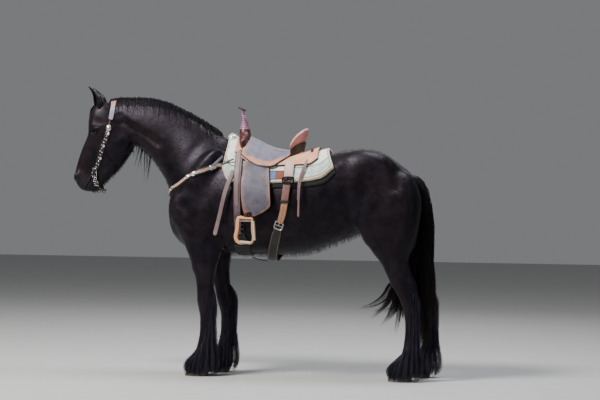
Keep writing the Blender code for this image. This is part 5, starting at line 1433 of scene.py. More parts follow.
@dataclass
class Mane:
    """Mane that falls to the far side, short hair over the crest, and the forelock."""

    skin: Surface
    clumps: int = 60
    each: int = 30
    longest: float = 0.50

    def build(self, finish: bpy.types.Material, rng: np.random.Generator) -> None:
        """Makes the four pieces."""
        self.fall(finish, rng)
        self.loose(finish, rng)
        self.crest(finish, rng)
        self.forelock(finish, rng)

    def guide(self, top: np.ndarray, length: float, drift: float, base: float,
            rng: np.random.Generator) -> list:
        """One clump's path from the crest down the far side."""
        phase, size = rng.uniform(0, 6.3), rng.uniform(0.006, 0.016)
        path, last = [top + (0, -0.008, -0.010), top + (0, 0.012, 0.006)], 0.0
        for step in np.linspace(0.08, 1.0, 9):
            x = top[0] + drift * step + size * step * math.sin(9 * step + phase)
            z = top[2] - length * step
            last = max(last - 0.012, self.skin.side(x, z, 1) + base + 0.008 * step)
            path.append((x, last + 0.006 * step * math.sin(11 * step + phase * 1.7), z))
        return path

    def fall(self, finish: bpy.types.Material, rng: np.random.Generator) -> None:
        """The long hair on the far side, which ends above the neck's lower line."""
        crest = even_curve(CREST, 201)
        guides = []
        for k in range(self.clumps):
            share = 0.06 + 0.92 * (k + 0.5 * rng.uniform(-1, 1)) / (self.clumps - 1)
            top = crest[int(np.clip(share, 0.06, 0.98) * 200)]
            drift = rng.uniform(-0.02, 0.06)
            room = top[2] - float(underside(top[0] + drift)) - 0.035
            if top[0] < -1.24:
                room = 0.20
            length = min(self.longest * (1 - 0.55 * float(ease(-0.80, -0.56, top[0]))),
                room) * rng.uniform(0.80, 1.0)
            guides.append(self.guide(top, length, drift, 0.006 + 0.010 * (k % 3), rng))
        ways = np.tile((0.0, 1.0, 0.15), (self.clumps, 1))
        paths, ways = spread_strands(np.array(guides), ways, self.each, 0.024, 0.016, 0.28, rng, 0.006,
            0.12)
        total = len(paths)
        maker = Strands("mane_fall", finish)
        maker.build(paths, ways, rng.uniform(0.0022, 0.0050, total), rng.uniform(0.0008, 0.0018, total), 13,
            rng)

    def loose(self, finish: bpy.types.Material, rng: np.random.Generator) -> None:
        """The few long strands that show under the neck."""
        crest = even_curve(CREST, 201)
        guides = []
        for tip_x, tip_z in (
            (-1.214, 1.55), (-1.205, 1.47), (-1.190, 1.50), (-1.175, 1.43), (-1.160, 1.38), (-1.142, 1.41),
            (-1.125, 1.33), (-1.108, 1.36),
            (-1.093, 1.28), (-1.076, 1.38), (-1.055, 1.45), (-1.038, 1.47), (-1.020, 1.40),
        ):
            near = min(range(201), key=lambda i: abs(crest[i, 0] - tip_x - 0.02))
            top = crest[near]
            guides.append(self.guide(top, top[2] - tip_z, tip_x - top[0], 0.014, rng))
        ways = np.tile((0.0, 1.0, 0.0), (len(guides), 1))
        paths, ways = spread_strands(np.array(guides), ways, 16, 0.011, 0.008, 0.30, rng, 0.004, 0.16)
        total = len(paths)
        Strands("mane_loose", finish).build(paths, ways, rng.uniform(0.0016, 0.0034, total),
            rng.uniform(0.0008, 0.0014, total), 16, rng)

    def crest(self, finish: bpy.types.Material, rng: np.random.Generator) -> None:
        """Short hair that lies over the crest to both sides."""
        crest = even_curve(CREST, 401)
        paths, ways = [], []
        for _ in range(2600):
            share = rng.uniform(0.03, 0.99)
            top = crest[int(share * 400)]
            sign = -1 if rng.random() < 0.50 else 1
            back, fall = rng.uniform(0.008, 0.050), rng.uniform(0.016,
                0.055) * (1.0 if rng.random() < 0.86 else 2.4)
            rise = rng.uniform(0.004, 0.016) if rng.random() < 0.90 else rng.uniform(0.014, 0.024)
            path = [top + (0, sign * 0.002, -0.008), top + (back * 0.2, sign * 0.007, rise)]
            for step in (0.5, 1.0):
                x, z = top[0] + back * step, top[2] - fall * step
                reach = self.skin.side(x, z, sign, 0.01) + 0.002 + 0.004 * rng.random()
                path.append((x, sign * reach, z))
            paths.append(path)
            ways.append((0, sign, 0.5))
        total = len(paths)
        maker = Strands("mane_crest", finish)
        maker.build(np.array(paths), np.array(ways, float), rng.uniform(0.0018, 0.0040, total),
            rng.uniform(0.0006, 0.0013, total), 6, rng)

    def forelock(self, finish: bpy.types.Material, rng: np.random.Generator) -> None:
        """The thin tuft that falls between the ears onto the forehead."""
        guides = []
        for k in range(9):
            y = 0.050 * (k / 8 - 0.45)
            low = rng.uniform(1.745, 1.800)
            path = [(-1.388, y * 0.4, 1.875)]
            for x, z in ((-1.412, 1.905), (-1.440, 1.890)):
                path.append(tuple(self.skin.lay((x, y * 0.8, z), 0.010)[0]))
            for share in (0.1, 0.35, 0.65, 1.0):
                z = 1.872 + (low - 1.872) * share
                path.append(tuple(self.skin.lay((-1.52, y * (1 + share) + 0.012 * share, z),
                    0.0065 - 0.004 * share)[0]))
            guides.append(path)
        ways = np.tile((-1.0, 0.0, 0.25), (9, 1))
        paths, ways = spread_strands(np.array(guides), ways, 22, 0.009, 0.005, 0.30, rng, 0.003)
        total = len(paths)
        Strands("forelock", finish).build(paths, ways, rng.uniform(0.0014, 0.0030, total),
            rng.uniform(0.0006, 0.0012, total), 10, rng)


@dataclass
class Tail:
    """The dock, the hanging tail, and the part blown forward between the hind legs."""

    skin: Surface
    clumps: int = 66
    each: int = 29

    def build(self, coat: bpy.types.Material, finish: bpy.types.Material, rng: np.random.Generator) -> None:
        """Makes its pieces."""
        bm = bmesh.new()
        add_loft(bm, DOCK, 20, 20)
        bm.normal_update()
        bmesh.ops.recalc_face_normals(bm, faces=bm.faces)
        for name in ("down", "muzzle"):
            layer = bm.verts.layers.float.new(name)
            for v in bm.verts:
                v[layer] = 1.0 if name == "down" else 0.0
        Bench.finish("tail_dock", bm, coat, (), "coat")
        self.fall(finish, rng)
        self.blown(finish, rng)

    def fall(self, finish: bpy.types.Material, rng: np.random.Generator) -> None:
        """The hair that hangs."""
        guides, ways = [], []
        for k in range(self.clumps):
            share = (k + 0.5) / self.clumps
            turn = 2.4 * k
            y, out = 0.066 * math.sin(turn), 0.026 * math.cos(turn)
            top = 1.375 - 0.30 * share
            front = float(np.interp(top, [1.01, 1.11, 1.22, 1.32, 1.38],
                [0.884, 0.876, 0.862, 0.838, 0.800]))
            low, phase = rng.uniform(0.28, 0.52), rng.uniform(0, 6.3)
            root = np.array((front + 0.2 * out, y * 0.26, top))
            path = [root, root + (0.020, y * 0.12, -0.018), root + (0.030, y * 0.22, -0.090)]
            for step in np.linspace(0.0, 1.0, 7):
                z = (top - 0.19) + (low - top + 0.19) * step
                back = float(np.interp(z, [0.3, 0.5, 0.7, 0.85, 1.0, 1.2],
                    [0.882, 0.880, 0.872, 0.866, 0.875, 0.868]))
                half = float(np.interp(z, [0.3, 0.5, 0.7, 0.85, 1.0, 1.2],
                    [0.058, 0.055, 0.044, 0.040, 0.032, 0.020]))
                sway = 0.008 * math.sin(7 * step + phase)
                path.append((back + half * math.cos(turn) + sway,
                    y * (0.60 + 0.45 * step) + 0.010 * step * math.sin(5 * step + phase), z))
            guides.append(path)
            ways.append((math.cos(turn) * 0.6 + 0.5, math.sin(turn), 0.0))
        for k in range(16):
            y, drop = -0.055 + 0.110 * ((0.618 * k) % 1.0), rng.uniform(-0.02, 0.02)
            reach = rng.uniform(-0.012, 0.012)
            line = ((0.862, 1.06), (0.866, 1.02), (0.868, 0.985), (0.845, 0.93), (0.815, 0.88),
                (0.796, 0.82), (0.786, 0.75),
                    (0.782, 0.66), (0.796, 0.54), (0.818, 0.40))
            guides.append([(x + reach * min(1.0, i / 3), y * min(1.0, 0.4 + i / 5), z + drop) for i,
                (x, z) in enumerate(line)])
            ways.append((-0.5, math.copysign(0.8, y), 0.0))
        for k in range(16):
            y, x, low = -0.045 + 0.100 * ((0.618 * k) % 1.0), 0.812 + 0.075 * ((0.381
                * k) % 1.0), rng.uniform(0.15, 0.25)
            line = ((0.862, 1.06), (0.868, 0.98), (0.5 * x + 0.43, 0.88), (x, 0.76), (x, 0.64), (x, 0.52),
                (x + 0.004, 0.42), (x + 0.008, 0.34),
                    (x + 0.012, 0.27), (x + 0.020, low))
            guides.append([(px, y * min(1.0, 0.4 + i / 5), z) for i, (px, z) in enumerate(line)])
            ways.append((0.2, math.copysign(0.9, y), 0.0))
        paths, ways = spread_strands(np.array(guides), np.array(ways), self.each, 0.017, 0.012, 0.40, rng,
            0.008, 0.12)
        total = len(paths)
        half = total // 2
        for word, chosen, nodes in (("a", slice(0, half), ["tail"]), ("b", slice(half, total), [])):
            count = len(paths[chosen])
            widths, thicks = rng.uniform(0.0026, 0.0056, count), rng.uniform(0.0009, 0.0020, count)
            Strands(f"tail_fall_{word}", finish).build(paths[chosen], ways[chosen], widths, thicks, 14, rng,
                nodes)

    def blown(self, finish: bpy.types.Material, rng: np.random.Generator) -> None:
        """The hair that the wind carries forward in a few drawn-out locks."""
        tips = ((0.379, 0.462), (0.427, 0.466), (0.469, 0.400), (0.503, 0.448), (0.483, 0.393),
            (0.552, 0.338), (0.565, 0.455),
                (0.593, 0.379), (0.627, 0.421), (0.641, 0.469), (0.662, 0.288), (0.690, 0.379),
                (0.717, 0.407))
        guides = []
        for k in range(4 * len(tips)):
            tip = np.array(tips[k % len(tips)]) + rng.uniform(-0.007, 0.007, 2)
            y = 0.055 * (2 * ((0.618 * k + 0.2) % 1.0) - 1)
            share = min(1.0, max(0.0, (tip[0] - 0.379) / 0.34 + rng.uniform(-0.12, 0.12)))
            mouth = np.array((0.616 + 0.100 * share, 0.652 - 0.120 * share))
            path = [(0.876, y * 0.4, 1.00), (0.884, y * 0.7, 0.88), (0.862, y, 0.775),
                (0.790, y, 0.705 - 0.03 * share)]
            path += [(0.690 + 0.06 * share, y, 0.690 - 0.085 * share), (mouth[0], y, mouth[1])]
            for step, drop in ((0.12, 0.045), (0.35, 0.055), (0.62, 0.035), (1.0, 0.0)):
                place = mouth + (tip - mouth) * step
                path.append((place[0], y * (1 + 0.2 * step), place[1] - drop))
            guides.append(path)
        ways = np.tile((0.62, 0.25, -0.74), (len(guides), 1))
        paths, ways = spread_strands(np.array(guides), ways, 22, 0.018, 0.014, 0.10, rng, 0.006, 0.10, 0.66)
        total = len(paths)
        maker = Strands("tail_wind", finish)
        maker.build(paths, ways, rng.uniform(0.0015, 0.0037, total), rng.uniform(0.0007, 0.0014, total), 15,
            rng, ["tail_blown"])


@dataclass
class Feather:
    """The long hair of one fetlock and of the back of its cannon, which falls over the hoof."""

    hoof: Hoof
    skin: Surface
    strands: int = 2700
    front: tuple[tuple[float, float], ...] = (
        (0.02, -0.754), (0.06, -0.764), (0.09, -0.762), (0.115, -0.742), (0.15, -0.704), (0.19, -0.682),
        (0.24, -0.678),
        (0.33, -0.676), (0.45, -0.672),
    )
    back: tuple[tuple[float, float], ...] = (
        (0.015, -0.546), (0.045, -0.528), (0.08, -0.516), (0.14, -0.516), (0.20, -0.526), (0.26, -0.541),
        (0.33, -0.543),
        (0.42, -0.540), (0.52, -0.543), (0.60, -0.557), (0.66, -0.566),
    )
    side: tuple[tuple[float, float], ...] = (
        (0.015, 0.078), (0.05, 0.083), (0.09, 0.080), (0.15, 0.066), (0.22, 0.053), (0.30, 0.044),
        (0.42, 0.042),
    )

    def build(self, finish: bpy.types.Material, rng: np.random.Generator) -> None:
        """Makes the piece."""
        foot = self.hoof
        paths, ways = [], []
        phases = rng.uniform(0, 6.28, 3)
        for _ in range(self.strands):
            turn = rng.uniform(0, 2 * math.pi)
            behind = 0.5 + 0.5 * math.cos(turn)
            top = rng.uniform(0.075, 0.190 + 0.200 * behind ** 1.5)
            if rng.random() < 0.32:
                turn, top = rng.normal(0.0, 0.60), rng.uniform(0.26, 0.62)
                behind = 0.5 + 0.5 * math.cos(turn)
            out = Vector((math.cos(turn), math.sin(turn), 0))
            axis = Vector((self.middle(top) + foot.shift, foot.y, top))
            root = self.meet(axis, out)
            low = max(0.004, top - rng.uniform(0.060, 0.125) * (1 + 0.5 * behind))
            if top < 0.30 and rng.random() < 0.50:
                low = rng.uniform(0.004, 0.026) + 0.010 * abs(math.sin(3.5 * turn + phases[0]))
            lock = 15 * turn + 2.2 * math.sin(3 * turn + phases[0]) + 9.0 * top
            full = rng.uniform(0.82, 1.0) + 0.030 * math.sin(5 * turn + phases[1]) + 0.060 * math.cos(lock)
            lean = rng.uniform(-0.03, 0.03) - 0.062 * math.sin(lock)
            path = [root - out * 0.003]
            for share in (0.22, 0.45, 0.72, 1.0):
                z = top + (low - top) * share
                way = Vector((math.cos(turn + lean * share), math.sin(turn + lean * share), 0))
                centre = Vector((self.middle(z) + foot.shift, foot.y, z))
                rim = (self.meet(centre, way) - centre).length + 0.003
                blend = float(ease(0.0, 0.45, share))
                reach = max(rim, self.cover(z, way) + 0.0015,
                    rim + (self.reach(z, way) * full - rim) * blend)
                path.append(centre + way * reach)
            paths.append([p[:] for p in path])
            ways.append(out[:])
        total = len(paths)
        name = f"feather_{foot.row}_{foot.side.word}"
        widths, thicks = rng.uniform(0.0016, 0.0039, total), rng.uniform(0.0007, 0.0014, total)
        Strands(name, finish).build(np.array(paths), np.array(ways), widths, thicks, 6, rng, floor=0.0012)

    @staticmethod
    def middle(z: float) -> float:
        """Where the middle of the near fore foot stands at a height."""
        return -0.668 + 0.18 * min(z, 0.30)

    def reach(self, z: float, out: Vector) -> float:
        """How far the hair reaches from the axis at a height."""
        line = self.back if out.x > 0 else self.front
        along = abs(float(np.interp(z, *zip(*line))) - self.middle(z))
        return 1.0 / math.sqrt((out.x / along) ** 2 + (out.y / float(np.interp(z, *zip(*self.side)))) ** 2)

    def meet(self, axis: Vector, out: Vector) -> Vector:
        """The skin seen from outside towards a point on the foot's axis."""
        hit = self.skin.tree.ray_cast(axis + out * 0.3, -out, 0.3)[0]
        return axis + out * 0.03 if hit is None else hit

    def cover(self, z: float, out: Vector) -> float:
        """How far the hoof reaches from the axis at a height."""
        if z > 0.095:
            return 0.0
        row = [np.interp(z, HOOF[:, 1], HOOF[:, k]) for k in (0, 2, 4)]
        along = abs((row[1] if out.x > 0 else row[0]) - self.middle(z))
        return 1.0 / math.sqrt((out.x / max(along, 0.02)) ** 2 + (out.y / row[2]) ** 2)


@dataclass
class Tufts:
    """The short coat: thin overlapping tufts that lie along the body, and fringes where it is longer."""

    skin: Surface
    count: int = 30000

    @staticmethod
    def flow(at: np.ndarray, out: np.ndarray) -> np.ndarray:
        """The way the coat lies at some places."""
        x, z = at[:, 0], at[:, 2]
        neck = (ease(-0.55, -0.75, x) * ease(1.15, 1.30, z))[:, None]
        legs = ease(0.0, 0.15, 1.00 - z)[:, None]
        head = Tufts.headed(at)[:, None]
        way = np.array((0.86, 0.0, -0.40)) * (1 - neck) + np.array((0.62, 0.0, -0.75)) * neck
        way = way * (1 - legs) + np.array((0.12, 0.0, -1.0)) * legs
        way = way * (1 - head) + np.array((-0.42, 0.0, -0.90)) * head
        way = way - out * np.sum(way * out, axis=1, keepdims=True)
        return way / (np.linalg.norm(way, axis=1, keepdims=True) + 1e-6)

    @staticmethod
    def headed(at: np.ndarray) -> np.ndarray:
        """1 on the head and 0 off it."""
        return ease(0.0, 0.08, -1.20 - at[:, 0] - 0.35 * (at[:, 2] - 1.55))

    def weight(self, at: np.ndarray) -> np.ndarray:
        """How densely the tufts stand; none under the saddle or over the eye."""
        x, z = at[:, 0], at[:, 2]
        under = (x > -0.50) & (x < 0.25) & (z > 1.34)
        eye = (x - EYE_AT[0]) ** 2 + (z - EYE_AT[1]) ** 2 < 0.030 ** 2
        muzzle = (x < -1.40) & (z < 1.37)
        foot = z < 0.20
        return np.where(under | eye, 0.0, np.where(muzzle, 0.25, np.where(foot, 0.4, 1.0)))

    def build(self, finish: bpy.types.Material, rng: np.random.Generator) -> None:
        """Makes the coat's pieces."""
        at, out = self.skin.scatter(self.count, self.weight, rng)
        way = self.flow(at, out)
        small = np.maximum(self.headed(at), ease(0.75, 0.45, at[:, 2]))
        length = rng.uniform(0.011, 0.024, self.count) * (1 - 0.58 * small)
        across = np.cross(way, out)
        way = way + across * rng.uniform(-0.16, 0.16, (self.count, 1))
        lift = rng.uniform(0.0006, 0.0017, (self.count, 1)) * (1 - 0.45 * small[:, None])
        run = way * length[:, None]
        paths = np.stack([at - out * 0.0008, at + run * 0.5 + out * lift, at + run + out * lift * 0.9],
            axis=1)
        width = rng.uniform(0.0009, 0.0021, self.count) * (1 - 0.40 * small)
        thick = rng.uniform(0.0003, 0.0007, self.count)
        pieces = 3
        for k in range(pieces):
            chosen = slice(k, None, pieces)
            maker = Strands(f"coat_tufts_{k}", finish)
            maker.build(paths[chosen], out[chosen], width[chosen], thick[chosen], 2, rng, slot="coat")
        self.fringes(finish, rng)

    def fringes(self, finish: bpy.types.Material, rng: np.random.Generator) -> None:
        """Longer hair under the jaw, throat and belly, behind the elbows and on the gaskins."""
        lines = (
            (((-1.470, 0.02, 1.268), (-1.372, 0.02, 1.340), (-1.280, 0.03, 1.430), (-1.205, 0.04, 1.525)),
            420, 0.018, 0.014),
            (((-1.200, 0.0, 1.570), (-1.110, 0.0, 1.530), (-1.000, 0.0, 1.400), (-0.930, 0.0, 1.260)), 420,
            0.020, 0.020),
            (((-0.560, 0.02, 0.835), (-0.200, 0.02, 0.825), (0.080, 0.02, 0.850), (0.360, 0.03, 0.955),
            (0.440, 0.05, 0.985)), 900, 0.026, 0.050),
            (((-0.530, 0.13, 1.000), (-0.500, 0.14, 0.890), (-0.535, 0.15, 0.800)), 260, 0.022, 0.020),
        )
        paths, ways = [], []
        for line, count, length, wide in lines:
            curve = even_curve(line, 200)
            for k in range(count):
                sign = 1 if k % 2 else -1
                x, y, z = curve[rng.integers(200)]
                root, normal = self.skin.lay((x, sign * y + rng.uniform(-wide, wide), z - 0.02), -0.001)
                reach = length * rng.uniform(0.5, 1.15)
                drift = Vector((rng.uniform(-0.1, 0.55) * reach, rng.uniform(-0.2, 0.2) * reach, -reach))
                middle = root + drift * 0.5 + normal * reach * 0.25
                paths.append([root[:], middle[:], (root + drift + normal * reach * 0.12)[:]])
                ways.append(normal[:])
        total = len(paths)
        maker = Strands("coat_fringes", finish)
        maker.build(np.array(paths), np.array(ways), rng.uniform(0.0009, 0.0018, total),
            rng.uniform(0.0005, 0.0009, total), 5, rng, slot="coat")


def crowd(count: int) -> np.ndarray:
    """Places from 0 to 1 that lie closer together near both ends."""
    even = np.linspace(0, 1, count)
    return even - 0.72 * np.sin(2 * math.pi * even) / (2 * math.pi)


def rounded(share: np.ndarray) -> np.ndarray:
    """A quarter-round edge: 0 at the rim, 1 from one radius inwards."""
    short = 1 - np.clip(share, 0, 1)
    return np.sqrt(1 - short * short)


FLAT = ((-0.93, 0.0), (0.0, 0.0), (0.93, 0.0), (1.0, 0.40), (0.96, 0.82), (0.82, 1.0), (0.40, 1.04),
    (0.0, 1.05),
        (-0.40, 1.04), (-0.82, 1.0), (-0.96, 0.82), (-1.0, 0.40))
ROUND = tuple((math.cos(2 * math.pi * k / 10),
    0.5 + 0.5 * math.sin(2 * math.pi * k / 10)) for k in range(10))


class Shaper:
    """Worked meshes of straps, panels, bosses and buckles; each carries its own flat places.

    The layer "lay" holds metres along the piece, metres across it, and metres from its edge.
    """

    @staticmethod
    def sweep(
        path: np.ndarray,
        outward: np.ndarray,
        half: float | np.ndarray,
        thick: float | np.ndarray,
        section: Sequence[tuple[float, float]] = FLAT,
        closed: bool = False,
    ) -> bmesh.types.BMesh:
        """A closed solid swept along a path.

        Args:
            path: Places along the middle of its underside.
            outward: The way out of what it lies on, at each place or once.
            half: Half its width.
            thick: Its thickness.
            section: Corners round the cut, in half widths and thicknesses.
            closed: True where the path meets itself.

        Returns:
            The worked mesh.
        """
        path = np.array(path, float)
        count, corners = len(path), len(section)
        outward = np.broadcast_to(np.array(outward, float), path.shape)
        along = np.roll(path, -1, 0) - np.roll(path, 1, 0) if closed else np.gradient(path, axis=0)
        along /= np.linalg.norm(along, axis=1, keepdims=True)
        across = np.cross(along, outward)
        across /= np.linalg.norm(across, axis=1, keepdims=True)
        out = np.cross(across, along)
        half, thick = np.broadcast_to(half, count), np.broadcast_to(thick, count)
        run = np.concatenate([[0], np.cumsum(np.linalg.norm(np.diff(path, axis=0), axis=1))])
        bm = bmesh.new()
        layer = bm.verts.layers.float_vector.new("lay")
        steps = count - 1 + int(closed)
        for v in bmesh.ops.create_grid(bm, x_segments=steps, y_segments=corners, size=1.0)["verts"]:
            i = round((v.co.x + 1) / 2 * steps) % count
            a, o = section[round((v.co.y + 1) / 2 * corners) % corners]
            v.co = path[i] + across[i] * half[i] * a + out[i] * thick[i] * o
            edge = half[i] * (1 - abs(a))
            if not closed:
                edge = min(edge, run[i], run[-1] - run[i])
            v[layer] = (run[i], half[i] * a, edge)
        bmesh.ops.remove_doubles(bm, verts=bm.verts, dist=1e-6)
        rim = [e for e in bm.edges if e.is_boundary]
        if rim:
            bmesh.ops.holes_fill(bm, edges=rim)
        bm.normal_update()
        bmesh.ops.recalc_face_normals(bm, faces=bm.faces)
        return bm

    @staticmethod
    def panel(top: np.ndarray, low: np.ndarray, lay: np.ndarray) -> bmesh.types.BMesh:
        """A closed sheet between two grids of places.

        Args:
            top: Places of the outer face, row by row.
            low: Places of the inner face.
            lay: Flat place and distance from the edge, for each place.

        Returns:
            The worked mesh.
        """
        rows, columns = top.shape[:2]
        bm = bmesh.new()
        layer = bm.verts.layers.float_vector.new("lay")
        for places in (top, low):
            made = bmesh.ops.create_grid(bm, x_segments=rows - 1, y_segments=columns - 1, size=1.0)["verts"]
            for v in made:
                i, k = round((v.co.x + 1) / 2 * (rows - 1)), round((v.co.y + 1) / 2 * (columns - 1))
                v.co, v[layer] = Vector(places[i, k]), Vector(lay[i, k])
        bmesh.ops.bridge_loops(bm, edges=[e for e in bm.edges if e.is_boundary])
        bm.normal_update()
        bmesh.ops.recalc_face_normals(bm, faces=bm.faces)
        return bm

    @staticmethod
    def boss(
        at: Sequence[float], normal: Sequence[float], radius: float, high: float, oval: float = 1.0,
        rim: float = 0.22
    ) -> bmesh.types.BMesh:
        """A domed metal boss with a raised rim, spun and set on a surface.

        Args:
            at: Its middle on the surface.
            normal: The way out.
            radius: Half its width.
            high: Height of its dome.
            oval: Its length over its width.
            rim: Share of the radius that the rim takes.

        Returns:
            The worked mesh.
        """
        inner = 1 - rim
        profile = ((0.0, 1.0), (0.18, 0.97), (0.40, 0.84), (inner * 0.86, 0.52), (inner, 0.34),
            (inner + 0.25 * rim, 0.50),
                   (inner + 0.60 * rim, 0.50), (1.0, 0.30), (1.0, 0.05), (0.90, -0.30), (0.0, -0.30))
        bm = bmesh.new()
        line = [bm.verts.new((radius * r, 0, high * h)) for r, h in profile]
        edges = [bm.edges.new(pair) for pair in zip(line, line[1:])]
        bmesh.ops.spin(bm, geom=line + edges, cent=(0, 0, 0), axis=(0, 0, 1), angle=2 * math.pi, steps=28,
            use_merge=True)
        bmesh.ops.remove_doubles(bm, verts=bm.verts, dist=1e-6)
        layer = bm.verts.layers.float_vector.new("lay")
        for v in bm.verts:
            v[layer] = (v.co.x, v.co.y, radius - v.co.xy.length)
            v.co.x *= oval
        turn = Vector(normal).to_track_quat("Z", "Y").to_matrix().to_4x4()
        bmesh.ops.transform(bm, matrix=Matrix.Translation(Vector(at)) @ turn, verts=bm.verts)
        bm.normal_update()
        bmesh.ops.recalc_face_normals(bm, faces=bm.faces)
        return bm

    @staticmethod
    def buckle(
        at: Sequence[float], out: Sequence[float], along: Sequence[float], wide: float, high: float,
        gauge: float
    ) -> bmesh.types.BMesh:
        """A buckle: a rounded frame, a bar across it and a tongue.

        Args:
            at: Its middle.
            out: The way out of the strap.
            along: The way of the strap.
            wide: Width across the strap.
            high: Length along the strap.
            gauge: Thickness of its wire.

        Returns:
            The worked mesh.
        """
        at, out, along = Vector(at), Vector(out).normalized(), Vector(along).normalized()
        side = along.cross(out)
        path = []
        for k in range(36):
            turn = 2 * math.pi * k / 36
            c, s = math.cos(turn), math.sin(turn)
            a, b = math.copysign(abs(c) ** 0.5, c) * wide / 2, math.copysign(abs(s) ** 0.5, s) * high / 2
            path.append(at + side * a + along * b)
        parts = [Shaper.sweep(path, out, gauge * 0.62, gauge, ROUND, closed=True)]
        bar = [at - side * wide / 2, at, at + side * wide / 2]
        parts.append(Shaper.sweep(bar, out, gauge * 0.4, gauge * 0.8, ROUND))
        tongue = [at + out * gauge * 0.8, at + along * high * 0.25 + out * gauge * 1.3,
            at + along * high * 0.54 + out * gauge]
        parts.append(Shaper.sweep(tongue, out, gauge * 0.35, gauge * 0.5, ROUND))
        return Bench.join("buckle", parts)


@dataclass(frozen=True)
class Leather:
    """Saddle leather: grain, rubbed places, dark edges, stitches, holes and stamping."""

    name: str
    base: RGB
    rubbed: RGB
    edge: RGB = (0.020, 0.009, 0.007)
    middle: RGB | None = None
    middle_from: tuple[float, float] = (0.018, 0.060)
    stitches: tuple[float, ...] = ()
    thread: RGB = (0.42, 0.30, 0.20)
    stamped: float = 0.0
    holes: float = 0.0
    creased: float = 0.0
    rough: float = 0.46
    wear: float = 0.45
    edge_line: float = 0.0035

    def build(self) -> bpy.types.Material:
        """Makes the material."""
        made, n, shader = blank(self.name)
        place = n.add("TexCoord").outputs["Object"]
        lay = n.add("Attribute", {"attribute_name": "lay"}).outputs["Vector"]
        run, across, edge = list(n.add("SeparateXYZ", Vector=lay).outputs)[:3]
        patch = n.noise(place, 11.0, 5.0, 0.62)
        colour = n.mix(n.band(patch, 0.30, 0.75), self.base, tuple(0.70 * c for c in self.base))
        if self.middle is not None:
            shifted = n.maths("ADD", edge, n.maths("MULTIPLY", n.maths("SUBTRACT", patch, 0.5), 0.085))
            tone = n.mix(n.band(n.noise(place, 24.0, 4.0), 0.35, 0.70), self.middle,
                tuple(0.62 * c for c in self.middle))
            colour = n.mix(n.band(shifted, *self.middle_from), colour, tone)
        height = n.maths("MULTIPLY", EFFECTS.grain(n, place, 380.0), 0.40)
        worn = EFFECTS.wear(n, place, self.wear)
        colour = n.mix(worn, colour, self.rubbed)
        if self.stamped:
            stamp = EFFECTS.stamp(n, lay, 1.0)
            height = n.maths("ADD", height, n.maths("MULTIPLY", stamp, 2.4 * self.stamped))
            shade = n.maths("MULTIPLY", n.band(stamp, 0.55, 0.15), 0.55 * self.stamped)
            colour = n.mix(shade, colour, tuple(0.35 * c for c in self.base))
        for distance in self.stitches:
            seam = EFFECTS.stitch(n, lay, distance)
            # The groove is painted darker than the leather: painted shade in it.
            colour = n.mix(seam.outputs["Groove"], colour, tuple(0.45 * c for c in self.base))
            colour = n.mix(seam.outputs["Mask"], colour, self.thread)
            height = n.maths("ADD", height,
                n.maths("SUBTRACT", seam.outputs["Mask"], seam.outputs["Groove"]))
        if self.holes:
            far = n.maths("POWER", n.maths("PINGPONG", run, self.holes / 2), 2.0)
            away = n.maths("SQRT", n.maths("ADD", far, n.maths("POWER", across, 2.0)))
            hole = n.band(away, 0.0036, 0.0022)
            # The holes are painted nearly black: painted shade for holes that the mesh does not cut.
            colour = n.mix(hole, colour, (0.004, 0.003, 0.003))
            height = n.maths("SUBTRACT", height, n.maths("MULTIPLY", hole, 3.0))
        if self.creased:
            folds = n.noise(n.stretch(lay, (95, 14, 1)), 1.0, 3.0)
            height = n.maths("ADD", height, n.maths("MULTIPLY", folds, 2.0 * self.creased))
            # The folds' hollows are painted darker: painted shade.
            colour = n.mix(n.maths("MULTIPLY", n.band(folds, 0.44, 0.30), 0.5), colour,
                tuple(0.4 * c for c in self.base))
        colour = n.mix(n.band(edge, self.edge_line, self.edge_line * 0.35), colour, self.edge)
        rough = n.maths("ADD", self.rough - 0.08, n.maths("MULTIPLY", patch, 0.26))
        wire(n, shader, Base_Color=colour, Roughness=rough, Normal=n.bump(height, 0.42, 0.0014))
        wire(n, shader, Specular_IOR_Level=0.42)
        return made


@dataclass(frozen=True)
class Metal:
    """Worked metal with scratches, engraving and dark in its hollows."""

    name: str
    base: RGB
    tarnish: RGB
    rough: float = 0.26
    engraved: float = 0.0

    def build(self) -> bpy.types.Material:
        """Makes the material."""
        made, n, shader = blank(self.name)
        place = n.add("TexCoord").outputs["Object"]
        lay = n.add("Attribute", {"attribute_name": "lay"}).outputs["Vector"]
        x, y, edge = list(n.add("SeparateXYZ", Vector=lay).outputs)[:3]
        scratch = n.noise(n.stretch(place, (1.0, 0.15, 1.0), (0.4, 0.3, 0.8)), 700.0, 3.0)
        cloud = n.band(n.noise(place, 55.0, 4.0), 0.40, 0.75)
        height, dark = scratch, n.maths("MULTIPLY", cloud, 0.45)
        if self.engraved:
            turn = n.maths("SINE", n.maths("MULTIPLY", n.maths("ARCTAN2", y, x), 12.0))
            ring = n.maths("SINE", n.maths("MULTIPLY", edge, 1500.0))
            cut = n.band(n.maths("ADD", turn, n.maths("MULTIPLY", ring, 0.7)), 0.25, 0.75)
            height = n.maths("ADD", scratch, n.maths("MULTIPLY", cut, -1.6 * self.engraved))
            dark = n.maths("MAXIMUM", dark, n.maths("MULTIPLY", cut, 0.75 * self.engraved))
        colour = n.mix(dark, self.base, self.tarnish)
        rough = n.maths("ADD", self.rough, n.maths("MULTIPLY", n.maths("ADD", cloud, dark), 0.16))
        wire(n, shader, Base_Color=colour, Roughness=rough, Metallic=1.0,
            Normal=n.bump(height, 0.25, 0.0006))
        return made


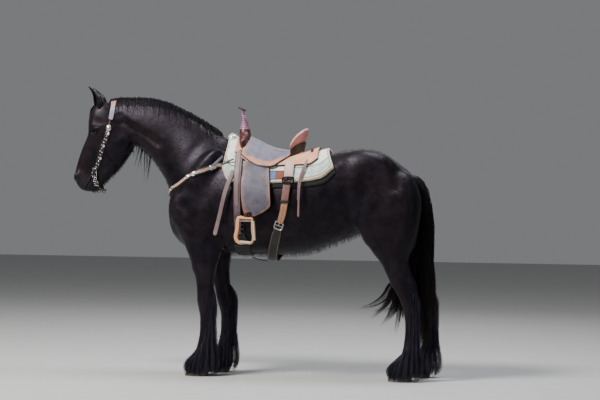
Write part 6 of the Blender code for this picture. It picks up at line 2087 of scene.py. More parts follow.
@dataclass(frozen=True)
class PadCloth:
    """The pad: white fleece above, a woven band of diamonds below, a cream binding and dark lines."""

    name: str = "pad_cloth"
    fleece: RGB = (0.78, 0.74, 0.69)
    cream: RGB = (0.62, 0.55, 0.40)
    teal: RGB = (0.36, 0.56, 0.48)
    pink: RGB = (0.74, 0.44, 0.42)
    line: RGB = (0.018, 0.020, 0.014)

    def build(self) -> bpy.types.Material:
        """Makes the material from the piece's own flat places."""
        made, n, shader = blank(self.name)
        place = n.add("TexCoord").outputs["Object"]
        lay = n.add("Attribute", {"attribute_name": "lay"}).outputs["Vector"]
        x, down, edge = list(n.add("SeparateXYZ", Vector=lay).outputs)[:3]
        away_x = n.maths("ABSOLUTE", n.maths("SUBTRACT", n.maths("FRACT", n.maths("DIVIDE", x, 0.058)),
            0.5))
        away_y = n.maths("ABSOLUTE", n.maths("SUBTRACT", n.maths("FRACT", n.maths("DIVIDE", down, 0.048)),
            0.5))
        diamond = n.maths("ADD", away_x, away_y)
        woven = n.mix(n.band(diamond, 0.44, 0.40), self.teal, self.fleece)
        woven = n.mix(n.band(diamond, 0.33, 0.29), woven, self.pink)
        woven = n.mix(n.band(diamond, 0.21, 0.17), woven, self.fleece)
        woven = n.mix(n.band(diamond, 0.12, 0.08), woven, self.teal)
        stripe = n.mix(n.band(x, -0.134, -0.128), (0.10, 0.16, 0.36), (0.20, 0.065, 0.045))
        middle = n.maths("MULTIPLY", n.band(x, -0.210, -0.206), n.band(x, -0.008, -0.012))
        woven = n.mix(middle, woven, stripe)
        high = n.maths("ADD", down, n.maths("MULTIPLY", middle, 0.022))
        colour = n.mix(n.band(high, 0.105, 0.101), self.fleece, woven)
        upper = n.maths("MULTIPLY", n.band(high, 0.099, 0.101), n.band(high, 0.107, 0.105))
        colour = n.mix(upper, colour, self.line)
        colour = n.mix(n.band(edge, 0.0195, 0.0185), colour, self.line)
        colour = n.mix(n.band(edge, 0.0160, 0.0150), colour, self.cream)
        threads = EFFECTS.weave(n, lay, 2600.0)
        wool = n.noise(place, 260.0, 4.0, 0.7)
        bound = n.maths("MAXIMUM", n.band(down, 0.103, 0.107), n.band(edge, 0.019, 0.017))
        height = n.add("Mix", {"data_type": "FLOAT"}, i0=bound, i2=threads,
            i3=n.maths("MULTIPLY", wool, 2.2)).outputs[0]
        grime = n.maths("MULTIPLY", n.band(n.noise(place, 14.0, 5.0), 0.50, 0.78), 0.34)
        colour = n.mix(grime, colour, (0.24, 0.19, 0.14))
        wire(n, shader, Base_Color=colour, Roughness=0.95, Normal=n.bump(height, 0.55, 0.0016))
        wire(n, shader, Sheen_Weight=0.15, Sheen_Roughness=0.6, Specular_IOR_Level=0.2)
        return made


@dataclass(frozen=True)
class FeltCloth:
    """Thick pressed felt."""

    name: str
    base: RGB
    fleck: RGB

    def build(self) -> bpy.types.Material:
        """Makes the material."""
        made, n, shader = blank(self.name)
        place = n.add("TexCoord").outputs["Object"]
        hairs = n.noise(n.stretch(place, (1.0, 1.0, 0.5)), 620.0, 4.0, 0.7)
        colour = n.mix(n.band(hairs, 0.52, 0.72), self.base, self.fleck)
        height = n.maths("ADD", hairs, n.noise(place, 90.0, 3.0))
        wire(n, shader, Base_Color=colour, Roughness=0.94, Normal=n.bump(height, 0.60, 0.0018))
        wire(n, shader, Sheen_Weight=0.12, Sheen_Roughness=0.6, Specular_IOR_Level=0.2)
        return made


@dataclass(frozen=True)
class CordYarn:
    """Twisted yarn: slanting plies along the cord."""

    name: str
    base: RGB
    light: RGB

    def build(self) -> bpy.types.Material:
        """Makes the material."""
        made, n, shader = blank(self.name)
        place = n.add("TexCoord").outputs["Object"]
        lay = n.add("Attribute", {"attribute_name": "lay"}).outputs["Vector"]
        run, across, _ = list(n.add("SeparateXYZ", Vector=lay).outputs)[:3]
        twist = n.maths("SINE", n.maths("ADD", n.maths("MULTIPLY", run, 900.0),
            n.maths("MULTIPLY", across, 800.0)))
        fuzz = n.noise(place, 900.0, 3.0)
        colour = n.mix(n.band(n.maths("ADD", twist, fuzz), 0.2, 1.3), self.base, self.light)
        height = n.maths("ADD", n.maths("MULTIPLY", twist, 0.8), fuzz)
        wire(n, shader, Base_Color=colour, Roughness=0.9, Normal=n.bump(height, 0.55, 0.0010))
        wire(n, shader, Sheen_Weight=0.10, Sheen_Roughness=0.6, Specular_IOR_Level=0.2)
        return made


@dataclass
class Finishes:
    """Every finish of the tack, made once."""

    def __post_init__(self) -> None:
        """Builds the materials."""
        tan = (0.52, 0.215, 0.100)
        grey, dust = (0.115, 0.110, 0.165), (0.24, 0.205, 0.225)
        # The seat's wide dark edge band is partly its dark edge and partly painted shadow under the
        # jockey's rim.
        self.seat = Leather("seat_leather", tan, dust, middle=grey, middle_from=(0.020, 0.052), wear=0.40,
            edge_line=0.011).build()
        self.fender = Leather(
            "fender_leather", (0.28, 0.13, 0.09), (0.145, 0.120, 0.135), middle=(0.068, 0.068, 0.098),
            middle_from=(0.004, 0.034),
            stitches=(0.007,), creased=0.6, wear=0.45,
        ).build()
        self.skirt = Leather(
            "skirt_leather", (0.80, 0.38, 0.22), (0.84, 0.54, 0.40), stitches=(0.008,),
            thread=(0.62, 0.46, 0.32),
            stamped=0.55, wear=0.35,
        ).build()
        self.front = Leather("front_leather", (0.76, 0.32, 0.19), (0.82, 0.48, 0.36), stitches=(0.008,),
            stamped=0.30).build()
        self.dark = Leather("swell_leather", (0.055, 0.009, 0.006), (0.100, 0.022, 0.016), rough=0.34,
            wear=0.30).build()
        self.horn = Leather("horn_leather", (0.130, 0.040, 0.062), (0.42, 0.22, 0.36), rough=0.34,
            wear=0.75).build()
        self.cantle = Leather(
            "cantle_leather", (0.50, 0.19, 0.17), (0.64, 0.38, 0.36), stitches=(0.012,), rough=0.30,
            wear=0.40,
        ).build()
        self.black = Leather("black_leather", (0.010, 0.009, 0.009), (0.045, 0.038, 0.034), rough=0.42,
            wear=0.3).build()
        self.latigo = Leather("latigo_leather", (0.092, 0.056, 0.067), (0.19, 0.135, 0.155), holes=0.036,
            wear=0.5).build()
        self.tail = Leather("latigo_tail_leather", (0.18, 0.115, 0.112), (0.27, 0.20, 0.195),
            wear=0.5).build()
        self.lace = Leather("lace_leather", (0.18, 0.090, 0.098), (0.28, 0.17, 0.18), wear=0.5,
            edge_line=0.001).build()
        self.billet = Leather(
            "billet_leather", (0.72, 0.46, 0.40), (0.80, 0.62, 0.56), stitches=(0.006,),
            thread=(0.66, 0.50, 0.38), stamped=0.9,
        ).build()
        self.red = Leather("billet_strap_leather", (0.17, 0.070, 0.055), (0.30, 0.16, 0.14),
            wear=0.4).build()
        self.holed = Leather("holed_leather", (0.44, 0.19, 0.095), (0.52, 0.30, 0.20), holes=0.024,
            stitches=(0.005,)).build()
        self.collar = Leather(
            "collar_leather", (0.50, 0.27, 0.22), (0.64, 0.45, 0.40), stitches=(0.005,), stamped=0.8,
            wear=0.4,
        ).build()
        self.crown = Leather("crown_leather", (0.56, 0.36, 0.33), (0.66, 0.52, 0.48), stitches=(0.0045,),
            wear=0.4).build()
        self.pale = Leather("pale_leather", (0.20, 0.19, 0.25), (0.34, 0.32, 0.38), wear=0.5).build()
        self.wrap = Leather("wrap_leather", (0.32, 0.14, 0.135), (0.44, 0.24, 0.24), wear=0.4).build()
        self.cheek = Leather("cheek_leather", (0.040, 0.018, 0.014), (0.14, 0.085, 0.07),
            stitches=(0.004,)).build()
        self.stirrup = Leather("stirrup_leather", (0.58, 0.25, 0.10), (0.72, 0.44, 0.26),
            edge=(0.66, 0.33, 0.15), stitches=(0.010,)).build()
        self.rawhide = Leather("rawhide", (0.62, 0.50, 0.36), (0.70, 0.62, 0.50), edge=(0.66, 0.56, 0.44),
            wear=0.4).build()
        self.olive = Leather("rear_cinch_leather", (0.010, 0.0085, 0.006), (0.030, 0.024, 0.018),
            stitches=(0.007,)).build()
        self.silver = Metal("silver", (0.78, 0.76, 0.73), (0.10, 0.09, 0.09), engraved=0.8).build()
        self.steel = Metal("steel", (0.58, 0.57, 0.56), (0.12, 0.10, 0.09), rough=0.30).build()
        self.brass = Metal("brass", (0.66, 0.45, 0.20), (0.16, 0.09, 0.04), rough=0.30).build()
        self.iron = Metal("black_iron", (0.030, 0.028, 0.030), (0.010, 0.009, 0.009), rough=0.35).build()
        self.pad = PadCloth().build()
        self.felt = FeltCloth("felt", (0.0085, 0.0085, 0.0080), (0.032, 0.034, 0.024)).build()
        self.cord = CordYarn("cinch_yarn", (0.010, 0.010, 0.011), (0.045, 0.042, 0.042)).build()


@dataclass
class Layer:
    """A layer laid over the back, down to a lower edge on both sides."""

    edges: tuple[tuple[float, float, float], ...]
    rows: int = 58
    columns: int = 91
    middle: float = 1.20

    def limit(self, skin: Surface, x: float, height: float, lift: float) -> float:
        """The angle at which the layer has come down to a height."""
        last = 0.0
        for k in range(1, 240):
            angle = 0.0075 * k
            if skin.around(x, angle, lift, self.middle).z < height:
                return last
            last = angle
        return last

    def grid(self, skin: Surface, lift: float) -> tuple[np.ndarray, np.ndarray, np.ndarray]:
        """Where the layer lies.

        Args:
            skin: What it lies on.
            lift: Its height above the skin, which sets how far its edges reach.

        Returns:
            Places on the skin, the ways out, and the flat places.
        """
        edges = np.array(self.edges, float)
        keys, share = np.linspace(0, 1, len(edges)), crowd(self.rows)
        tops, lows, heights = (smooth_through(keys, edges[:, k], share) for k in range(3))
        steps = crowd(self.columns) * 2 - 1
        at = np.zeros((self.rows, self.columns, 3))
        ways = np.zeros_like(at)
        for i in range(self.rows):
            limit = self.limit(skin, lows[i], heights[i], lift)
            for k, step in enumerate(steps):
                angle = limit * step
                ways[i, k] = (0, math.sin(angle), math.cos(angle))
                at[i, k] = skin.around(tops[i] + (lows[i] - tops[i]) * step * step, angle, 0.0, self.middle)
        return at, ways, self.flat(at)

    @staticmethod
    def flat(at: np.ndarray) -> np.ndarray:
        """Place along the horse, distance up from the lower edge, and distance from any edge."""
        around = np.concatenate([np.zeros((len(at), 1)),
            np.cumsum(np.linalg.norm(np.diff(at, axis=1), axis=2), axis=1)], axis=1)
        length = np.concatenate([np.zeros((1, at.shape[1])),
            np.cumsum(np.linalg.norm(np.diff(at, axis=0), axis=2), axis=0)])
        down = np.minimum(around, around[:, -1:] - around)
        ends = np.minimum(length, length[-1:] - length)
        return np.stack([at[..., 0], down, np.minimum(down, ends)], axis=2)

    def sheet(self, skin: Surface, low: float, top: float, round_edge: float) -> bmesh.types.BMesh:
        """A plain layer between two lifts, with a rounded rim."""
        at, ways, lay = self.grid(skin, top)
        full = low + (top - low) * (0.15 + 0.85 * rounded(lay[..., 2] / round_edge))
        return Shaper.panel(at + ways * full[..., None], at + ways * low, lay)


@dataclass
class Pad:
    """The saddle pad with its felt underneath and the oval boss at its front."""

    skin: Surface
    felt_top: float = 0.012
    pad_top: float = 0.033
    felt_edges: tuple[tuple[float, float, float], ...] = (
        (-0.484, -0.502, 1.40), (-0.42, -0.45, 1.300), (-0.2, -0.2, 1.285), (0.0, 0.0, 1.288),
        (0.14, 0.18, 1.312),
        (0.215, 0.276, 1.39),
    )
    pad_edges: tuple[tuple[float, float, float], ...] = (
        (-0.492, -0.512, 1.43), (-0.43, -0.45, 1.335), (-0.2, -0.2, 1.322), (0.0, 0.0, 1.330),
        (0.14, 0.17, 1.357),
        (0.205, 0.264, 1.432),
    )

    def build(self, finishes: Finishes) -> None:
        """Makes the felt and the pad."""
        felt = Layer(self.felt_edges).sheet(self.skin, 0.0015, self.felt_top, 0.008)
        piece = Bench.finish("pad_felt", felt, finishes.felt, ["saddle_felt"], "felt")
        at, ways, lay = Layer(self.pad_edges, 96, 141).grid(self.skin, self.pad_top)
        edge, down = lay[..., 2], lay[..., 1]
        full = self.felt_top + 0.0015 + (self.pad_top - self.felt_top - 0.0035) * (0.25 + 0.75
            * rounded(edge / 0.012))
        full -= 0.0028 * hill(edge, 0.0175, 0.0028)
        full -= 0.0018 * hill(down, 0.103, 0.004)
        wave = np.sin(at[..., 0] * 61.0 + 2.0 * np.sin(down * 30.0)) * np.sin(down * 74.0 + at[...,
            0] * 12.0)
        full += 0.0013 * wave * ease(0.02, 0.05, edge)
        tent = 0.016 * ease(-0.430, -0.478, at[..., 0]) * hill(at[..., 1], 0.0, 0.075)
        tent = tent + 0.013 * ease(0.06, 0.15, at[..., 0]) * hill(at[..., 1], 0.0, 0.16)
        full += tent
        pad = Shaper.panel(at + ways * full[..., None],
            at + ways * (self.felt_top + 0.0004 + tent)[..., None], lay)
        piece = Bench.finish("pad_body", pad, finishes.pad, ["saddle_pad"], "wool")
        for side in Side:
            normal = Vector((-0.15, side.sign * 0.80, 0.58)).normalized()
            place = self.skin.around(-0.474, side.sign * 0.13, self.pad_top + 0.012)
            boss = Shaper.boss(place, normal, 0.0265, 0.010, 0.90)
            Bench.finish(f"pad_boss_{side.word}", boss, finishes.silver, (), "silver")


SEAT = rings(
    (-0.345, 1.650, -0.345, 1.520, 0.085),
    (-0.300, 1.628, -0.300, 1.500, 0.110),
    (-0.220, 1.588, -0.220, 1.470, 0.145, 0.5, 2.6),
    (-0.140, 1.560, -0.140, 1.450, 0.165, 0.5, 2.8),
    (-0.060, 1.548, -0.060, 1.450, 0.175, 0.5, 2.8),
    (0.010, 1.565, 0.010, 1.450, 0.165, 0.5, 2.8),
    (0.060, 1.590, 0.060, 1.470, 0.130),
)
SWELL = rings(
    (-0.418, 1.578, -0.345, 1.526, 0.150),
    (-0.423, 1.610, -0.348, 1.594, 0.162),
    (-0.428, 1.645, -0.350, 1.638, 0.110),
    (-0.430, 1.676, -0.353, 1.674, 0.046),
    (-0.428, 1.700, -0.358, 1.700, 0.034),
)
HORN = rings(
    (-0.427, 1.698, -0.358, 1.698, 0.036),
    (-0.420, 1.738, -0.370, 1.740, 0.027),
    (-0.418, 1.775, -0.383, 1.776, 0.020),
    (-0.422, 1.816, -0.398, 1.806, 0.017),
    (-0.430, 1.838, -0.401, 1.825, 0.018),
)


@dataclass
class Saddle:
    """Skirts, seat, swell, horn and cantle."""

    skin: Surface
    skirt_top: float = 0.046
    jockey_top: float = 0.056
    skirt_edges: tuple[tuple[float, float, float], ...] = (
        (-0.425, -0.430, 1.535), (-0.30, -0.32, 1.46), (-0.15, -0.15, 1.440), (0.0, 0.0, 1.445),
        (0.09, 0.09, 1.45),
        (0.140, 0.150, 1.49),
    )
    jockey_edges: tuple[tuple[float, float, float], ...] = (
        (-0.385, -0.385, 1.515), (-0.33, -0.33, 1.475), (-0.25, -0.25, 1.435), (-0.17, -0.17, 1.428),
        (-0.10, -0.10, 1.470), (0.020, -0.04, 1.520),
    )

    def build(self, finishes: Finishes) -> None:
        """Makes its pieces."""
        self.skirts(finishes)
        self.seat(finishes)
        self.fork(finishes)
        self.cantle(finishes)
        self.rosettes(finishes)

    def skirts(self, finishes: Finishes) -> None:
        """The skirts, with the front part in its own redder leather."""
        layer = Layer(self.skirt_edges, 74, 101)
        at, ways, lay = layer.grid(self.skin, self.skirt_top)
        full = 0.036 + (self.skirt_top - 0.036) * (0.2 + 0.8 * rounded(lay[..., 2] / 0.004))
        full += 0.0016 * hill(lay[..., 2], 0.016, 0.006)
        tent = 0.020 * ease(0.02, 0.13, at[..., 0]) * hill(at[..., 1], 0.0, 0.16)
        skirts = Shaper.panel(at + ways * (full + tent)[..., None],
            at + ways * (0.0352 + 0.7 * tent)[..., None], lay)
        Bench.finish("skirts", skirts, finishes.skirt, ["saddle_skirt"], "leather_tan")
        keep = at[:, 0, 0] < -0.285
        front = [at[keep], ways[keep], lay[keep]]
        full = self.skirt_top + 0.0005 + 0.0030 * rounded(front[2][..., 2] / 0.004)
        cover = Shaper.panel(front[0] + front[1] * full[..., None],
            front[0] + front[1] * (self.skirt_top - 0.003), front[2])
        Bench.finish("front_skirts", cover, finishes.front, (), "leather_tan")

    def seat(self, finishes: Finishes) -> None:
        """The seat, whose leather runs on down into the side flaps."""
        core = bmesh.new()
        add_loft(core, SEAT, 40, 30)
        over = Surface(core)
        core.free()
        layer = Layer(self.jockey_edges, 80, 121)
        at, ways, lay = layer.grid(self.skin, self.jockey_top)
        middle = np.array((0, 0, layer.middle))
        top = np.linalg.norm((at - middle)[..., 1:],
            axis=2) + self.jockey_top - 0.004 + 0.004 * rounded(lay[..., 2] / 0.004)
        low = top - 0.0075
        for i in range(layer.rows):
            for k in range(layer.columns):
                start = Vector((at[i, k, 0], 0, layer.middle)) + Vector(ways[i, k]) * 2.0
                hit = over.tree.ray_cast(start, -Vector(ways[i, k]))[0]
                if hit is not None:
                    reach = math.hypot(hit.y, hit.z - layer.middle)
                    gap = top[i, k] - reach
                    top[i, k] = 0.5 * (top[i, k] + reach + math.sqrt(gap * gap + 0.00012))
        base = at.copy()
        base[..., 1:] = middle[1:]
        seat = Shaper.panel(base + ways * top[..., None], base + ways * low[..., None], lay)
        Bench.finish("seat_cover", seat, finishes.seat, ["saddle_seat"], "leather_worn")

    def fork(self, finishes: Finishes) -> None:
        """The swell and the horn."""
        for name, table, around, count, finish, node in (
            ("swell_cover", SWELL, 44, 26, finishes.dark, "saddle_swell"),
            ("horn_cover", HORN, 32, 40, finishes.horn, "saddle_horn"),
        ):
            bm = bmesh.new()
            layer = bm.verts.layers.float_vector.new("lay")
            add_loft(bm, table, around, count)
            for v in bm.verts:
                v[layer] = (v.co.z, v.co.y, 0.05)
                if name == "horn_cover" and v.co.z < 1.81:
                    turned = v.co.z + 0.010 * math.atan2(v.co.y, v.co.x + 0.395) / math.pi
                    middle = Vector((-0.393 - 0.30 * (v.co.z - 1.70) * 0.35, 0, v.co.z))
                    v.co += (v.co - middle).normalized() * 0.0012 * math.sin(turned * 2 * math.pi / 0.013)
            bm.normal_update()
            bmesh.ops.recalc_face_normals(bm, faces=bm.faces)
            Bench.finish(name, bm, finish, [node], "leather_dark")
        cap = Shaper.boss((-0.415, 0, 1.838), (0.42, 0, 0.91), 0.0300, 0.013, 1.0, 0.30)
        Bench.finish("horn_cap", cap, finishes.black, (), "leather_dark")

    def cantle(self, finishes: Finishes) -> None:
        """The raised back of the seat, its rolled rim, and a black back panel that paints its shade."""
        turns, shares = np.linspace(-82, 82, 49), crowd(15)
        for name, finish, low_share, high_share, inner, outer in (
            ("cantle_face", finishes.cantle, 0.0, 1.0, -0.012, 0.012),
            # The second panel is black leather laid on the cantle's back and underside as painted shade.
            ("cantle_back", finishes.black, 0.0, 0.56, 0.008, 0.0145),
        ):
            faces = []
            for offset in (outer, inner):
                rows = []
                for turn in turns:
                    c, s = math.cos(math.radians(turn)), math.sin(math.radians(turn))
                    foot = np.array((-0.072 + 0.070 * c + 0.014 * s * s, 0.160 * s, 1.504))
                    top = np.array((-0.072 + 0.120 * c ** 1.5 + 0.014 * s * s, 0.168 * s,
                        1.534 + 0.170 * c ** 0.72))
                    out = Vector((c, s * 0.8, -0.4)).normalized()
                    row = []
                    for share in shares:
                        t = low_share + (high_share - low_share) * share
                        bend = 0.010 * math.sin(math.pi * t) * (1 if offset < 0 or name == "cantle_back"
                            else 0.8)
                        wide = 1.0 if name == "cantle_back" else 0.62 + 0.42 * ease(0.62, 0.92, t)
                        rim = 1.0 if t < 0.93 or name == "cantle_back" else math.sqrt(max(0.05,
                            1 - ((t - 0.93) / 0.075) ** 2))
                        row.append(foot + (top - foot) * t + np.array(out)
                            * (offset * wide * rim - bend * 0.4))
                    rows.append(row)
                faces.append(np.array(rows))
            top, low = faces
            run = np.concatenate([[0], np.cumsum(np.linalg.norm(np.diff(top[:, -1], axis=0), axis=1))])
            up = np.linalg.norm(top - top[:, :1], axis=2)
            ends = np.minimum(run, run[-1] - run)[:, None]
            lay = np.stack([np.broadcast_to(run[:, None], up.shape), up,
                np.minimum(up[:, -1:] - up + 0.004, ends + 0.004)], axis=2)
            panel = Shaper.panel(top, low, lay)
            nodes = ["saddle_cantle"] if name == "cantle_face" else []
            Bench.finish(name, panel, finish, nodes, "leather_dark")

    def rosettes(self, finishes: Finishes) -> None:
        """Round leather bosses that hold the saddle's laces."""
        parts, centres = [], []
        for side in Side:
            for x, z, lift in ((-0.412, 1.590, 0.050), (-0.046, 1.530, 0.058), (0.088, 1.530, 0.048)):
                reach = self.skin.side(x, z, side.sign)
                place, normal = self.skin.lay((x, side.sign * reach, z), lift)
                parts.append(Shaper.boss(place, normal, 0.019, 0.006, 1.0, 0.30))
                centres.append(Shaper.boss(place + normal * 0.005, normal, 0.009, 0.006))
        Bench.finish("lace_rosettes", Bench.join("rosettes", parts), finishes.skirt, (), "leather_tan")
        Bench.finish("lace_bosses", Bench.join("bosses", centres), finishes.silver, (), "silver")


@dataclass
class SideStraps:
    """Everything that hangs on one side: fender, stirrup, latigo, billet and laces."""

    side: Side
    skin: Surface

    def hung(self, rows: Sequence[Sequence[float]], count: int,
            top: float | None = None) -> tuple[np.ndarray, np.ndarray]:
        """A hanging path and its widths.

        Args:
            rows: x, height, width and lift from the skin, from the top down.
            count: Places to make.
            top: Height from which it falls straight; without one it follows the side.

        Returns:
            The path and the half widths.
        """
        table = np.array(rows)[::-1]
        at = np.linspace(rows[0][1], rows[-1][1], count)
        xs, widths, lifts = (smooth_through(table[:, 1], table[:, k], at) for k in (0, 2, 3))
        high = top
        path = [self.skin.hang(x, z, z + 0.001 if high is None else high, self.side.sign, lift) for x, z,
            lift in zip(xs, at, lifts)]
        return np.array([p[:] for p in path]), widths / 2

    def strap(
        self, name: str, rows: Sequence[Sequence[float]], thick: float, finish: bpy.types.Material,
        node: str = "",
        slot: str = "leather_brown", top: float | None = None, count: int = 44, tip: float = 0.0,
        shift: float = 0.0,
    ) -> np.ndarray:
        """A flat hanging strap.

        Args:
            name: The piece's name without its side.
            rows: As in hung().
            thick: Its thickness.
            finish: Its material.
            node: The CAD node that it stands for.
            slot: Not used.
            top: As in hung().
            count: Places along it.
            tip: Length of its rounded end.
            shift: How far out it is moved.

        Returns:
            Its path.
        """
        path, half = self.hung(rows, count, top)
        path[:, 1] += self.side.sign * shift
        if tip:
            left = (path[:, 2] - path[-1, 2]) / tip
            half = half * (0.30 + 0.70 * rounded(left))
        bm = Shaper.sweep(path, (0, self.side.sign, 0), half, thick)
        Bench.finish(f"{name}_{self.side.word}", bm, finish, [node] if node else [], slot)
        return path

    def build(self, finishes: Finishes) -> None:
        """Makes its pieces."""
        word, sign = self.side.word, self.side.sign
        self.latigo(finishes)
        self.fender(finishes)
        self.stirrup(finishes)
        self.billet(finishes)
        tie = ((0.104, 1.560, 0.017, 0.150), (0.092, 1.510, 0.017, 0.112), (0.072, 1.440, 0.016, 0.072),
            (0.044, 1.320, 0.015, 0.042), (0.040, 1.090, 0.014, 0.036))
        self.strap("tie_lace", tie, 0.0045, finishes.lace, f"tie_string_{word}", top=1.53, count=50,
            tip=0.02)
        second = tuple((x - 0.007, z, w * 0.6, lift) for x, z, w,
            lift in tie[:4]) + ((0.034, 1.200, 0.008, 0.036),)
        self.strap("tie_lace_short", second, 0.003, finishes.lace, top=1.53, count=40, tip=0.02,
            shift=0.0046)
        if self.side is Side.NEAR:
            tail = ((-0.425, 1.400, 0.032, 0.037), (-0.466, 1.270, 0.031, 0.037),
                (-0.512, 1.080, 0.030, 0.037), (-0.540, 0.958, 0.032, 0.037))
            path, half = self.hung(tail, 40, 1.40)
            half = half * (0.30 + 0.70 * rounded((path[:, 2] - path[-1, 2]) / 0.020))
            path[:, 1] += 0.004 * np.sin(np.linspace(0, 7, 40)) * sign
            bm = Shaper.sweep(path, (0, sign, 0), half, 0.005)
            Bench.finish("latigo_end", bm, finishes.tail, ["latigo_tail"], "leather_brown")

    def latigo(self, finishes: Finishes) -> None:
        """The strap that draws the front cinch up, wound twice, and its ring."""
        word, sign = self.side.word, self.side.sign
        rows = ((-0.398, 1.545, 0.054, 0.050), (-0.390, 1.350, 0.053, 0.042), (-0.387, 1.200, 0.051, 0.018),
                (-0.385, 1.080, 0.050, 0.012), (-0.385, 0.975, 0.048, 0.012))
        self.strap("latigo_under", rows, 0.0040, finishes.latigo, f"latigo_{word}")
        upper = tuple((x + 0.004, z, w * 0.80, lift) for x, z, w, lift in rows[:4])
        self.strap("latigo_over", upper, 0.0032, finishes.latigo, shift=0.0041)
        third = tuple((x - 0.004, z, w * 0.62, lift) for x, z, w,
            lift in rows[:3]) + ((-0.390, 1.160, 0.030, 0.014),)
        self.strap("latigo_knot", third, 0.0028, finishes.tail, shift=0.0074, tip=0.03)
        place, normal = self.skin.lay((-0.388, sign * 0.30, 0.985), 0.012)
        ring = Shaper.buckle(place, normal, (0, 0, 1), 0.082, 0.060, 0.0075)
        Bench.finish(f"cinch_ring_{word}", ring, finishes.iron, (), "silver")

    def fender(self, finishes: Finishes) -> None:
        """The wide leather panel that the stirrup hangs from."""
        rows = ((-0.264, 1.480, 0.176, 0.060), (-0.264, 1.430, 0.178, 0.060), (-0.260, 1.330, 0.194, 0.060),
                (-0.251, 1.230, 0.200, 0.060), (-0.245, 1.165, 0.194, 0.060), (-0.262, 1.122, 0.140, 0.060),
                (-0.290, 1.088, 0.060, 0.060))
        path, half = self.hung(rows, 64, 1.48)
        steps = crowd(33) * 2 - 1
        sign = self.side.sign
        top = np.zeros((64, 33, 3))
        for i in range(64):
            share = (path[i, 2] - 1.088) / 0.392
            for k, step in enumerate(steps):
                out = 0.0065 - 0.003 * step * step + 0.0022 * math.sin(4.5 * share + 2.0
                    * step) + 0.0014 * math.sin(17 * share + step * 2)
                top[i, k] = path[i] + (half[i] * step, sign * out, 0)
        lay = Layer.flat(top)
        lay[..., 0] = (1.48 - top[..., 2])
        lay[..., 1] = top[..., 0] - path[:, None, 0]
        rim = 0.0018 * (1 - rounded(lay[..., 2] / 0.003))
        low = top - np.array((0, sign * 0.0048, 0))
        top = top - np.stack([0 * rim, sign * rim, 0 * rim], axis=2)
        Bench.finish(f"fender_panel_{self.side.word}", Shaper.panel(top, low, lay), finishes.fender,
            [f"fender_{self.side.word}"], "leather_worn")

    def stirrup(self, finishes: Finishes) -> None:
        """The stirrup: a bound bow, a pale rear leg, a tread, its bolt and the hobble strap."""
        word, sign = self.side.word, self.side.sign
        corners = ((-0.354, 1.078), (-0.270, 1.078), (-0.264, 1.010), (-0.258, 0.945), (-0.274, 0.910),
            (-0.352, 0.920),
                   (-0.370, 0.950), (-0.362, 1.010))
        knots = np.array([(x, sign * 0.372, z) for x, z in corners + corners[:1]])
        path = even_curve(knots, 65)[:-1]
        middle = np.array((-0.312, sign * 0.372, 0.995))
        out = path - middle
        out /= np.linalg.norm(out, axis=1, keepdims=True)
        front = ease(-0.300, -0.350, path[:, 0])
        bow = Shaper.sweep(path - out * 0.007, out, 0.0205 + 0.004 * front, 0.012 + 0.010 * front, FLAT,
            closed=True)
        Bench.finish(f"stirrup_bow_{word}", bow, finishes.stirrup, [f"stirrup_{word}"], "brass")
        rear = np.array([(x, sign * 0.372, z) for x,
            z in ((-0.2630, 1.060), (-0.2580, 1.010), (-0.2520, 0.932))])
        Bench.finish(f"stirrup_leg_{word}", Shaper.sweep(even_curve(rear, 14), (1, 0, 0), 0.021, 0.009),
            finishes.rawhide, (), "leather_tan")
        tread = np.array([(-0.345, sign * 0.372, 0.929), (-0.310, sign * 0.372, 0.926),
            (-0.272, sign * 0.372, 0.923)])
        Bench.finish(f"stirrup_tread_{word}", Shaper.sweep(even_curve(tread, 14), (0, 0, -1), 0.027, 0.016),
            finishes.rawhide, (), "leather_tan")
        bolt = np.array([(-0.352, sign * 0.372, 1.062), (-0.266, sign * 0.372, 1.062)])
        Bench.finish(f"stirrup_bolt_{word}", Shaper.sweep(bolt, (0, sign, 0), 0.006, 0.012, ROUND),
            finishes.steel, (), "silver")
        y = abs(self.skin.hang(-0.29, 1.10, 1.48, sign, 0.060).y)
        strap = np.array([(-0.318, sign * (y + 0.004), 1.108), (-0.290, sign * (y + 0.012), 1.105),
            (-0.262, sign * (y + 0.004), 1.108)])
        Bench.finish(f"hobble_strap_{word}",
            Shaper.sweep(even_curve(strap, 16), (0, sign, 0), 0.0110, 0.004), finishes.dark, (),
            "leather_dark")
        buckle = Shaper.buckle((-0.290, sign * (y + 0.0155), 1.105), (0, sign, 0), (1, 0, 0), 0.026, 0.022,
            0.0035)
        Bench.finish(f"hobble_buckle_{word}", buckle, finishes.iron, (), "brass")

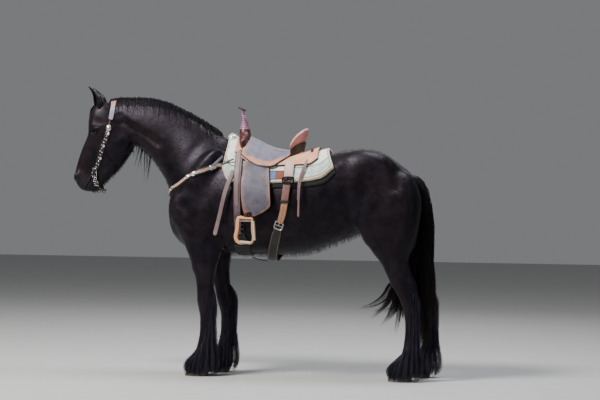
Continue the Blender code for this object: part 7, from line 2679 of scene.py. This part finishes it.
    def billet(self, finishes: Finishes) -> None:
        """The rear billet: tooled hanger, dark buckle, strap, keeper, holed end and steel buckle."""
        word, sign = self.side.word, self.side.sign
        hanger = ((-0.040, 1.535, 0.060, 0.104), (-0.039, 1.490, 0.064, 0.082),
            (-0.038, 1.440, 0.066, 0.062), (-0.036, 1.345, 0.064, 0.036))
        self.strap("billet_hanger", hanger, 0.0055, finishes.billet, f"billet_{word}", "leather_tan",
            shift=0.006)
        strap = ((-0.040, 1.350, 0.052, 0.030), (-0.047, 1.290, 0.052, 0.022),
            (-0.058, 1.190, 0.050, 0.012))
        self.strap("billet_strap", strap, 0.0050, finishes.red, slot="leather_tan")
        holed = ((-0.055, 1.200, 0.048, 0.013), (-0.068, 1.120, 0.048, 0.011),
            (-0.092, 1.045, 0.046, 0.010))
        self.strap("billet_end", holed, 0.0050, finishes.holed, slot="leather_tan", tip=0.012)
        for name, x, z, lift, wide, high, gauge, finish, slot in (
            ("hanger_buckle", -0.037, 1.338, 0.044, 0.074, 0.040, 0.0085, finishes.iron, "brass"),
            ("cinch_buckle", -0.098, 1.032, 0.016, 0.056, 0.050, 0.0070, finishes.steel, "brass"),
        ):
            place = self.skin.hang(x, z, z + 0.001, sign, lift)
            lean = (0, 0, 1) if name == "hanger_buckle" else (0.33, 0, 0.94)
            buckle = Shaper.buckle(place, (0, sign, 0), lean, wide, high, gauge)
            Bench.finish(f"{name}_{word}", buckle, finish, (), slot)
        place = self.skin.hang(-0.056, 1.192, 1.193, sign, 0.016)
        across = np.array([place + Vector((dx, sign * dy, 0)) for dx,
            dy in ((-0.030, -0.004), (-0.024, 0.004), (0.024, 0.004), (0.030, -0.004))])
        keeper = Shaper.sweep(even_curve([p[:] for p in across], 18), (0, sign, 0), 0.009, 0.0035)
        Bench.finish(f"billet_keeper_{word}", keeper, finishes.black, (), "leather_dark")


@dataclass
class Girths:
    """The corded front cinch, the leather rear cinch and the strap between them."""

    skin: Surface

    def loop(self, x: float, top: float, lift: float, count: int, sag: float = 0.0,
            lean: float = 0.0) -> tuple[np.ndarray, np.ndarray]:
        """A path under the belly between two equal heights, and the ways out of it."""
        start = 0.6
        while self.skin.around(x, start, 0.0).z > top:
            start += 0.01
        path, outs = [], []
        for angle in np.linspace(start, 2 * math.pi - start, count):
            drop = lift + sag * max(0.0, -math.cos(angle)) ** 6
            height = self.skin.around(x, angle, drop).z
            path.append(self.skin.around(x + lean * (height - top), angle, drop)[:])
            outs.append((0, math.sin(angle), math.cos(angle)))
        return np.array(path), np.array(outs)

    def build(self, finishes: Finishes) -> None:
        """Makes its pieces."""
        strands = []
        for k in range(15):
            spread = (k / 14 - 0.5) * 0.100
            path, outs = self.loop(-0.372 + spread, 0.985, 0.002, 61)
            pinch = 0.55 + 0.45 * ease(0.0, 0.18, np.minimum(np.linspace(0, 1, 61), np.linspace(1, 0, 61)))
            path[:, 0] = -0.372 + spread * pinch
            strands.append(Shaper.sweep(path, outs, 0.0032, 0.0062, ROUND))
        Bench.finish("cinch_cords", Bench.join("cords", strands), finishes.cord, ["cinch_front"], "cord")
        bars = []
        path, outs = self.loop(-0.372, 0.985, 0.005, 61)
        for i in (3, 12, 22, 30, 38, 48, 57):
            wide = 0.055 if i in (3, 57) else 0.10
            ends = np.array([path[i] - (wide / 2, 0, 0), path[i], path[i] + (wide / 2, 0, 0)])
            bars.append(Shaper.sweep(ends, outs[i], 0.008, 0.0052))
        Bench.finish("cinch_bars", Bench.join("bars", bars), finishes.cord, (), "cord")
        path, outs = self.loop(-0.098, 1.040, 0.003, 91, 0.036, 0.33)
        half = 0.034 * (0.62 + 0.38 * ease(0.0, 0.10,
            np.minimum(np.linspace(0, 1, 91), np.linspace(1, 0, 91))))
        Bench.finish("rear_cinch", Shaper.sweep(path, outs, half, 0.0070), finishes.olive, ["cinch_rear"],
            "felt")
        low = self.skin.around(-0.25, math.pi, 0.03).z
        link = even_curve([(x, 0, low + z) for x,
            z in ((-0.325, 0.010), (-0.27, -0.005), (-0.205, -0.013))], 24)
        Bench.finish("cinch_strap", Shaper.sweep(link, (0, 0, -1), 0.013, 0.005), finishes.red,
            ["cinch_link"], "leather_brown")


def mirrored(points: Sequence[Sequence[float]]) -> list[tuple[float, ...]]:
    """Far-side places joined with their near-side images, near side first."""
    near = [(x, -y, z) for x, y, z in points]
    return near + [tuple(p) for p in reversed(points) if abs(p[1]) > 1e-6]


def laid(skin: Surface, points: Sequence[Sequence[float]], count: int, lift: float) -> tuple[np.ndarray,
        np.ndarray]:
    """A path on the skin along the curve through some places, and the ways out of it."""
    rows = [skin.lay(p, lift) for p in even_curve(points, count)]
    outs = np.array([n[:] for _, n in rows])
    for _ in range(3):
        outs[1:-1] = (outs[:-2] + 2 * outs[1:-1] + outs[2:]) / 4
    return np.array([p[:] for p, _ in rows]), outs


@dataclass
class BreastCollar:
    """The collar round the chest, with its lining, bosses and loops."""

    skin: Surface
    line: tuple[tuple[float, float, float], ...] = (
        (-0.500, 0.22, 1.450), (-0.561, 0.20, 1.430), (-0.643, 0.20, 1.400), (-0.761, 0.17, 1.338),
        (-0.840, 0.13, 1.285),
        (-0.900, 0.07, 1.250), (-0.925, 0.0, 1.238),
    )

    def build(self, finishes: Finishes) -> None:
        """Makes its pieces."""
        path, outs = laid(self.skin, mirrored(self.line), 120, 0.0)
        Bench.finish("collar_lining", Shaper.sweep(path, outs, 0.0185, 0.0042), finishes.black, (),
            "leather_dark")
        Bench.finish("collar_strap", Shaper.sweep(path + outs * 0.0042, outs, 0.0125, 0.0048),
            finishes.collar, ["breast_collar"], "leather_tan")
        bosses = []
        for side in Side:
            for x, z in ((-0.568, 1.428), (-0.585, 1.42), (-0.701, 1.372), (-0.740, 1.350),
                (-0.860, 1.272)):
                near = min(range(120),
                    key=lambda i: (path[i, 0] - x) ** 2 + (path[i, 2] - z) ** 2 + (path[i,
                    1] * side.sign < 0))
                bosses.append(Shaper.boss(path[near] + outs[near] * 0.0085, outs[near], 0.0175, 0.007))
            rise = [(-0.590, side.sign * 0.20, 1.425), (-0.545, side.sign * 0.21, 1.462),
                (-0.490, side.sign * 0.22, 1.505)]
            upper, ways = laid(self.skin, rise, 20, 0.004)
            upper += ways * np.linspace(0.0, 0.036, 20)[:, None]
            Bench.finish(f"collar_riser_{side.word}", Shaper.sweep(upper, ways, 0.0105, 0.005),
                finishes.pale, (), "leather_tan")
            ends = [(-0.515, side.sign * 0.22, 1.450), (-0.470, side.sign * 0.235, 1.482),
                (-0.430, side.sign * 0.25, 1.500)]
            cord, ways = laid(self.skin, ends, 20, 0.020)
            cord += ways * np.linspace(0.0, 0.030, 20)[:, None]
            Bench.finish(f"collar_loop_{side.word}", Shaper.sweep(cord, ways, 0.0065, 0.005),
                finishes.black, (), "leather_dark")
        Bench.finish("collar_bosses", Bench.join("bosses", bosses), finishes.silver, (), "silver")


@dataclass
class Bridle:
    """Crown strap, cheek straps, rosettes, bit and curb strap."""

    skin: Surface
    crown: tuple[tuple[float, float, float], ...] = (
        (-1.337, 0.11, 1.705), (-1.328, 0.09, 1.765), (-1.322, 0.075, 1.825), (-1.327, 0.038, 1.886),
        (-1.330, 0.0, 1.900),
    )
    cheek: tuple[tuple[float, float, float], ...] = (
        (-1.340, 0.11, 1.680), (-1.358, 0.10, 1.626), (-1.386, 0.09, 1.563), (-1.407, 0.08, 1.493),
        (-1.430, 0.07, 1.430),
        (-1.447, 0.06, 1.405),
    )

    def build(self, finishes: Finishes) -> None:
        """Makes its pieces."""
        path, outs = laid(self.skin, mirrored(self.crown), 72, 0.0008)
        share = np.abs(np.linspace(-1, 1, 72))
        crown = Shaper.sweep(path, outs, 0.0195 - 0.0125 * ease(0.45, 0.80, share), 0.0048)
        Bench.finish("headstall_crown", crown, finishes.dark, ["crown_strap"], "leather_brown")
        wrap = Shaper.sweep(path[22:50] + outs[22:50] * 0.0008, outs[22:50],
            0.0205 - 0.004 * ease(0.1, 0.4, share[22:50]), 0.0052)
        Bench.finish("headstall_wrap", wrap, finishes.wrap, (), "leather_brown")
        for side, part in ((Side.NEAR, slice(8, 24)), (Side.FAR, slice(48, 64))):
            cover = Shaper.sweep(path[part] + outs[part] * 0.0010, outs[part],
                0.0180 - 0.005 * share[part] ** 3, 0.0050)
            Bench.finish(f"headstall_cover_{side.word}", cover, finishes.pale, (), "leather_brown")
        bits = []
        for side in Side:
            word, sign = side.word, side.sign
            path, outs = laid(self.skin, [(x, sign * y, z) for x, y, z in self.cheek], 40, 0.0008)
            Bench.finish(f"headstall_cheek_{word}", Shaper.sweep(path, outs, 0.0170, 0.0042),
                finishes.black, [f"cheek_strap_{word}"], "leather_dark")
            for i in range(4, 39, 2):
                shift = np.array((1.0, 0, 0.35)) * (0.0, 0.0085, -0.0085)[i % 3]
                bits.append(Shaper.boss(path[i] + outs[i] * 0.0042 + shift, outs[i],
                    0.0100 if i % 12 == 4 else 0.0048, 0.0042))
            place, normal = self.skin.lay((-1.338, sign * 0.11, 1.694), 0.0045)
            Bench.finish(f"rosette_disc_{word}", Shaper.boss(place, normal, 0.0225, 0.011, 0.86),
                finishes.silver, [f"rosette_{word}"], "silver")
            buckle = Shaper.buckle(path[3] + outs[3] * 0.004, outs[3], path[0] - path[4], 0.026, 0.022,
                0.0032)
            Bench.finish(f"cheek_buckle_{word}", buckle, finishes.silver, (), "silver")
        Bench.finish("cheek_bosses", Bench.join("bosses", bits), finishes.silver, (), "silver")
        self.bit(finishes)

    def bit(self, finishes: Finishes) -> None:
        """The mouthpiece, its two shanks with rings, and the curb strap."""
        x, z = BIT_AT
        out = max(self.skin.side(x, z, -1), 0.045) + 0.006
        bar = even_curve([(x, -out - 0.006, z - 0.006), (x - 0.002, -out / 2, z - 0.006),
            (x - 0.006, 0, z + 0.002),
                          (x - 0.002, out / 2, z - 0.006), (x, out + 0.006, z - 0.006)], 30)
        parts = [Shaper.sweep(bar, (0, 0, 1), 0.0055, 0.011, ROUND)]
        for side in Side:
            y = side.sign * (out + 0.0005)
            path = even_curve([(x - 0.006, y, z + 0.055), (x, y, z + 0.020), (x, y, z - 0.020),
                (x + 0.010, y, z - 0.070),
                               (x + 0.030, y, z - 0.118), (x + 0.036, y, z - 0.132)], 40)
            at = np.linspace(0, 1, 40)
            half = 0.0085 + 0.0150 * hill(at, 0.36, 0.17) + 0.0120 * hill(at, 0.70, 0.12)
            parts.append(Shaper.sweep(path, (0, side.sign, 0), half, 0.0050, FLAT))
            studs = []
            for i in range(3, 37):
                if half[i] > 0.011:
                    for step in (-0.66, 0.0, 0.66):
                        spot = path[i] + (step * half[i], side.sign * 0.0052,
                            0.004 * math.sin(9 * step + i))
                        if i % 2 == 0:
                            studs.append(Shaper.boss(spot, (0, side.sign, 0), 0.0034, 0.0024))
            Bench.finish(f"bit_engraving_{side.word}", Bench.join("studs", studs), finishes.silver, (),
                "silver")
            parts.append(Shaper.boss((x, y + side.sign * 0.0065, z), (0, side.sign, 0), 0.0125, 0.005))
            for dx, dz, size in ((-0.004, 0.052, 0.018), (0.036, -0.134, 0.024)):
                centre = Vector((x + dx, y + side.sign * 0.003, z + dz))
                ring = [centre + Vector((math.cos(t), 0, math.sin(t))) * size / 2 for t in np.linspace(0,
                    2 * math.pi, 25)[:-1]]
                parts.append(Shaper.sweep([p[:] for p in ring], (0, side.sign, 0), 0.0018, 0.0036, ROUND,
                    closed=True))
        Bench.finish("bit_cheeks", Bench.join("bit", parts), finishes.iron, ["bit"], "silver")
        curb = even_curve([(x + 0.036 + 0.030 * math.cos(y / 0.058 * 1.5), y,
            z - 0.128 + abs(y) * 0.1) for y in (-0.058, -0.03, 0.0, 0.03, 0.058)], 26)
        Bench.finish("curb", Shaper.sweep(curb, (0.8, 0, -0.6), 0.0075, 0.004), finishes.cheek,
            ["curb_strap"], "leather_brown")


class Studio:
    """Camera, lights and floor."""

    def build(self) -> None:
        """Makes all three."""
        self.camera()
        self.floor()
        self.light("key", (-3.6, -4.0, 7.2), (0.1, 0, 1.1), 2.2, 1250.0, (1.0, 0.98, 0.96))
        self.light("fill", (5.5, -5.5, 3.4), (0.2, 0, 1.0), 3.6, 60.0, (0.90, 0.94, 1.0))
        self.light("rim", (0.5, 6.5, 5.0), (0, 0, 1.2), 4.0, 70.0, (0.95, 0.97, 1.0))
        self.light("top", (1.6, 0.6, 6.5), (0.3, 0, 1.2), 2.4, 300.0, (0.92, 0.94, 1.0))
        world = bpy.data.worlds.new("studio")
        bpy.context.scene.world = world
        world.use_nodes = True
        back = world.node_tree.nodes["Background"]
        back.inputs["Color"].default_value = (0.80, 0.82, 0.85, 1)
        back.inputs["Strength"].default_value = 0.24

    def camera(self) -> None:
        """Stands where the photograph was taken from."""
        turn, rise, roll = math.radians(8.0), math.radians(1.217), 0.015
        eye = bpy.data.cameras.new("view")
        eye.lens, eye.sensor_width = 87.0, 36.0
        holder = bpy.data.objects.new("view", eye)
        bpy.context.scene.collection.objects.link(holder)
        ahead = Vector((-math.sin(turn) * math.cos(rise), math.cos(turn) * math.cos(rise), math.sin(rise)))
        right = ahead.cross(Vector((0, 0, 1))).normalized()
        up = right.cross(ahead)
        tilted_up = up * math.cos(roll) - right * math.sin(roll)
        tilted_right = right * math.cos(roll) + up * math.sin(roll)
        rows = Matrix((tilted_right, tilted_up, -ahead)).transposed().to_4x4()
        holder.matrix_world = Matrix.Translation((10 * math.sin(turn) + SHIFT, -10 * math.cos(turn),
            1.0)) @ rows
        bpy.context.scene.camera = holder

    def floor(self) -> None:
        """A wide pale floor."""
        bm = bmesh.new()
        bmesh.ops.create_grid(bm, x_segments=1, y_segments=1, size=40.0)
        mesh = bpy.data.meshes.new("floor")
        bm.to_mesh(mesh)
        bm.free()
        made = bpy.data.objects.new("floor", mesh)
        bpy.context.scene.collection.objects.link(made)
        finish, n, shader = blank("floor")
        place = n.add("TexCoord").outputs["Object"]
        colour = n.mix(n.noise(place, 3.0, 4.0), (0.42, 0.42, 0.41), (0.47, 0.47, 0.46))
        wire(n, shader, Base_Color=colour, Roughness=0.75)
        mesh.materials.append(finish)

    @staticmethod
    def light(name: str, place: Sequence[float], target: Sequence[float], size: float, power: float,
            colour: Sequence[float]) -> None:
        """Adds a square soft light aimed at a target."""
        lamp = bpy.data.lights.new(name, "AREA")
        lamp.shape, lamp.size, lamp.energy, lamp.color = "SQUARE", size, power, colour
        holder = bpy.data.objects.new(name, lamp)
        bpy.context.scene.collection.objects.link(holder)
        holder.location = place
        holder.rotation_mode = "QUATERNION"
        holder.rotation_quaternion = (Vector(target) - Vector(place)).to_track_quat("-Z", "Y")


def main() -> None:
    """Builds the studio, the horse and its tack."""
    logging.basicConfig(level=logging.INFO, format="%(message)s")
    rng = np.random.default_rng(SEED)
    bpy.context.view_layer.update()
    Studio().build()
    coat, hair, short = Coat().build(), Hair("long_hair").build(), Hair("short_hair", tip_from=0.4).build()
    # The feather's light and tip colours are painted lilac-grey sheen on its locks and ends.
    feather = Hair("feather_hair", light=(0.034, 0.031, 0.046), tip=(0.046, 0.042, 0.056), tip_from=0.60,
        rough=0.40, shine=0.24, locks=75.0).build()
    body = Body()
    skin = body.build(coat)
    eyeball, horn = Eyeball().build(), HoofHorn().build()
    for side in Side:
        Eye(side).build(skin.side(EYE_AT[0], EYE_AT[1], side.sign), eyeball)
        Ear(side).build(coat)
    for fore in (True, False):
        for side in Side:
            hoof = Hoof(fore, side)
            hoof.build(horn)
            Feather(hoof, skin).build(feather, rng)
    Mane(skin).build(hair, rng)
    Tail(skin).build(coat, hair, rng)
    Tufts(skin).build(short, rng)
    finishes = Finishes()
    Pad(skin).build(finishes)
    Saddle(skin).build(finishes)
    for side in Side:
        SideStraps(side, skin).build(finishes)
    Girths(skin).build(finishes)
    BreastCollar(skin).build(finishes)
    Bridle(skin).build(finishes)


if __name__ == "__main__":
    main()
